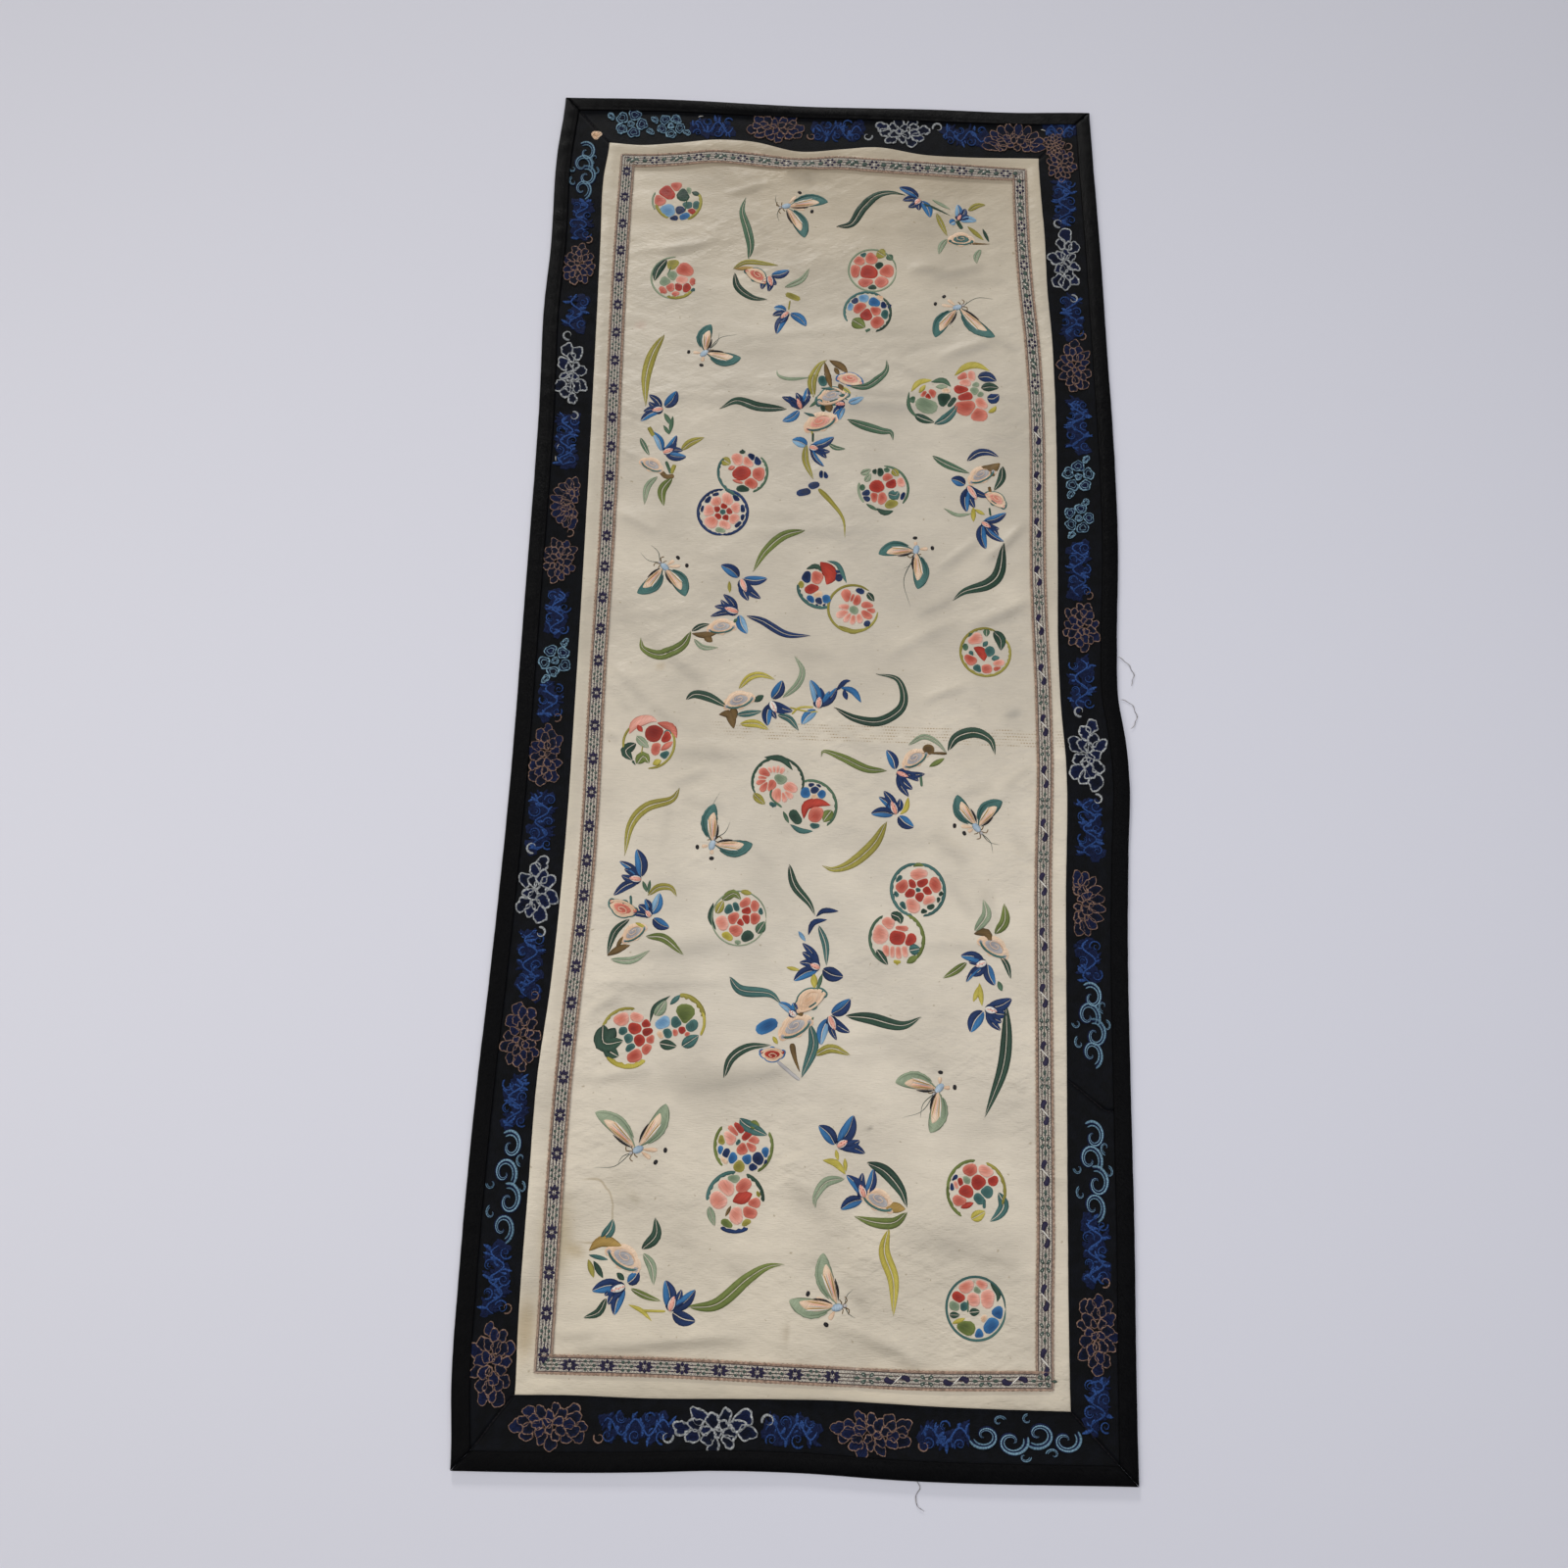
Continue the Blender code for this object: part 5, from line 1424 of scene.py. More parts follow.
# Stitches of each spray of orchids, fungus and leaves. An orchid gives its base and its
# throat's tip, and the petals after it their tips; a fungus gives its middle and its turn
SPRAYS = {
    "a": """green leaf 7 -69,422 -68,437 -72,455 -77,473 -74,488; olive leaf 4.5 -83,411 -70,419 -42,416;
    ochre blade 3.5 -82,411 -64,413; teal/coral fungus 22 -61,405 35;
    dkgreen leaf 6 -82,407 -78,392 -65,382 -51,380; x orchid 6 -50,405 -47,394;
    navy petals 5 -56,391 -50,389 -43,396; blue petals 7 -32,411; sage leaf 5 -35,393 -20,402 -13,414;
    olive petal 5 -37,388 -18,380; olive line 1.5 -30,380 -31,370; x orchid 5 -31,368 -38,361;
    sky petals 6 -44,372; navy petals 5 -45,364 -40,356; blue petals 7 -41,345 -15,354""",
    "b": """dkgreen leaf 8 11,459 25,463 35,480 48,494 62,498 75,495; x orchid 6 89,492 84,486;
    blue petals 7 70,504 98,473; navy petals 5 73,490 78,483 88,480;
    dkgreen tail 4 92,487 104,482 117,475; dkgreen line 4 123,470 128,461; sage blade 3 100,492 117,482;
    x orchid 5 124,470 127,476; sky petals 6 124,487; navy petals 6 131,483 135,474;
    sky petals 6 117,466 141,470; olive leaf 5 134,481 142,487 150,488;
    olive leaf 4.5 104,477 109,465 114,453; olive blade 4 133,464 148,450; peach/teal fungus 22 127,450 0;
    brown tail 4 130,447 142,446 154,446; dkgreen blade 3 147,462 153,448;
    sage leaf 5 114,450 109,443 106,433; sage leaf 5 145,440 141,432 141,424""",
    "c": """olive leaf 8 -143,341 -152,322 -157,298 -156,268; x orchid 6 -140,266 -150,264;
    blue petals 8 -129,283; navy petals 5 -153,279 -153,272 -157,263; blue petals 6 -159,254;
    green blade 4 -139,262 -132,250; green blade 3.5 -131,259 -133,242; green blade 3 -139,250 -133,241;
    olive line 4 -152,248 -147,239; x orchid 6 -138,223 -129,227; sky petals 6 -148,243;
    blue petals 5 -127,240; navy petals 5 -127,233 -121,226; blue petals 7 -118,220;
    olive leaf 6 -122,226 -114,234 -102,239; green leaf 4 -159,237 -150,220;
    peach/grey fungus 20 -147,211 25; brown line 5 -139,205 -134,200 -127,201;
    green line 3 -135,215 -130,203; olive line 4 -127,212 -130,203;
    sage leaf 5 -142,200 -150,190 -152,173; moss leaf 7 -129,199 -137,187 -135,172""",
    "d": """olive leaf 7 -6,281 -8,298 -2,314 5,320; brown blade 5 3,318 7,300 10,290;
    brown blade 6 7,320 18,314 24,307; brown blade 4 12,313 16,305; teal petal 7 0,303 3,293;
    blue/salmon fungus 22 26,301 10; green leaf 6 24,294 40,294 52,303 59,312 59,322;
    gold leaf 4 19,292 27,286; brown blade 5 16,296 20,288; sky leaf 6 25,276 39,283;
    teal blade 4 0,291 14,288 24,279; teal/grey fungus 28 10,283 -20; dkgreen oval 4 1,275 4,268;
    brown blade 7 6,277 9,268; x orchid 5 22,275 13,275; blue petals 5 12,266; sky petals 5 17,261;
    green leaf 7 24,261 38,256 55,251 63,250 65,242; teal blade 4 -15,267 -5,263 10,255;
    peach/salmon fungus 28 0,258 -25; x orchid 6 -17,270 -21,279; navy petals 5 -34,280 -28,281 -22,285;
    blue petals 6 -12,290 -33,258; dkgreen leaf 7 -30,270 -55,271 -75,276 -90,268;
    sage blade 3 -10,301 -28,299 -38,302 -40,309; green blade 2.5 -10,272 0,279; x orchid 6 -9,233 -1,231;
    sky petals 8 -24,239; blue petals 7 12,243; navy petals 5 9,229 6,223; blue petals 4 4,215;
    green leaf 4 8,237 14,233 23,232; olive leaf 5 -12,236 -12,220 -5,202; dkgreen line 2 -6,247 -6,238;
    olive line 2 -8,252 -6,244; navy petal 5 3,211 3,203; navy petal 4 2,211 8,203;
    navy petal 6 1,198 -10,194; navy petal 6 -3,192 -21,187; olive tail 6 0,193 12,180 22,165 24,147""",
    "e": """navy leaf 6 131,224 140,232 150,233 159,229; brown blade 8 143,219 152,217 160,223;
    brown line 5 153,216 153,210; dkgreen leaf 6 162,220 161,208 154,196;
    green leaf 6 100,228 113,220 133,212; peach/grey fungus 24 143,211 -30; brown line 3 150,200 151,194;
    x orchid 6 131,200 139,187; blue petals 8 117,206; blue petals 7 130,176; navy petals 6 137,180;
    navy petals 5 149,190; teal/salmon fungus 20 156,188 35; sage blade 3 110,178 122,172 135,174;
    gold blade 4 136,180 136,166; gold blade 3 137,178 146,173; dkgreen line 2 150,180 151,172;
    x orchid 5 143,166 151,161; blue petals 6 164,175; navy petals 5 158,160 157,153;
    blue petals 5 161,147; blue petals 7 146,141; dkgreen leaf 9 161,145 158,120 148,108 128,101 117,92""",
    "f": """moss leaf 7 -11,153 -30,147 -45,132 -55,113; x orchid 6 -65,106 -60,94; blue petals 8 -82,118;
    blue petals 7 -43,107; navy petals 6 -48,89; navy petals 5 -53,95; navy petals 6 -58,87;
    olive blade 3 -75,104 -74,93; x orchid 6 -66,75 -78,79; navy petals 5 -79,91 -81,86 -86,80;
    navy petals 4 -89,71; sky petals 7 -58,57; navy leaf 6 -59,72 -45,68 -25,57 -4,56;
    peach/grey fungus 22 -80,62 -10; dkgreen leaf 4 -105,57 -98,62 -90,64; green blade 3 -70,66 -66,70;
    brown blade 5 -105,55 -95,54 -82,57; brown blade 6 -95,54 -87,48; sage leaf 4 -103,50 -95,43 -82,43;
    moss leaf 8 -106,57 -113,44 -130,35 -145,40 -148,50""",
    "g": """dkgreen leaf 7 -107,-4 -100,1 -88,-1 -71,-10; gold leaf 5 -63,7 -55,17 -45,20 -33,16;
    peach/grey fungus 24 -63,-3 -20; brown blade 7 -79,-16 -70,-16 -66,-28; brown blade 6 -68,-8 -65,-20;
    teal leaf 5 -64,-16 -52,-14 -43,-12; gold leaf 6 -61,-24 -48,-23 -37,-28;
    dkgreen blade 5 -50,-4 -42,2; x orchid 6 -36,-3 -31,-13; blue petals 8 -27,15; navy petals 6 -18,-11;
    navy petals 5 -24,-13; navy petals 4 -31,-18; blue petals 7 -38,-24;
    teal leaf 5 -30,-15 -20,-18 -12,-28; sage leaf 5 -26,0 -14,12 -10,25 -17,38;
    gold line 2 -18,-14 -12,-8 0,-7; gold line 1.5 -20,-8 -5,-11 4,-11; x orchid 6 4,-8 5,2;
    sky petals 7 -3,16; navy petals 6 5,10; blue petals 5 13,7; blue petals 6 19,10; sky petals 7 -9,-22;
    navy blade 4 19,8 26,16 31,17; blue blade 5 22,11 33,8 40,-2; navy blade 4 25,9 28,0;
    dkgreen leaf 7 17,-7 35,-16 55,-18 72,-8 76,5 70,20 52,24""",
    "h": """dkgreen leaf 8 113,-42 120,-30 135,-25 148,-31 152,-44;
    sage leaf 4 80,-38 92,-30 103,-34 112,-44; brown tail 3 112,-44 98,-44 88,-45;
    brown oval 8 92,-41 101,-41; peach/grey fungus 22 85,-49 -35; moss blade 4 97,-56 110,-48;
    x orchid 6 70,-61 80,-65; blue petals 7 62,-43; navy petals 5 93,-62 88,-68; navy petals 6 83,-75;
    navy petals 5 80,-81; moss leaf 6 62,-60 45,-59 25,-50 10,-45 7,-50; green line 2.5 90,-62 91,-73;
    x orchid 6 70,-97 66,-86; navy petals 6 60,-78 63,-88; blue petals 5 56,-83; navy petals 5 73,-84;
    blue petals 7 50,-97; blue petals 8 84,-107; gold blade 4 80,-82 78,-92 73,-97;
    olive leaf 8 62,-103 52,-122 35,-138 20,-144 10,-141""",
    "i": """olive leaf 7 -109,-80 -115,-90 -135,-97 -147,-112 -151,-138; x orchid 6 -136,-157 -146,-156;
    blue petals 8 -141,-133; blue petals 5 -154,-143; navy petals 5 -150,-149 -152,-154;
    navy petals 6 -157,-170; green blade 3 -135,-158 -131,-167; green blade 2.5 -129,-157 -130,-168;
    teal line 2 -144,-170 -143,-178; olive leaf 5 -130,-170 -122,-163 -112,-163 -107,-170;
    x orchid 5 -127,-187 -131,-182; sky petals 7 -121,-168; blue petals 5 -132,-173;
    navy petals 6 -137,-178; navy petals 4 -142,-185; blue petals 7 -112,-195;
    teal/coral fungus 22 -150,-181 200; dkgreen leaf 5 -144,-189 -155,-200 -160,-218;
    peach/grey fungus 20 -140,-200 -35; brown blade 5 -160,-219 -150,-213 -142,-210;
    brown blade 3 -153,-213 -148,-203; moss leaf 6 -130,-203 -115,-204 -99,-217;
    sage leaf 5 -157,-222 -140,-222 -126,-214; gold blade 3 -139,-192 -130,-196""",
    "j": """dkgreen leaf 6 -17,-141 -12,-158 0,-172 5,-182; navy blade 4 6,-183 12,-178 24,-178;
    navy blade 4 0,-198 4,-188 15,-185; sky blade 3 -8,-195 -2,-203; teal leaf 5 8,-190 14,-205 15,-222;
    x orchid 6 10,-224 2,-221; navy petals 5 -4,-205; navy petals 6 -4,-212; navy petals 5 -6,-220;
    blue petals 7 -10,-234; navy petals 9 28,-230; gold blade 3 -17,-224 -6,-226;
    gold blade 5 5,-228 6,-240; green blade 3 12,-228 8,-242;
    teal leaf 7 -62,-233 -52,-243 -30,-245 -20,-253; teal/peach fungus 26 2,-249 -35;
    x orchid 5 -8,-262 -14,-258; sky petals 5 -22,-252; blue petals 5 -11,-252;
    blue petal 9 -22,-266 -40,-275; peach/grey fungus 26 -9,-270 -30; brown blade 6 -8,-255 -3,-262;
    brown tail 6 -11,-283 -8,-295 -4,-305; x orchid 6 18,-261 23,-272; blue petals 8 34,-248;
    navy petals 6 34,-273; navy petals 5 28,-270; navy petals 4 24,-279; sky petals 7 12,-283;
    dkgreen leaf 8 31,-261 50,-262 75,-267 91,-260; teal leaf 7 3,-268 6,-285 -3,-309;
    green blade 3 -1,-272 6,-262; olive leaf 6 7,-292 20,-286 35,-291; blue/red fungus 18 -26,-292 180;
    dkgreen leaf 6 -63,-311 -58,-296 -45,-287 -27,-285; grey line 3 -22,-297 -12,-305 -4,-311;
    gold blade 3 -26,-278 -22,-284""",
    "k": """sage leaf 7 134,-191 143,-178 141,-165; moss leaf 7 150,-193 158,-182 158,-168;
    brown blade 6 133,-193 143,-192 147,-201; peach/grey fungus 24 149,-203 30;
    x orchid 6 143,-215 134,-219; blue petals 7 123,-211; navy petals 6 129,-216 131,-226;
    blue petals 4 127,-231; blue petals 7 149,-233; moss leaf 5 127,-216 118,-223 108,-229;
    dkgreen leaf 4 154,-210 159,-217 162,-228; green blade 4 152,-230 155,-238;
    gold blade 4 138,-233 132,-247; gold blade 4 137,-232 139,-250; x orchid 6 141,-252 151,-254;
    navy petals 8 162,-244; navy petals 7 158,-256; navy petals 6 154,-262; navy petals 5 153,-268;
    blue petals 9 130,-270; dkgreen leaf 8 158,-249 158,-275 154,-300 140,-335""",
    "l": """x orchid 6 26,-360 34,-355; blue petals 8 12,-345; blue petals 9 38,-337;
    navy petals 5 38,-349; navy petals 6 43,-355 47,-364; gold blade 5 15,-370 25,-372 33,-380;
    gold blade 3 25,-362 27,-370; gold blade 3 32,-368 33,-378;
    sage leaf 6 32,-383 18,-386 10,-397 10,-405; dkgreen leaf 8 49,-371 63,-377 75,-390 80,-403;
    x orchid 6 48,-397 44,-387; blue petals 6 34,-381; navy petals 5 39,-382 46,-379;
    blue petals 6 54,-376; blue petals 7 30,-405; peach/grey fungus 24 58,-398 25;
    ochre blade 7 62,-404 70,-403 79,-404; moss leaf 7 80,-406 70,-414 55,-414 40,-410;
    gold leaf 8 66,-418 63,-435 70,-455 70,-480""",
    "m": """teal leaf 7 -151,-432 -145,-425 -143,-417; dkgreen leaf 7 -120,-438 -110,-428 -111,-415;
    ochre blade 7 -160,-440 -150,-433 -135,-436; sage leaf 6 -119,-441 -112,-450 -110,-463;
    teal blade 3 -160,-443 -145,-446; dkgreen blade 4 -156,-447 -148,-459;
    olive blade 4 -160,-446 -155,-459; peach/grey fungus 26 -133,-444 30;
    dkgreen blade 4 -138,-455 -132,-460; x orchid 6 -131,-464 -142,-468; blue petals 8 -155,-468;
    blue petals 7 -122,-454; navy petals 5 -146,-471; navy petals 6 -143,-477; blue petals 7 -138,-484;
    dkgreen leaf 5 -145,-473 -150,-483 -161,-487; moss leaf 4 -127,-466 -115,-471 -104,-474;
    gold blade 3 -128,-477 -118,-481 -110,-488; gold line 2 -120,-481 -100,-481;
    x orchid 6 -97,-481 -94,-470; blue petals 8 -101,-460; navy petals 5 -89,-466; navy petals 6 -86,-474;
    blue petals 7 -79,-466; navy petals 8 -78,-487;
    moss leaf 8 -84,-478 -62,-475 -40,-457 -25,-448 -12,-446""",
}

# Butterflies in mm: the body's middle, two wing tips, two tail dots, two feeler tips, edge tone
BUTTERFLIES = (
    # body, wing, wing, dot, dot, feeler, feeler, tone
    ((-36, 480), (0, 488), (-17, 450), (-24, 495), (-12, 475), (-46, 492), (-42, 463), "teal"),
    ((-106, 323), (-104, 351), (-75, 317), (-120, 324), (-108, 311), (-77, 343), (-93, 345), "teal"),
    ((123, 378), (102, 350), (153, 348), (103, 381), (111, 389), (156, 388), (132, 385), "teal"),
    ((-131, 115), (-150, 90), (-111, 92), (-120, 124), (-112, 117), (-153, 128), (-144, 135), "teal"),
    ((86, 138), (55, 136), (90, 104), (85, 149), (100, 140), (75, 120), (81, 85), "teal"),
    ((-80, -127), (-82, -95), (-49, -128), (-92, -129), (-80, -138), (-75, -82), (-66, -107), "teal"),
    ((136, -106), (119, -82), (154, -83), (118, -105), (126, -111), (149, -128), (155, -120), "teal"),
    ((-127, -366), (-158, -339), (-106, -335), (-106, -366), (-113, -375), (-160, -380), (-142, -377),
     "sage"),
    ((105, -314), (73, -308), (101, -346), (106, -302), (117, -313), (76, -337), (90, -337), "sage"),
    ((28, -475), (15, -440), (-6, -474), (6, -466), (20, -487), (40, -462), (42, -482), "sage"),
)


@dataclass(frozen=True)
class Butterfly:
    """A butterfly with two wings, a small body, two tail dots and two long feelers."""

    body: tuple
    wings: tuple
    dots: tuple
    feelers: tuple
    edge: str
    wing_width: float = 16.0

    def wing(self, needle: Needle, tip: tuple, fore: np.ndarray) -> None:
        """One wing: straight in front and bulging behind, pale inside, with a black bar in front."""
        root = np.array(self.body, float)
        run = np.array(tip) - root
        length = np.hypot(*run)
        unit = run / length
        side = left_of(unit)
        side = side if side @ fore > 0 else -side
        half = self.wing_width / 2

        def at(along: float, across: float) -> np.ndarray:
            """A place on the wing: shares of its length and of its half width."""
            return root + unit * length * along + side * half * across

        turned = 1 if np.cross(unit, side) > 0 else -1
        shape = CUTS["wing"]

        def rails(rear: float, front: float) -> tuple:
            """Right and left rails: one bulges to the rear, the other is nearly straight."""
            back, ahead = (lambda t: half * rear * shape(t)), (lambda t: half * front * shape(t))
            return ((lambda t: -back(t)), ahead) if turned > 0 else ((lambda t: -ahead(t)), back)

        needle.patch([at(0.05, 0.08), at(0.55, 0.22), at(1.06, 0.36)], *rails(1.25, 0.45),
                     self.edge, 65, 0.3)
        needle.patch([at(0.07, 0.10), at(0.45, 0.22), at(0.84, 0.30)], *rails(0.78, 0.34),
                     "peach", 55, 0.55)
        for across, tone in ((0.42, "ochre"), (0.22, "salmon"), (-0.02, "grey"), (-0.24, "ochre"),
                             (-0.42, "white")):
            needle.lay([at(0.18, across * 0.4), at(0.70, across)], 1.3, "blade", tone, 0, 0.75)
        bays = lambda t: 0.75 + 0.35 * abs(np.sin(np.pi * 6 * t)) ** 0.7
        edge = [at(0.20, -0.45), at(0.42, -0.84), at(0.64, -0.92), at(0.86, -0.52), at(1.02, 0.16)]
        wide = lambda t: 1.6 * CUTS["oval"](t) * bays(t)
        slim = lambda t: 0.9 * CUTS["oval"](t)
        outline = ((lambda t: -wide(t)), slim) if turned > 0 else ((lambda t: -slim(t)), wide)
        needle.patch(edge, *outline, self.edge, None, 0.6)
        bar = [at(0.10, 0.28), at(0.30, 0.56), at(0.54, 0.66)]
        needle.lay(bar, 2.0, "blade", "black", None, 0.6)

    def sew(self, needle: Needle) -> None:
        """All its parts, wings first."""
        body = np.array(self.body, float)
        fore = np.mean(self.feelers, axis=0) - body
        fore /= np.hypot(*fore)
        for tip in self.wings:
            self.wing(needle, tip, fore)
        for dot in self.dots:
            run = np.array(dot) - body
            unit = run / np.hypot(*run)
            needle.lay([body + unit * 3, body + run * 0.72], 4.2, "petal", "peach", 0, 0.3)
            across = left_of(unit) * 2.2
            needle.lay([dot - across, dot + across], 3.4, "oval", "black")
        needle.lay([body - fore * 4.5, body + fore * 4.5], 5.6, "oval", "mist", 70, 0.5)
        head = body + fore * 6
        needle.lay([head - fore * 1.6, head + fore * 1.6], 3.2, "oval", "grey", 0, 0.5)
        for tip, bend in zip(self.feelers, (1, -1)):
            run = np.array(tip) - head
            middle = head + run * 0.5 + left_of(run) * 0.16 * bend
            needle.lay([head, middle, tip], 0.85, "tail", "lattice", 0, 0.2)
            side = left_of(fore) * bend
            for out, ahead in ((6.5, 3.0), (5.5, -1.5)):
                foot = body + fore * (4 + ahead) + side * out
                knee = body + fore * (5.5 + ahead) + side * out * 0.5
                needle.lay([body + fore * 3.5, knee, foot], 0.9, "line", "brown", 0, 0.2)


# Tone of the thread of each kind of border motif
THREADS = {"peony": "copper", "bloom": "silver", "round": "ice", "commas": "ice", "fan": "copper",
           "scroll": "cobalt"}

# Turn from one petal of a spiral to the next, which is 137.5 degrees
GOLDEN_ANGLE = 2.39996


@dataclass(frozen=True)
class BorderMotif:
    """One flower or spray of foliage on the border, in thick looped thread.

    Its long way runs along the band. A flower is a bed of dark petals, each inside a rim.
    """

    x: float
    y: float
    kind: str
    long: float
    wide: float
    turn: float = 0.0

    @property
    def tone(self) -> str:
        """Tone of its thread, which comes from its kind."""
        return THREADS[self.kind]

    @property
    def angle(self) -> float:
        """Direction of its long way, in radians."""
        upright = abs(self.x) - SIZES.half_width / MM > abs(self.y) - SIZES.half_length / MM
        return np.radians(self.turn + (90 if upright else 0))

    def spot(self, along: float, across: float) -> np.ndarray:
        """Panel place of a point given along and across the motif, in mm."""
        cos, sin = np.cos(self.angle), np.sin(self.angle)
        return np.array([self.x + along * cos - across * sin, self.y + along * sin + across * cos])

    def flower(self, needle: Needle, seeds: object, rim: float, inner: float = 0.0) -> None:
        """Petals that overlap like scales, the outer ones lowest.

        A petal's outline is its oval, waved by sines of three and five turns.

        Args:
            needle: The needle.
            seeds: Rows of along, across, length, width and turn in radians.
            rim: Width of each petal's rim.
            inner: Width of a second, smaller rim inside it, or zero.
        """
        angle = round_angles(20)
        outer_first = sorted(seeds, key=lambda row: -np.hypot(row[0] / self.long, row[1] / self.wide))
        for rank, (along, across, length, width, out) in enumerate(outer_first):
            local = angle - out - self.angle
            phase = needle.random.uniform(0, 6, 2)
            lobes = 1 + 0.09 * np.sin(3 * angle + phase[0]) + 0.06 * np.sin(5 * angle + phase[1])
            radii = lobes * length * width / 2 / np.hypot(width * np.cos(local), length * np.sin(local))
            middle, over = self.spot(along, across), 0.035 * rank
            fill = "ink" if needle.random.uniform() < 0.6 else "deep"
            needle.pad(middle, radii * 0.92, fill, out, over, 0.35, 0.0)
            needle.rim(middle, radii, rim * needle.random.uniform(0.75, 1.25), self.tone, over)
            if inner:
                needle.rim(middle, radii * 0.55, inner, self.tone, over)

    def turned(self, needle: Needle, count: int, power: float, fill: float = 0.84) -> list:
        """Seeds on a golden spiral in the motif's oval: radius is the share to a power."""
        size = np.sqrt(np.pi / 4 * self.long * self.wide / count)
        rows = []
        for k in range(count):
            share = ((k + 0.5) / count) ** power
            angle = GOLDEN_ANGLE * k + self.x
            grow = (0.62 + 0.5 * share) * needle.random.uniform(0.85, 1.15)
            along, across = unit_at(angle) * share * fill * (self.long / 2, self.wide / 2)
            rows.append((along, across, size * grow * 1.5, size * grow * 1.15, np.arctan2(across, along)))
        return rows

    def curl(self, needle: Needle, along: float, across: float, radius: float, start: float,
             sweep: float, width: float) -> None:
        """A comma: a thick rim that starts full and winds inwards to a point."""
        angles = np.radians(start + np.linspace(0, sweep, 12))
        reach = radius * np.linspace(1.0, 0.45, 12)
        path = [self.spot(along + r * np.cos(a), across + r * np.sin(a)) for a, r in zip(angles, reach)]
        needle.fringe(path, width, self.tone, "tail")

    def whorl(self, needle: Needle, along: float, across: float, radius: float, start: float,
              sweep: float) -> None:
        """A paisley comma: a thin tail that swells and winds inwards, with a bright edge line."""
        angles = np.radians(start + np.linspace(0, sweep, 16))
        for share, width, cut, tone in ((1.0, 0.62, "oval", "deep"), (1.1, 0.36, "tail", self.tone),
                                        (0.80, 0.22, "tail", self.tone)):
            reach = share * radius * np.linspace(1.45, 0.25, 16)
            path = [self.spot(along + r * np.cos(a), across + 0.8 * r * np.sin(a))
                    for a, r in zip(angles, reach)]
            shape = CUTS[cut]
            half = width * radius / 2
            needle.patch(path, lambda t: -half * shape(t), lambda t: half * shape(t), tone, None,
                         0.4 if tone == "deep" else 0.8, 0.9)

    def peony(self, needle: Needle) -> None:
        """Many small petals, with a curl at one end."""
        self.flower(needle, self.turned(needle, 26, 0.5), 1.0)
        self.curl(needle, self.long * 0.60, -self.wide * 0.26, 4.2, 150, 330, 1.8)

    def bloom(self, needle: Needle) -> None:
        """Large petals with thick rims round small ones, and curls at both ends."""
        self.flower(needle, self.turned(needle, 16, 0.6), 1.9)
        self.curl(needle, self.long * 0.58, self.wide * 0.22, 5.0, 200, -320, 3.0)
        self.curl(needle, -self.long * 0.57, -self.wide * 0.20, 4.6, 20, -300, 2.8)

    def round(self, needle: Needle) -> None:
        """Five broad petals round a small one, and two leaves."""
        size = self.wide
        seeds = [(0, 0, 7, 7, 0)]
        for k in range(5):
            angle = 2 * np.pi * k / 5 + self.turn
            seeds.append((0.35 * size * np.cos(angle), 0.33 * size * np.sin(angle),
                          0.36 * size, 0.42 * size, angle))
        seeds += [(-0.45 * self.long, 0.25 * size, 9, 6, 2.4), (0.45 * self.long, -0.25 * size, 9, 6, -0.6)]
        self.flower(needle, seeds, 1.5, 0.8)

    def commas(self, needle: Needle) -> None:
        """Broad feathery commas that turn about one another."""
        rows = (
            # along and across as shares, radius, first angle, sweep
            (-0.40, 0.02, 7.6, 200, 400), (-0.14, -0.10, 8.0, 20, -420), (0.12, 0.08, 8.0, 230, 410),
            (0.38, -0.04, 7.6, 40, -400), (-0.26, 0.34, 3.6, 20, 300), (0.26, -0.36, 3.6, 180, -300),
            (0.02, 0.40, 3.2, 90, 280), (-0.02, -0.42, 3.2, 0, -280))
        for along, across, radius, start, sweep in rows:
            self.whorl(needle, along * self.long, across * self.wide, radius, start, sweep)

    def fan(self, needle: Needle) -> None:
        """Two rings of finger petals spread from one side, and small round ones at the root."""
        root = np.array([0.0, -self.wide * 0.34])
        seeds = []
        for share, step, length, width in ((1.0, 20, 0.52, 0.30), (0.58, 30, 0.36, 0.26)):
            for degrees in np.arange(0, 181, step):
                angle = np.radians(degrees)
                out = share * np.array([self.long * np.cos(angle) * 0.36,
                                        self.wide * (0.06 + np.sin(angle) * 0.50)])
                lean = np.arctan2(out[1], out[0])
                seeds.append((*(root + out), length * self.wide, width * self.wide, lean))
        seeds += [(6.5 * k - 10, root[1] + 1.0 + k % 2 * 3, 7, 7, 1.5) for k in range(4)]
        self.flower(needle, seeds, 1.0)

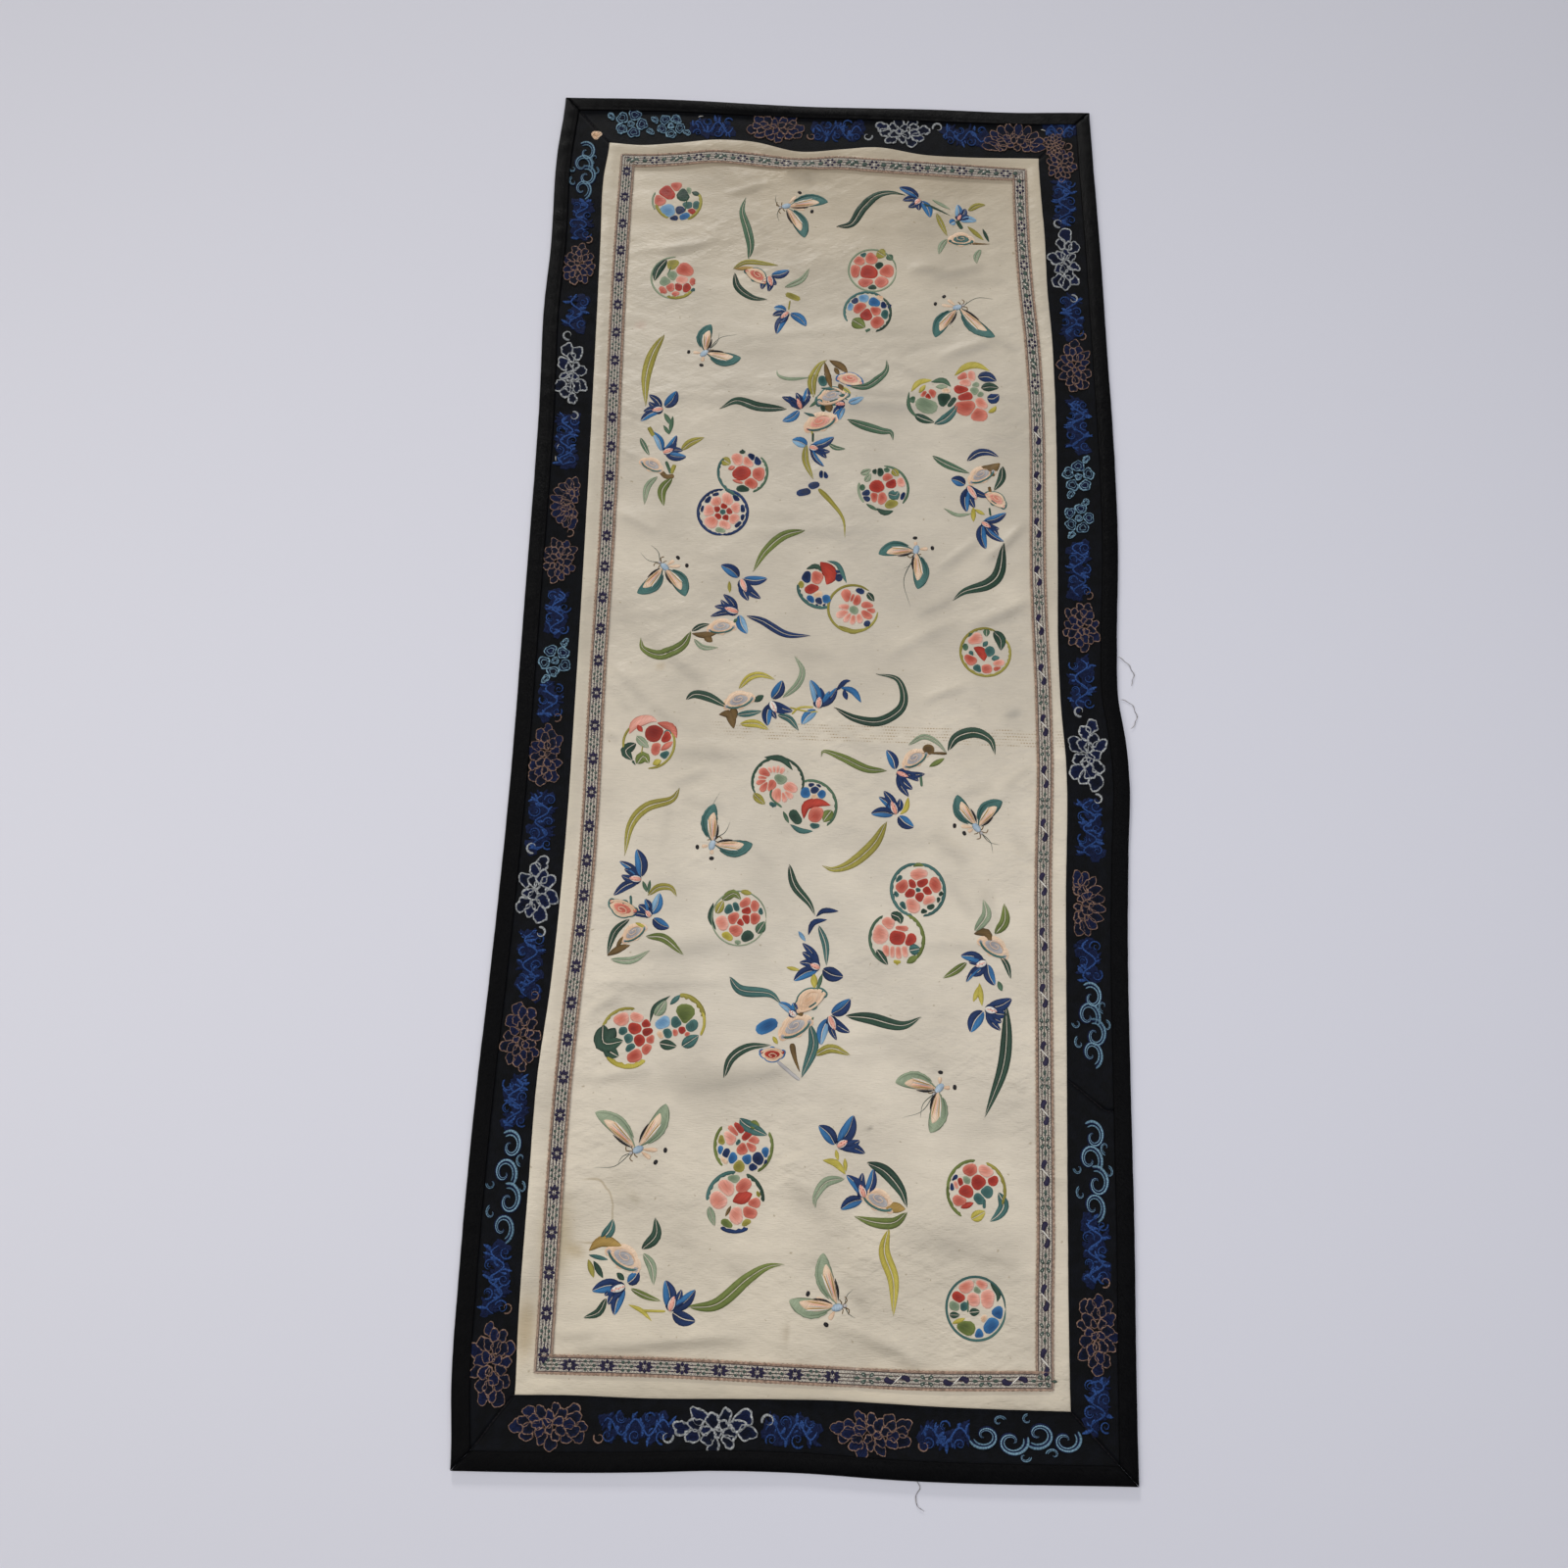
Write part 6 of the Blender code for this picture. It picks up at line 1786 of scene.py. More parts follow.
    def scroll(self, needle: Needle) -> None:
        """A wavy stem with ragged leaves to both sides and a curl in each of its bays."""
        draw = needle.random.uniform
        bays = max(3, round(self.long / 10))
        share = np.linspace(-0.5, 0.5, 6 * bays + 1)
        sway = 0.20 * self.wide * np.sin(np.pi * bays * (share + 0.5))
        turn = round_angles(18)
        for k in range(2 * bays):
            ragged = 1 + 0.20 * np.sin(3 * turn + draw(0, 6)) + 0.12 * np.sin(7 * turn + draw(0, 6))
            place = ((k + 0.5) / (2 * bays) - 0.5) * self.long, draw(-0.22, 0.22) * self.wide
            needle.pad(self.spot(*place), draw(4.6, 7.0) * ragged, "deep", draw(0, 3), 0.0, 0.25, 0.2)
        for k in range(2 * len(share)):
            side = 1 if k % 2 else -1
            at = draw(-0.5, 0.5)
            root = np.array([at * self.long, np.interp(at, share, sway)])
            lean = np.radians(draw(25, 110)) * side
            tip = root + unit_at(lean) * draw(4, 9)
            tip[1] = np.clip(tip[1], -0.5 * self.wide, 0.5 * self.wide)
            bend = (root + tip) / 2 + draw(-1.2, 1.2, 2)
            tone = "deep" if draw() < 0.6 else "cobalt"
            needle.lay([self.spot(*root), self.spot(*bend), self.spot(*tip)], draw(2.2, 3.8), "leaf",
                       tone, None, draw(0.3, 0.6))
        stem = [self.spot(u * self.long, v) for u, v in zip(share, sway)]
        needle.fringe(stem, 1.8, self.tone)
        for k in range(bays):
            along = ((k + 0.5) / bays - 0.5) * self.long
            across = (-0.22 if k % 2 == 0 else 0.22) * self.wide
            way = 1 if k % 2 else -1
            start = draw(0, 360)
            self.curl(needle, along, across, draw(4.2, 5.4), start, way * draw(260, 340), 2.0)
            self.curl(needle, along, across, draw(1.8, 2.4), start + 90, way * 260, 1.2)


BORDER = {
    # x, y, kind, long, wide, and its turn where it has one
    "top": (
        (-186, 565, "round", 42, 30), (-148, 564, "round", 34, 26, 1), (-108, 564, "scroll", 38, 28),
        (-48, 565, "peony", 56, 29), (10, 564, "scroll", 46, 28), (72, 565, "bloom", 58, 28),
        (132, 563, "scroll", 40, 28), (178, 562, "fan", 60, 33), (222, 572, "scroll", 26, 18),
        (216, 556, "peony", 26, 20)),
    "left": (
        (-227, 512, "commas", 52, 26), (-226, 458, "scroll", 40, 26), (-225, 410, "peony", 46, 28),
        (-224, 360, "scroll", 34, 26), (-224, 296, "bloom", 70, 25), (-224, 232, "scroll", 48, 26),
        (-221, 172, "fan", 50, 28), (-222, 118, "peony", 44, 28), (-220, 70, "scroll", 40, 26),
        (-219, 27, "round", 36, 28, 0.5), (-220, -8, "scroll", 30, 26), (-221, -56, "peony", 56, 28),
        (-220, -112, "scroll", 46, 26), (-220, -168, "bloom", 60, 28), (-221, -228, "scroll", 50, 26),
        (-223, -285, "peony", 56, 29), (-224, -334, "scroll", 36, 26), (-226, -395, "commas", 76, 28),
        (-228, -462, "scroll", 48, 26), (-226, -520, "peony", 64, 30)),
    "right_upper": (
        (222, 534, "peony", 36, 28), (224, 494, "scroll", 50, 26), (224, 430, "bloom", 70, 27),
        (227, 372, "scroll", 42, 26), (229, 320, "peony", 54, 29), (230, 262, "scroll", 50, 26),
        (229, 212, "round", 38, 29), (228, 172, "round", 34, 27, 1), (227, 124, "scroll", 50, 26),
        (227, 72, "peony", 48, 30), (226, 20, "scroll", 44, 26), (230, -42, "bloom", 66, 29),
        (229, -104, "scroll", 46, 26), (226, -166, "fan", 56, 29, 180), (225, -212, "scroll", 34, 26),
        (225, -262, "commas", 56, 28)),
    "right_lower": (
        (223, -372, "commas", 66, 28), (223, -430, "scroll", 46, 26), (222, -488, "peony", 60, 29),
        (221, -538, "scroll", 36, 26)),
    "bottom": (
        (-180, -560, "peony", 60, 30), (-118, -560, "scroll", 50, 27), (-58, -560, "bloom", 64, 29),
        (-4, -560, "scroll", 38, 27), (56, -560, "peony", 62, 29), (108, -560, "scroll", 34, 27),
        (168, -560, "commas", 76, 30)),
}


@dataclass(frozen=True)
class RibbonFigures:
    """The woven figures along one length of ribbon, and the furry braid of its edges."""

    node: str
    side: Side
    low: float
    high: float
    first: float
    pitch: float
    main: str
    between: str

    def figures(self) -> list[tuple[str, float]]:
        """Main figures a pitch apart through the first one, and others half way."""
        low = np.ceil((self.low + 4 - self.first) / (self.pitch / 2))
        high = np.floor((self.high - 4 - self.first) / (self.pitch / 2))
        return [(self.main if k % 2 == 0 else self.between, self.first + k * self.pitch / 2)
                for k in range(int(low), int(high) + 1)]

    def ray(self, needle: Needle, at: float, ends: object, width: float, cut: str, tone: str,
            slant: float = 0.0, crown: float = 0.22) -> None:
        """A cut through places that are given from the figure's middle."""
        needle.lay([(at + x, y) for x, y in ends], width, cut, tone, slant, crown)

    def star(self, needle: Needle, at: float) -> None:
        """Eight dark rays round a pale dot."""
        for k in range(8):
            tip = unit_at(np.pi / 4 * k) * (6.2, 4.5) * (1.0 if k % 2 == 0 else 1.05)
            self.ray(needle, at, (tip * 0.22, tip), 3.0, "blade", "plum", 0, 0.25)
        needle.dot((at, 0), 0.5, 1.0, "grey", 0, 0.35)

    def lattice(self, needle: Needle, at: float) -> None:
        """A green flower of small rings with a dot at each corner."""
        for place in unit_at(np.pi / 3 * np.arange(6)) * (4.2, 3.2) + (at, 0):
            needle.dot(place, 1.3, 2.3, "lattice", 40, 0.22)
        needle.dot((at, 0), 0.9, 1.5, "lattice", 40, 0.3)
        for x, y in ((-6.6, 2.4), (6.6, 2.4), (-6.6, -2.4), (6.6, -2.4), (-7.4, 0), (7.4, 0)):
            needle.dot((at + x, y), 0.7, 1.2, "plum", 0, 0.2)

    def spindle(self, needle: Needle, at: float) -> None:
        """A dark flower of six round petals with a pale eye, and a green blade at both ends."""
        for place in unit_at(np.pi / 3 * np.arange(6)) * (3.9, 2.9) + (at, 0):
            needle.dot(place, 1.4, 2.7, "plum", 0, 0.28)
        needle.dot((at, 0), 0.9, 1.5, "white", 0, 0.3)
        for side in (-1, 1):
            blade = np.array([(6.2, -0.6), (11.4, 1.4)]) * side
            seed = np.array([(8.2, -3.0), (10.4, -2.6)]) * side
            self.ray(needle, at, blade, 4.6, "blade", "lattice", 20)
            self.ray(needle, at, seed, 2.2, "oval", "plum", 0, 0.25)

    def dots(self, needle: Needle, at: float) -> None:
        """A tuft of green blades with dark and pale dots between flowers."""
        for ends in (((-6.0, -1.8), (-0.6, 2.4)), ((-2.2, -3.0), (3.0, 1.0)), ((1.2, 3.2), (6.4, -0.8))):
            self.ray(needle, at, ends, 3.2, "blade", "lattice", 20)
        for x, y, tone in ((-4.2, 2.8, "plum"), (4.6, -3.0, "plum"), (-0.4, 0.1, "white"),
                           (3.0, 2.6, "white")):
            needle.dot((at + x, y), 0.9, 1.5, tone, 0, 0.3)

    def curve(self, needle: Needle, at: float) -> None:
        """Two dark commas joined by a pale diagonal."""
        for side in (-1, 1):
            comma = np.array([(1.2, 1.0), (5.0, 1.8), (9.4, -0.6)]) * side
            blade = np.array([(3.0, -2.0), (6.5, -2.2)]) * side
            self.ray(needle, at, comma, 5.2, "petal", "plum", 0, 0.28)
            self.ray(needle, at, blade, 1.2, "blade", "lattice")
        self.ray(needle, at, ((-3.2, -2.8), (3.2, 2.8)), 1.0, "line", "white", 0, 0.34)

    def blossom(self, needle: Needle, at: float) -> None:
        """A green-grey blossom of four petals with pale dots."""
        for tip in unit_at(np.pi / 4 + np.pi / 2 * np.arange(4)) * (6.4, 5.0):
            self.ray(needle, at, (tip * 0.2, tip), 3.4, "petal", "lattice", 30)
            needle.dot((at + tip[0] * 0.7, tip[1] * 0.7), 0.4, 0.8, "white", 0, 0.38)
        for side in (-1, 1):
            self.ray(needle, at, ((side * 5.2, 0), (side * 10.0, 0)), 2.6, "blade", "lattice")

    def build(self, floss: bpy.types.Material, braid: bpy.types.Material) -> None:
        """The figures as one piece and the two braided edges as another."""
        middle = (SIZES.ribbon_outer + SIZES.ribbon_inner) / 2 / MM
        needle = Needle(Layer.RIBBON, 300, side=self.side, depth=middle, sunk=0.08)
        for kind, at in self.figures():
            getattr(self, kind)(needle, at)
        needle.build(self.node + "_figures", floss, "ribbon_weave")
        edges = Needle(Layer.RIBBON, 301, side=self.side, depth=middle)
        for side in (-1, 1):
            for off, radius, wobble, over in ((6.35, 0.50, 0.50, 0.1), (5.5, 0.34, 0.20, 0.1)):
                run = np.linspace(self.low + 0.6, self.high - 0.6, 40)
                path = np.stack([run, np.full(40, side * off)], axis=1)
                edges.tube(path, radius, "braid", wobble, 3.4, over, 1.7)
        edges.build(self.node + "_braid", braid, "ribbon_weave")


RIBBONS = (
    RibbonFigures("ribbon_top", Side.TOP, -189, 189, -158, 41, "spindle", "dots"),
    RibbonFigures("ribbon_left", Side.LEFT, -529, 529, 283, 28.6, "star", "lattice"),
    RibbonFigures("ribbon_right_upper", Side.RIGHT, 284, 529, 508, 41, "spindle", "dots"),
    RibbonFigures("ribbon_right_lower", Side.RIGHT, -529, 281, 252, 44.9, "curve", "blossom"),
    RibbonFigures("ribbon_bottom_left", Side.BOTTOM, -189, 43, -164, 27.4, "star", "lattice"),
    RibbonFigures("ribbon_bottom_right", Side.BOTTOM, 46, 189, 75, 43, "curve", "blossom"),
)


# Old stitches left in the border, in mm. A row of the band is a short stitch's middle and
# angle, and the others are paths of thread
LOOSE_ENDS = {
    "band": ((192, 573, 20), (206, 572, -15), (-231, 226, 70), (-232, 214, 95), (-120, 575, 10)),
    "basting": (((52, -579), (62, -578.6)), ((66, -578.4), (77, -578.8)), ((81, -578.6), (91, -578)),
                ((95, -578), (104, -578.6))),
    "loose": (((258, 46), (266, 40), (271, 30), (268, 20)), ((259, 8), (268, 4), (272, -8), (267, -18)),
              ((86, -586), (90, -595), (87, -604), (93, -611))),
}


def dress_border(material: bpy.types.Material) -> None:
    """The border's flowers, curls and foliage, a piece for each length of band."""
    for number, (name, rows) in enumerate(BORDER.items(), 401):
        needle = Needle(Layer.BAND, number)
        for row in rows:
            motif = BorderMotif(*row)
            getattr(motif, motif.kind)(needle)
        needle.build(f"border_{name}_thread", material, "band_silk")


def seams(thread: bpy.types.Material) -> None:
    """The dark stitching on the border's mitres and joint, an old patch and loose threads."""
    needle = Needle(Layer.BAND, 500)
    depth = np.linspace(0.0146, 0.0462, 8)
    lines = [(side, high * (SIZES.half(True) - depth)) for side in (Side.LEFT, Side.RIGHT)
             for high in (1, -1)]
    joint = np.interp(depth, (SIZES.band_lands, SIZES.ground_edge), SIZES.band_joint)
    for side, along in (*lines, (Side.RIGHT, joint)):
        path = np.stack(on_side(side, along, depth), axis=1) / MM
        needle.tube(path, 0.5, "black", 0.25, 3.2, 0.0, 1.2)
    lumps = 1 + 0.12 * np.sin(3 * round_angles(18))
    needle.pad((-218, 551), np.linspace(5.5, 4.0, 18) * lumps, "peach", 0.5, 0.1, 0.5)
    for x, y, angle in LOOSE_ENDS["band"]:
        step = unit_at(np.radians(angle)) * 2.4
        needle.tube([(x - step[0], y - step[1]), (x, y + 0.3), (x + step[0], y + step[1])], 0.4, "white")
    needle.build("border_seams", thread, "band_silk")
    needle = Needle(Layer.BINDING, 501)
    for row in LOOSE_ENDS["basting"]:
        needle.tube(row, 0.4, "white", 0.0, 3.0, 0.1)
    for row in LOOSE_ENDS["loose"]:
        needle.tube(row, 0.3, "grey", 0.5, 9.0, -0.9)
    needle.build("binding_threads", thread, "binding_satin")


def embroider(material: bpy.types.Material) -> None:
    """Every roundel, spray and butterfly of the ground, a piece each."""
    for number, text in enumerate(ROUNDELS, 1):
        needle = Needle(Layer.GROUND, number)
        needle.sew(text)
        needle.build(f"roundel_{number:02d}", material, "ground_satin")
    for number, (name, text) in enumerate(SPRAYS.items(), 101):
        needle = Needle(Layer.GROUND, number)
        needle.sew(text, 1.15)
        needle.build(f"spray_{name}", material, "ground_satin")
    for number, row in enumerate(BUTTERFLIES, 1):
        needle = Needle(Layer.GROUND, 200 + number)
        Butterfly(row[0], row[1:3], row[3:5], row[5:7], row[7]).sew(needle)
        needle.build(f"butterfly_{number:02d}", material, "ground_satin")


class Graph:
    """Adds nodes to one material and links them."""

    def __init__(self, name: str, **settings: object) -> None:
        """Make the material and set its shader's own sockets."""
        self.material = bpy.data.materials.new(name)
        self.material.use_nodes = True
        self.tree = self.material.node_tree
        self.shader = self.tree.nodes["Principled BSDF"]
        self.fill(self.shader, {key.replace("_", " "): value for key, value in settings.items()})

    def fill(self, node: bpy.types.Node, sockets: dict) -> None:
        """Set each input from a value, or link it where the value is a socket."""
        for socket, value in sockets.items():
            if isinstance(value, bpy.types.NodeSocket):
                self.tree.links.new(value, node.inputs[socket])
            else:
                node.inputs[socket].default_value = value

    def add(self, kind: str, sockets: dict | None = None, **settings: object) -> bpy.types.Node:
        """One node with its settings, values and links."""
        node = self.tree.nodes.new("ShaderNode" + kind)
        for key, value in settings.items():
            setattr(node, key, value)
        self.fill(node, sockets or {})
        return node

    def math(self, operation: str, *values: object) -> bpy.types.NodeSocket:
        """Result of one sum on values or sockets."""
        node = self.add("Math", dict(enumerate(values)), operation=operation)
        return node.outputs[0]

    def noise(self, place: bpy.types.NodeSocket, scale: tuple,
              detail: float = 2.0) -> bpy.types.NodeSocket:
        """Noise from 0 to 1, with one scale for each axis."""
        scaled = self.add("Mapping", {"Vector": place, "Scale": scale}).outputs[0]
        return self.add("TexNoise", {"Vector": scaled, "Scale": 1.0, "Detail": detail}).outputs[0]

    def ramp(self, value: bpy.types.NodeSocket, low: float, high: float, start: float = 0.0,
             end: float = 1.0) -> bpy.types.NodeSocket:
        """The value's run from low to high laid on start to end, and level beyond."""
        sockets = {"Value": value, "From Min": low, "From Max": high, "To Min": start, "To Max": end}
        return self.add("MapRange", sockets).outputs[0]

    def scaled(self, colour: object, factor: bpy.types.NodeSocket) -> bpy.types.NodeSocket:
        """A colour times a number."""
        return self.add("VectorMath", {0: colour, "Scale": factor}, operation="SCALE").outputs[0]

    def mixed(self, share: object, first: object, second: object) -> bpy.types.NodeSocket:
        """The first colour, or the second by the share."""
        node = self.add("Mix", {0: share, 6: first, 7: second}, data_type="RGBA")
        return node.outputs[2]

    def bump(self, height: bpy.types.NodeSocket, depth: float) -> None:
        """Bump of the shader's normal, with its full depth in metres."""
        node = self.add("Bump", {"Height": height, "Distance": depth, "Strength": 1.0})
        self.fill(self.shader, {"Normal": node.outputs[0]})

    @property
    def place(self) -> bpy.types.NodeSocket:
        """Object coordinates, which are the row frame's metres."""
        return self.add("TexCoord").outputs["Object"]

    @property
    def stitch(self) -> bpy.types.NodeSocket:
        """The piece's own map, in mm along and across its threads."""
        return self.add("UVMap", uv_map="stitch").outputs[0]

    @property
    def tone(self) -> bpy.types.NodeSocket:
        """The colour kept at the piece's points."""
        return self.add("Attribute", attribute_name="floss").outputs["Color"]


@dataclass(frozen=True)
class Finish:
    """The finish of one kind of cloth or thread."""

    name: str = "finish"
    roughness: float = 0.5

    def build(self) -> bpy.types.Material:
        """The finished material."""
        graph = Graph(self.name, Roughness=self.roughness)
        self.draw(graph)
        return graph.material

    def draw(self, graph: Graph) -> None:
        """Add this finish's nodes."""
        raise NotImplementedError


@dataclass(frozen=True)
class GroundSatin(Finish):
    """Aged silk satin: long floats on the face give a soft, broad shine and a fine rib.

    Age has stained it brown and mottled it lighter and darker, the mottle partly painted shade and sheen of
    its soft folds, and an old seam has left rows of tan needle marks.
    The rib is drawn 0.7 mm wide, coarser than the real 0.1 mm, which wouldn't show.
    """

    name: str = "ground_satin"
    roughness: float = 0.43
    rows_low: float = -0.0365
    rows_high: float = -0.0205
    row_pitch: float = 0.0026
    mark_pitch: float = 0.0024
    ring_x: float = -0.170
    ring_y: float = -0.412
    ring_radius: float = 0.028
    speck_tone: str = "#93805C"
    ring_tone: str = "#A08C66"
    mark_tone: str = "#95794C"

    def marks(self, graph: Graph) -> bpy.types.NodeSocket:
        """Old needle marks: dashes in rows, inside a band across the panel."""
        place = graph.add("SeparateXYZ", {0: graph.place}).outputs
        wobble = graph.math("MULTIPLY", graph.noise(graph.place, (30, 30, 1)), 0.0012)
        y = graph.math("ADD", place["Y"], wobble)
        row = graph.math("DIVIDE", graph.math("SUBTRACT", y, self.rows_low), self.row_pitch)
        across = graph.math("ABSOLUTE", graph.math("SUBTRACT", graph.math("FRACT", row), 0.5))
        line = graph.ramp(across, 0.10, 0.26, 1.0, 0.0)
        shift = graph.math("MULTIPLY", graph.math("FLOOR", row), 0.37)
        run = graph.math("ADD", graph.math("DIVIDE", place["X"], self.mark_pitch), shift)
        dash = graph.ramp(graph.math("PINGPONG", run, 0.5), 0.12, 0.24)
        worn = graph.ramp(graph.noise(graph.place, (90, 160, 1)), 0.40, 0.62)
        low = graph.math("GREATER_THAN", y, self.rows_low)
        high = graph.math("LESS_THAN", y, self.rows_high)
        left = graph.ramp(place["X"], -0.10, -0.06)
        found = line
        for part in (dash, worn, low, high, left):
            found = graph.math("MULTIPLY", found, part)
        return found

    def ring(self, graph: Graph) -> bpy.types.NodeSocket:
        """The dried edge of an old water mark low on the left: part of a thin, uneven circle."""
        place = graph.add("SeparateXYZ", {0: graph.place}).outputs
        x = graph.math("SUBTRACT", place["X"], self.ring_x)
        y = graph.math("SUBTRACT", place["Y"], self.ring_y)
        square = graph.math("ADD", graph.math("MULTIPLY", x, x), graph.math("MULTIPLY", y, y))
        sway = graph.math("MULTIPLY", graph.noise(graph.place, (40, 40, 1)), 0.008)
        out = graph.math("ADD", graph.math("SQRT", square), sway)
        off = graph.math("ABSOLUTE", graph.math("SUBTRACT", out, self.ring_radius))
        line = graph.ramp(off, 0.0003, 0.0012, 1.0, 0.0)
        return graph.math("MULTIPLY", line, graph.ramp(x, -0.004, 0.006))

    def draw(self, graph: Graph) -> None:
        """Stained ivory, mottled lighter and darker by age and by painted shade and sheen, streaked, with
        needle marks and small specks.
        """
        # Broad lighter and darker patches: partly age, partly painted shade and sheen of the soft folds
        shade_and_mottle = graph.ramp(graph.noise(graph.place, (14, 14, 1), 4), 0.3, 0.7, 0.88, 1.09)
        streak = graph.ramp(graph.noise(graph.place, (90, 700, 1), 3), 0.3, 0.7, 0.965, 1.03)
        tone = graph.scaled(graph.tone, graph.math("MULTIPLY", shade_and_mottle, streak))
        speck = graph.ramp(graph.noise(graph.place, (230, 230, 1), 1), 0.74, 0.80, 0.0, 0.55)
        tone = graph.mixed(speck, tone, linear(self.speck_tone))
        tone = graph.mixed(graph.math("MULTIPLY", self.ring(graph), 0.55), tone, linear(self.ring_tone))
        marks = graph.math("MULTIPLY", self.marks(graph), 0.75)
        tone = graph.mixed(marks, tone, linear(self.mark_tone))
        graph.fill(graph.shader, {"Base Color": tone, "Sheen Weight": 0.1, "Specular IOR Level": 0.5})
        rib = graph.noise(graph.place, (160, 1400, 1), 3)
        crumples = []
        for angle, scale in ((-0.45, (26, 78, 1)), (0.35, (34, 92, 1))):
            turned = graph.add("VectorRotate", {"Vector": graph.place, "Angle": angle})
            crumples.append(graph.noise(turned.outputs["Vector"], scale, 4))
        worn = graph.ramp(graph.noise(graph.place, (7, 9, 1), 2), 0.38, 0.66, 0.15, 1.0)
        relief = graph.math("MULTIPLY", graph.math("ADD", *crumples), worn)
        graph.bump(graph.math("ADD", graph.math("MULTIPLY", rib, 0.12), relief), 0.0026)


@dataclass(frozen=True)
class RibbonWeave(Finish):
    """Narrow woven silk: a matt ivory middle, with soft pinkish brown braid at both edges.

    Its scales are in mm, and the weft's rib is about 0.3 mm, as on real ribbon.
    """

    name: str = "ribbon_weave"
    roughness: float = 0.8
    half_middle: float = 4.8
    ivory: str = "#C8BFAE"
    figure: str = "#3C3A46"
    braid: str = "#BCA592"
    seam: str = "#46342F"

    def draw(self, graph: Graph) -> None:
        """The two tones by the distance from the ribbon's middle, ribbed by the weft."""
        across = graph.add("SeparateXYZ", {0: graph.stitch}).outputs["Y"]
        edge = graph.ramp(graph.math("ABSOLUTE", across), self.half_middle - 0.2, self.half_middle + 0.2)
        figured = graph.ramp(graph.noise(graph.stitch, (1.1, 1.5, 1), 1), 0.50, 0.58)
        middle = graph.mixed(graph.math("MULTIPLY", figured, 0.85), linear(self.ivory), linear(self.figure))
        beyond = graph.math("SUBTRACT", graph.math("ABSOLUTE", across), self.half_middle)
        line = graph.ramp(graph.math("PINGPONG", beyond, 1.2), 0.25, 0.5, 0.95, 0.0)
        tone = graph.mixed(edge, middle, linear(self.braid))
        tone = graph.mixed(line, tone, linear(self.seam))
        rib = graph.noise(graph.stitch, (3.2, 0.9, 1), 2)
        tone = graph.scaled(tone, graph.ramp(rib, 0.3, 0.7, 0.84, 1.12))
        graph.fill(graph.shader, {"Base Color": tone, "Sheen Weight": 0.2})
        graph.bump(rib, 0.0004)


@dataclass(frozen=True)
class BandSilk(Finish):
    """Dark navy silk under dense embroidery: close threads that catch little light.

    They are drawn 0.4 mm wide, coarser than the real ones, which wouldn't show.
    """

    name: str = "band_silk"
    roughness: float = 0.62
    darker: str = "#030406"
    lighter: str = "#07090F"

    def draw(self, graph: Graph) -> None:
        """Near-black navy, broken by patches of thread laid along and across."""
        thread = graph.noise(graph.stitch, (0.35, 2.4, 1), 3)
        patch = graph.noise(graph.place, (110, 110, 1), 3)
        tone = graph.mixed(graph.ramp(patch, 0.40, 0.62), linear(self.darker), linear(self.lighter))
        tone = graph.scaled(tone, graph.ramp(thread, 0.3, 0.7, 0.7, 1.35))
        graph.fill(graph.shader, {"Base Color": tone, "Specular IOR Level": 0.12})
        graph.bump(thread, 0.0006)


@dataclass(frozen=True)
class BindingSatin(Finish):
    """Black cotton satin: dyed through, so only a faint grey shine shows where it turns.

    The rib is drawn 0.6 mm wide, coarser than the real one, which wouldn't show.
    """

    name: str = "binding_satin"
    roughness: float = 0.42

    def draw(self, graph: Graph) -> None:
        """Nearly black with a fine rib across the strip."""
        rib = graph.noise(graph.stitch, (1.6, 0.25, 1), 3)
        tone = graph.scaled(linear("#030304")[:3], graph.ramp(rib, 0.3, 0.7, 0.75, 1.3))
        graph.fill(graph.shader, {"Base Color": tone, "Specular IOR Level": 0.06})
        graph.bump(rib, 0.0005)


@dataclass(frozen=True)
class Thread(Finish):
    """Thick twisted thread in loops: matt, with dark gaps between its turns, a real 0.75 mm apart."""

    name: str = "looped_thread"
    roughness: float = 0.72
    pitch: float = 0.75

    def draw(self, graph: Graph) -> None:
        """The thread's tone, darker between the loops that run across it."""
        turn = graph.noise(graph.stitch, (0.35, 1 / self.pitch, 1), 1)
        tone = graph.scaled(graph.tone, graph.ramp(turn, 0.36, 0.62, 0.45, 1.2))
        graph.fill(graph.shader, {"Base Color": tone, "Specular IOR Level": 0.12})
        graph.bump(turn, 0.0008)


@dataclass(frozen=True)
class Floss(Finish):
    """Untwisted silk floss in satin stitch: parallel strands with a bright, narrow shine.

    A strand is drawn 0.42 mm wide, twice the real one, which wouldn't show.
    """

    name: str = "floss_silk"
    roughness: float = 0.40
    pitch: float = 0.42

    def draw(self, graph: Graph) -> None:
        """The stitch tone, streaked along each strand, with the strands as fine ridges."""
        strand = graph.noise(graph.stitch, (0.12, 1 / self.pitch, 1), 2)
        tone = graph.scaled(graph.tone, graph.ramp(strand, 0.28, 0.72, 0.74, 1.22))
        graph.fill(graph.shader, {"Base Color": tone, "Specular IOR Level": 0.22})
        graph.bump(strand, 0.0004)


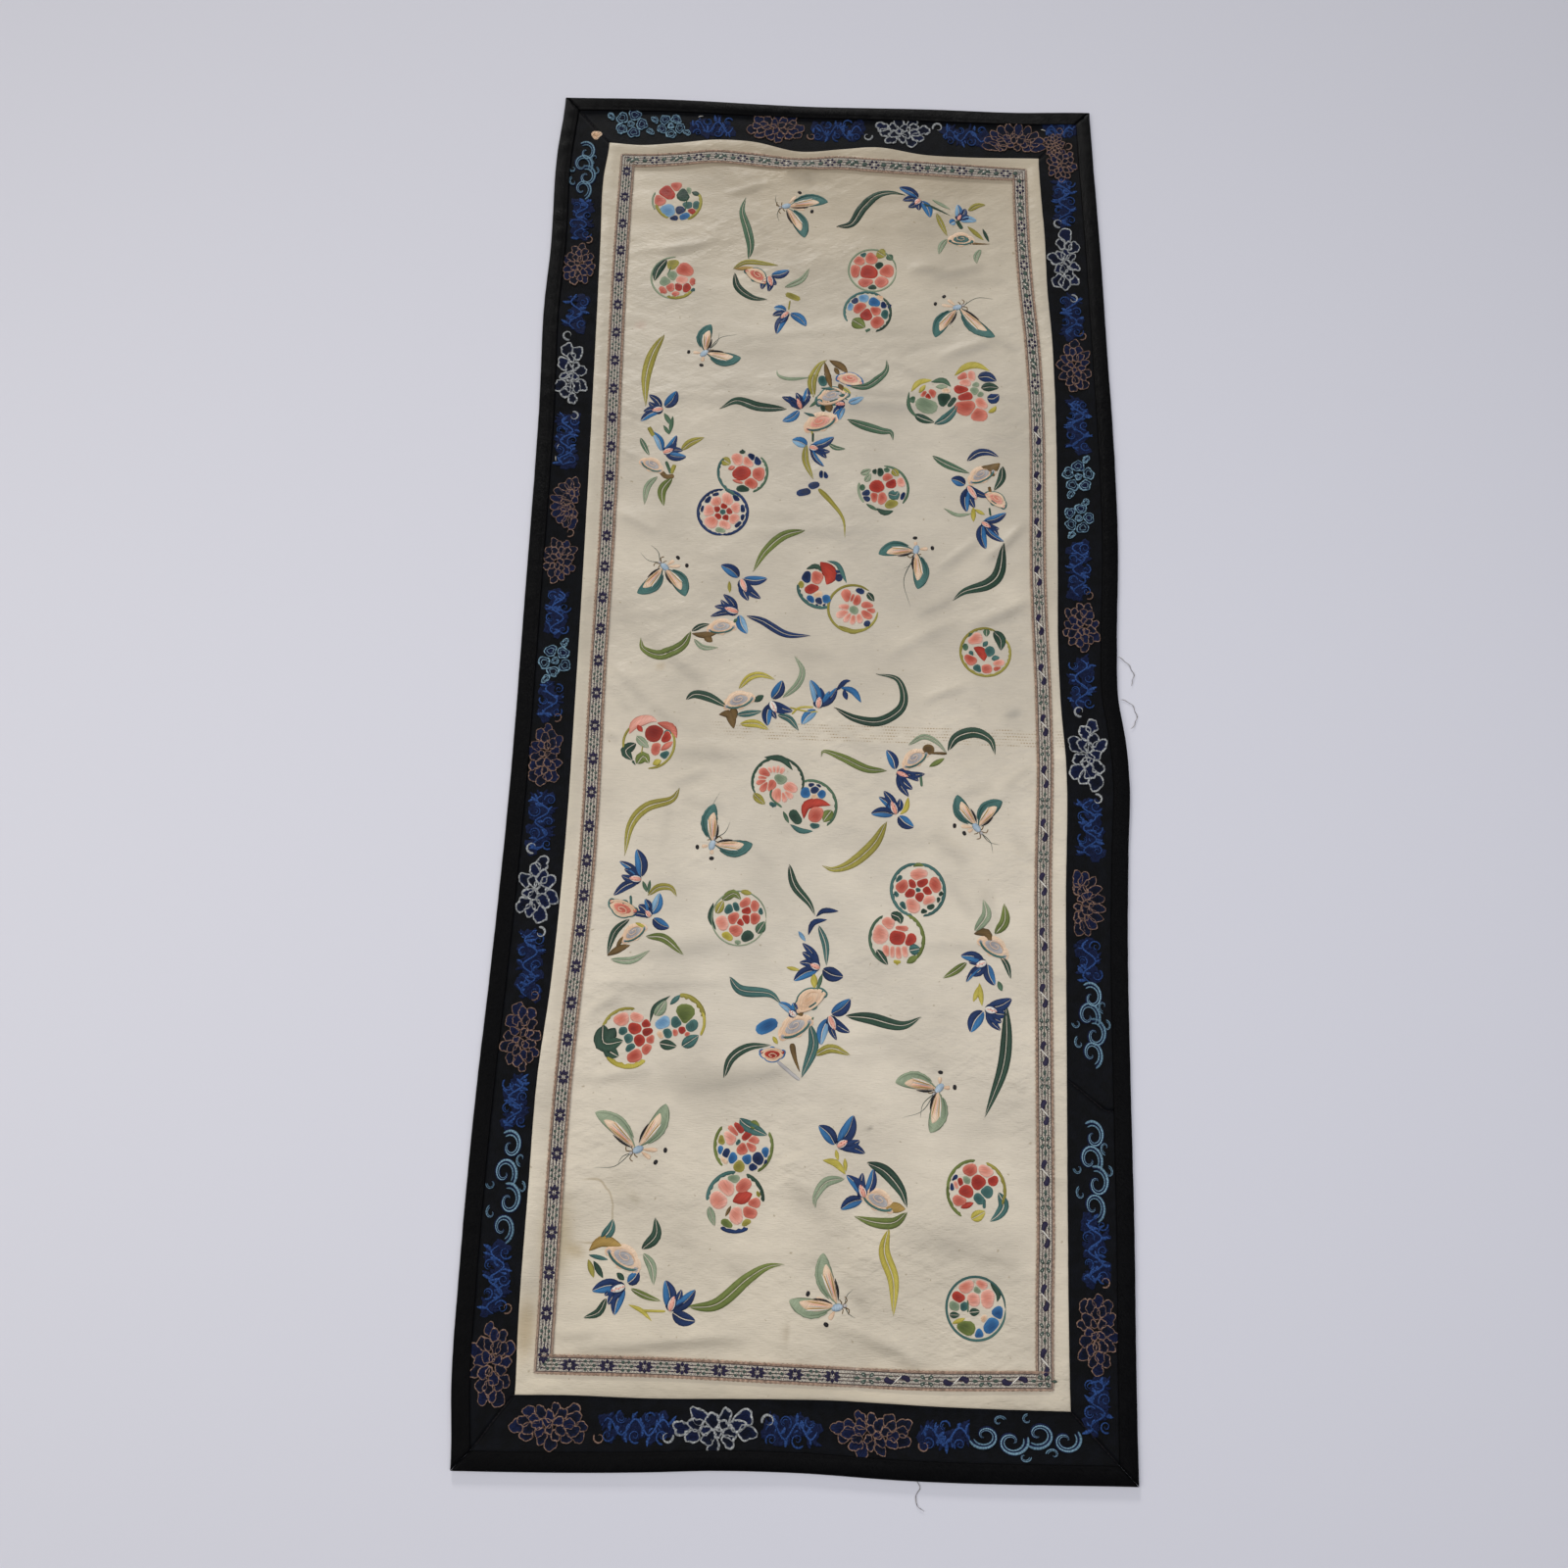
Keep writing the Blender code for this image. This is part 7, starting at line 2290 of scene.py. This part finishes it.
class Studio:
    """Floor, light and camera, which aren't part of the hanging."""

    eye = (-0.03002, -0.29715, 0.94847)
    axes = ((0.99956, 0.02779, 0.01050), (-0.02945, 0.97302, 0.22883), (-0.00385, -0.22904, 0.97341))
    lens = 27.045

    def floor(self) -> None:
        """A plain pale floor just under the hanging."""
        mesh = bpy.data.meshes.new("floor")
        edge, under = 3.0, -0.0002
        places = [(x * edge, y * edge, under) for x, y in ((-1, -1), (1, -1), (1, 1), (-1, 1))]
        mesh.from_pydata(places, [], [(0, 1, 2, 3)])
        graph = Graph("floor_paper", Base_Color=linear("#DCDCE4"), Roughness=0.9)
        mesh.materials.append(graph.material)
        plane = bpy.data.objects.new("floor", mesh)
        bpy.context.scene.collection.objects.link(plane)

    def lamp(self, name: str, place: tuple, size: float, power: float, tone: str) -> None:
        """A square area light aimed at the hanging's middle."""
        light = bpy.data.lights.new(name, "AREA")
        light.size, light.energy, light.color = size, power, linear(tone)[:3]
        item = bpy.data.objects.new(name, light)
        item.location = place
        item.rotation_euler = (-item.location).to_track_quat("-Z", "Y").to_euler()
        bpy.context.scene.collection.objects.link(item)

    def build(self) -> None:
        """Floor, lights, world, view and camera."""
        self.floor()
        self.lamp("window", (-1.25, -0.25, 1.5), 1.2, 13, "#FFFCF8")
        self.lamp("sky", (0.5, -0.3, 1.7), 1.4, 13.3, "#F8F9FF")
        self.lamp("rake", (-1.2, 6.0, 2.4), 0.9, 165, "#FFFDFA")
        scene = bpy.context.scene
        scene.world = bpy.data.worlds.new("room")
        scene.world.use_nodes = True
        background = scene.world.node_tree.nodes["Background"].inputs
        background["Color"].default_value = linear("#F2F4FA")
        background["Strength"].default_value = 0.22
        scene.view_settings.view_transform = "Standard"
        camera = bpy.data.cameras.new("camera")
        camera.lens, camera.sensor_width, camera.clip_start = self.lens, 36.0, 0.01
        item = bpy.data.objects.new("camera", camera)
        turn = Matrix([list(row) for row in zip(*self.axes)]).to_4x4()
        turn.translation = self.eye
        item.matrix_world = turn
        scene.collection.objects.link(item)
        scene.camera = item


def strips() -> list[Strip]:
    """Every length of ribbon and band, by side and ends."""
    change_y, change_x = ((0,), (SIZES.ribbon_change_y,)), ((0,), (SIZES.ribbon_change_x,))
    joint = ((SIZES.band_lands, SIZES.ground_edge), SIZES.band_joint)
    return [
        Strip("ribbon_top", Side.TOP, Layer.RIBBON),
        Strip("ribbon_left", Side.LEFT, Layer.RIBBON),
        Strip("ribbon_right_upper", Side.RIGHT, Layer.RIBBON, low_end=change_y),
        Strip("ribbon_right_lower", Side.RIGHT, Layer.RIBBON, high_end=change_y),
        Strip("ribbon_bottom_left", Side.BOTTOM, Layer.RIBBON, high_end=change_x),
        Strip("ribbon_bottom_right", Side.BOTTOM, Layer.RIBBON, low_end=change_x),
        Strip("band_top", Side.TOP, Layer.BAND),
        Strip("band_left", Side.LEFT, Layer.BAND),
        Strip("band_right_upper", Side.RIGHT, Layer.BAND, low_end=joint),
        Strip("band_right_lower", Side.RIGHT, Layer.BAND, high_end=joint),
        Strip("band_bottom", Side.BOTTOM, Layer.BAND),
    ]


def main() -> None:
    """Dress the whole hanging."""
    logging.basicConfig(level=logging.INFO, format="%(name)s %(message)s")
    ribbon, band, satin = RibbonWeave().build(), BandSilk().build(), BindingSatin().build()
    Ground().build(GroundSatin().build())
    for strip in strips():
        if strip.layer is Layer.BAND:
            strip.build(band, "band_silk")
        else:
            strip.build(ribbon, "ribbon_weave")
    for side in Side:
        Binding(side).build(satin)
    floss, thread = Floss().build(), Thread().build()
    embroider(floss)
    dress_border(thread)
    seams(thread)
    for ribbon_length in RIBBONS:
        ribbon_length.build(floss, thread)
    Studio().build()
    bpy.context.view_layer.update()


if __name__ == "__main__":
    main()
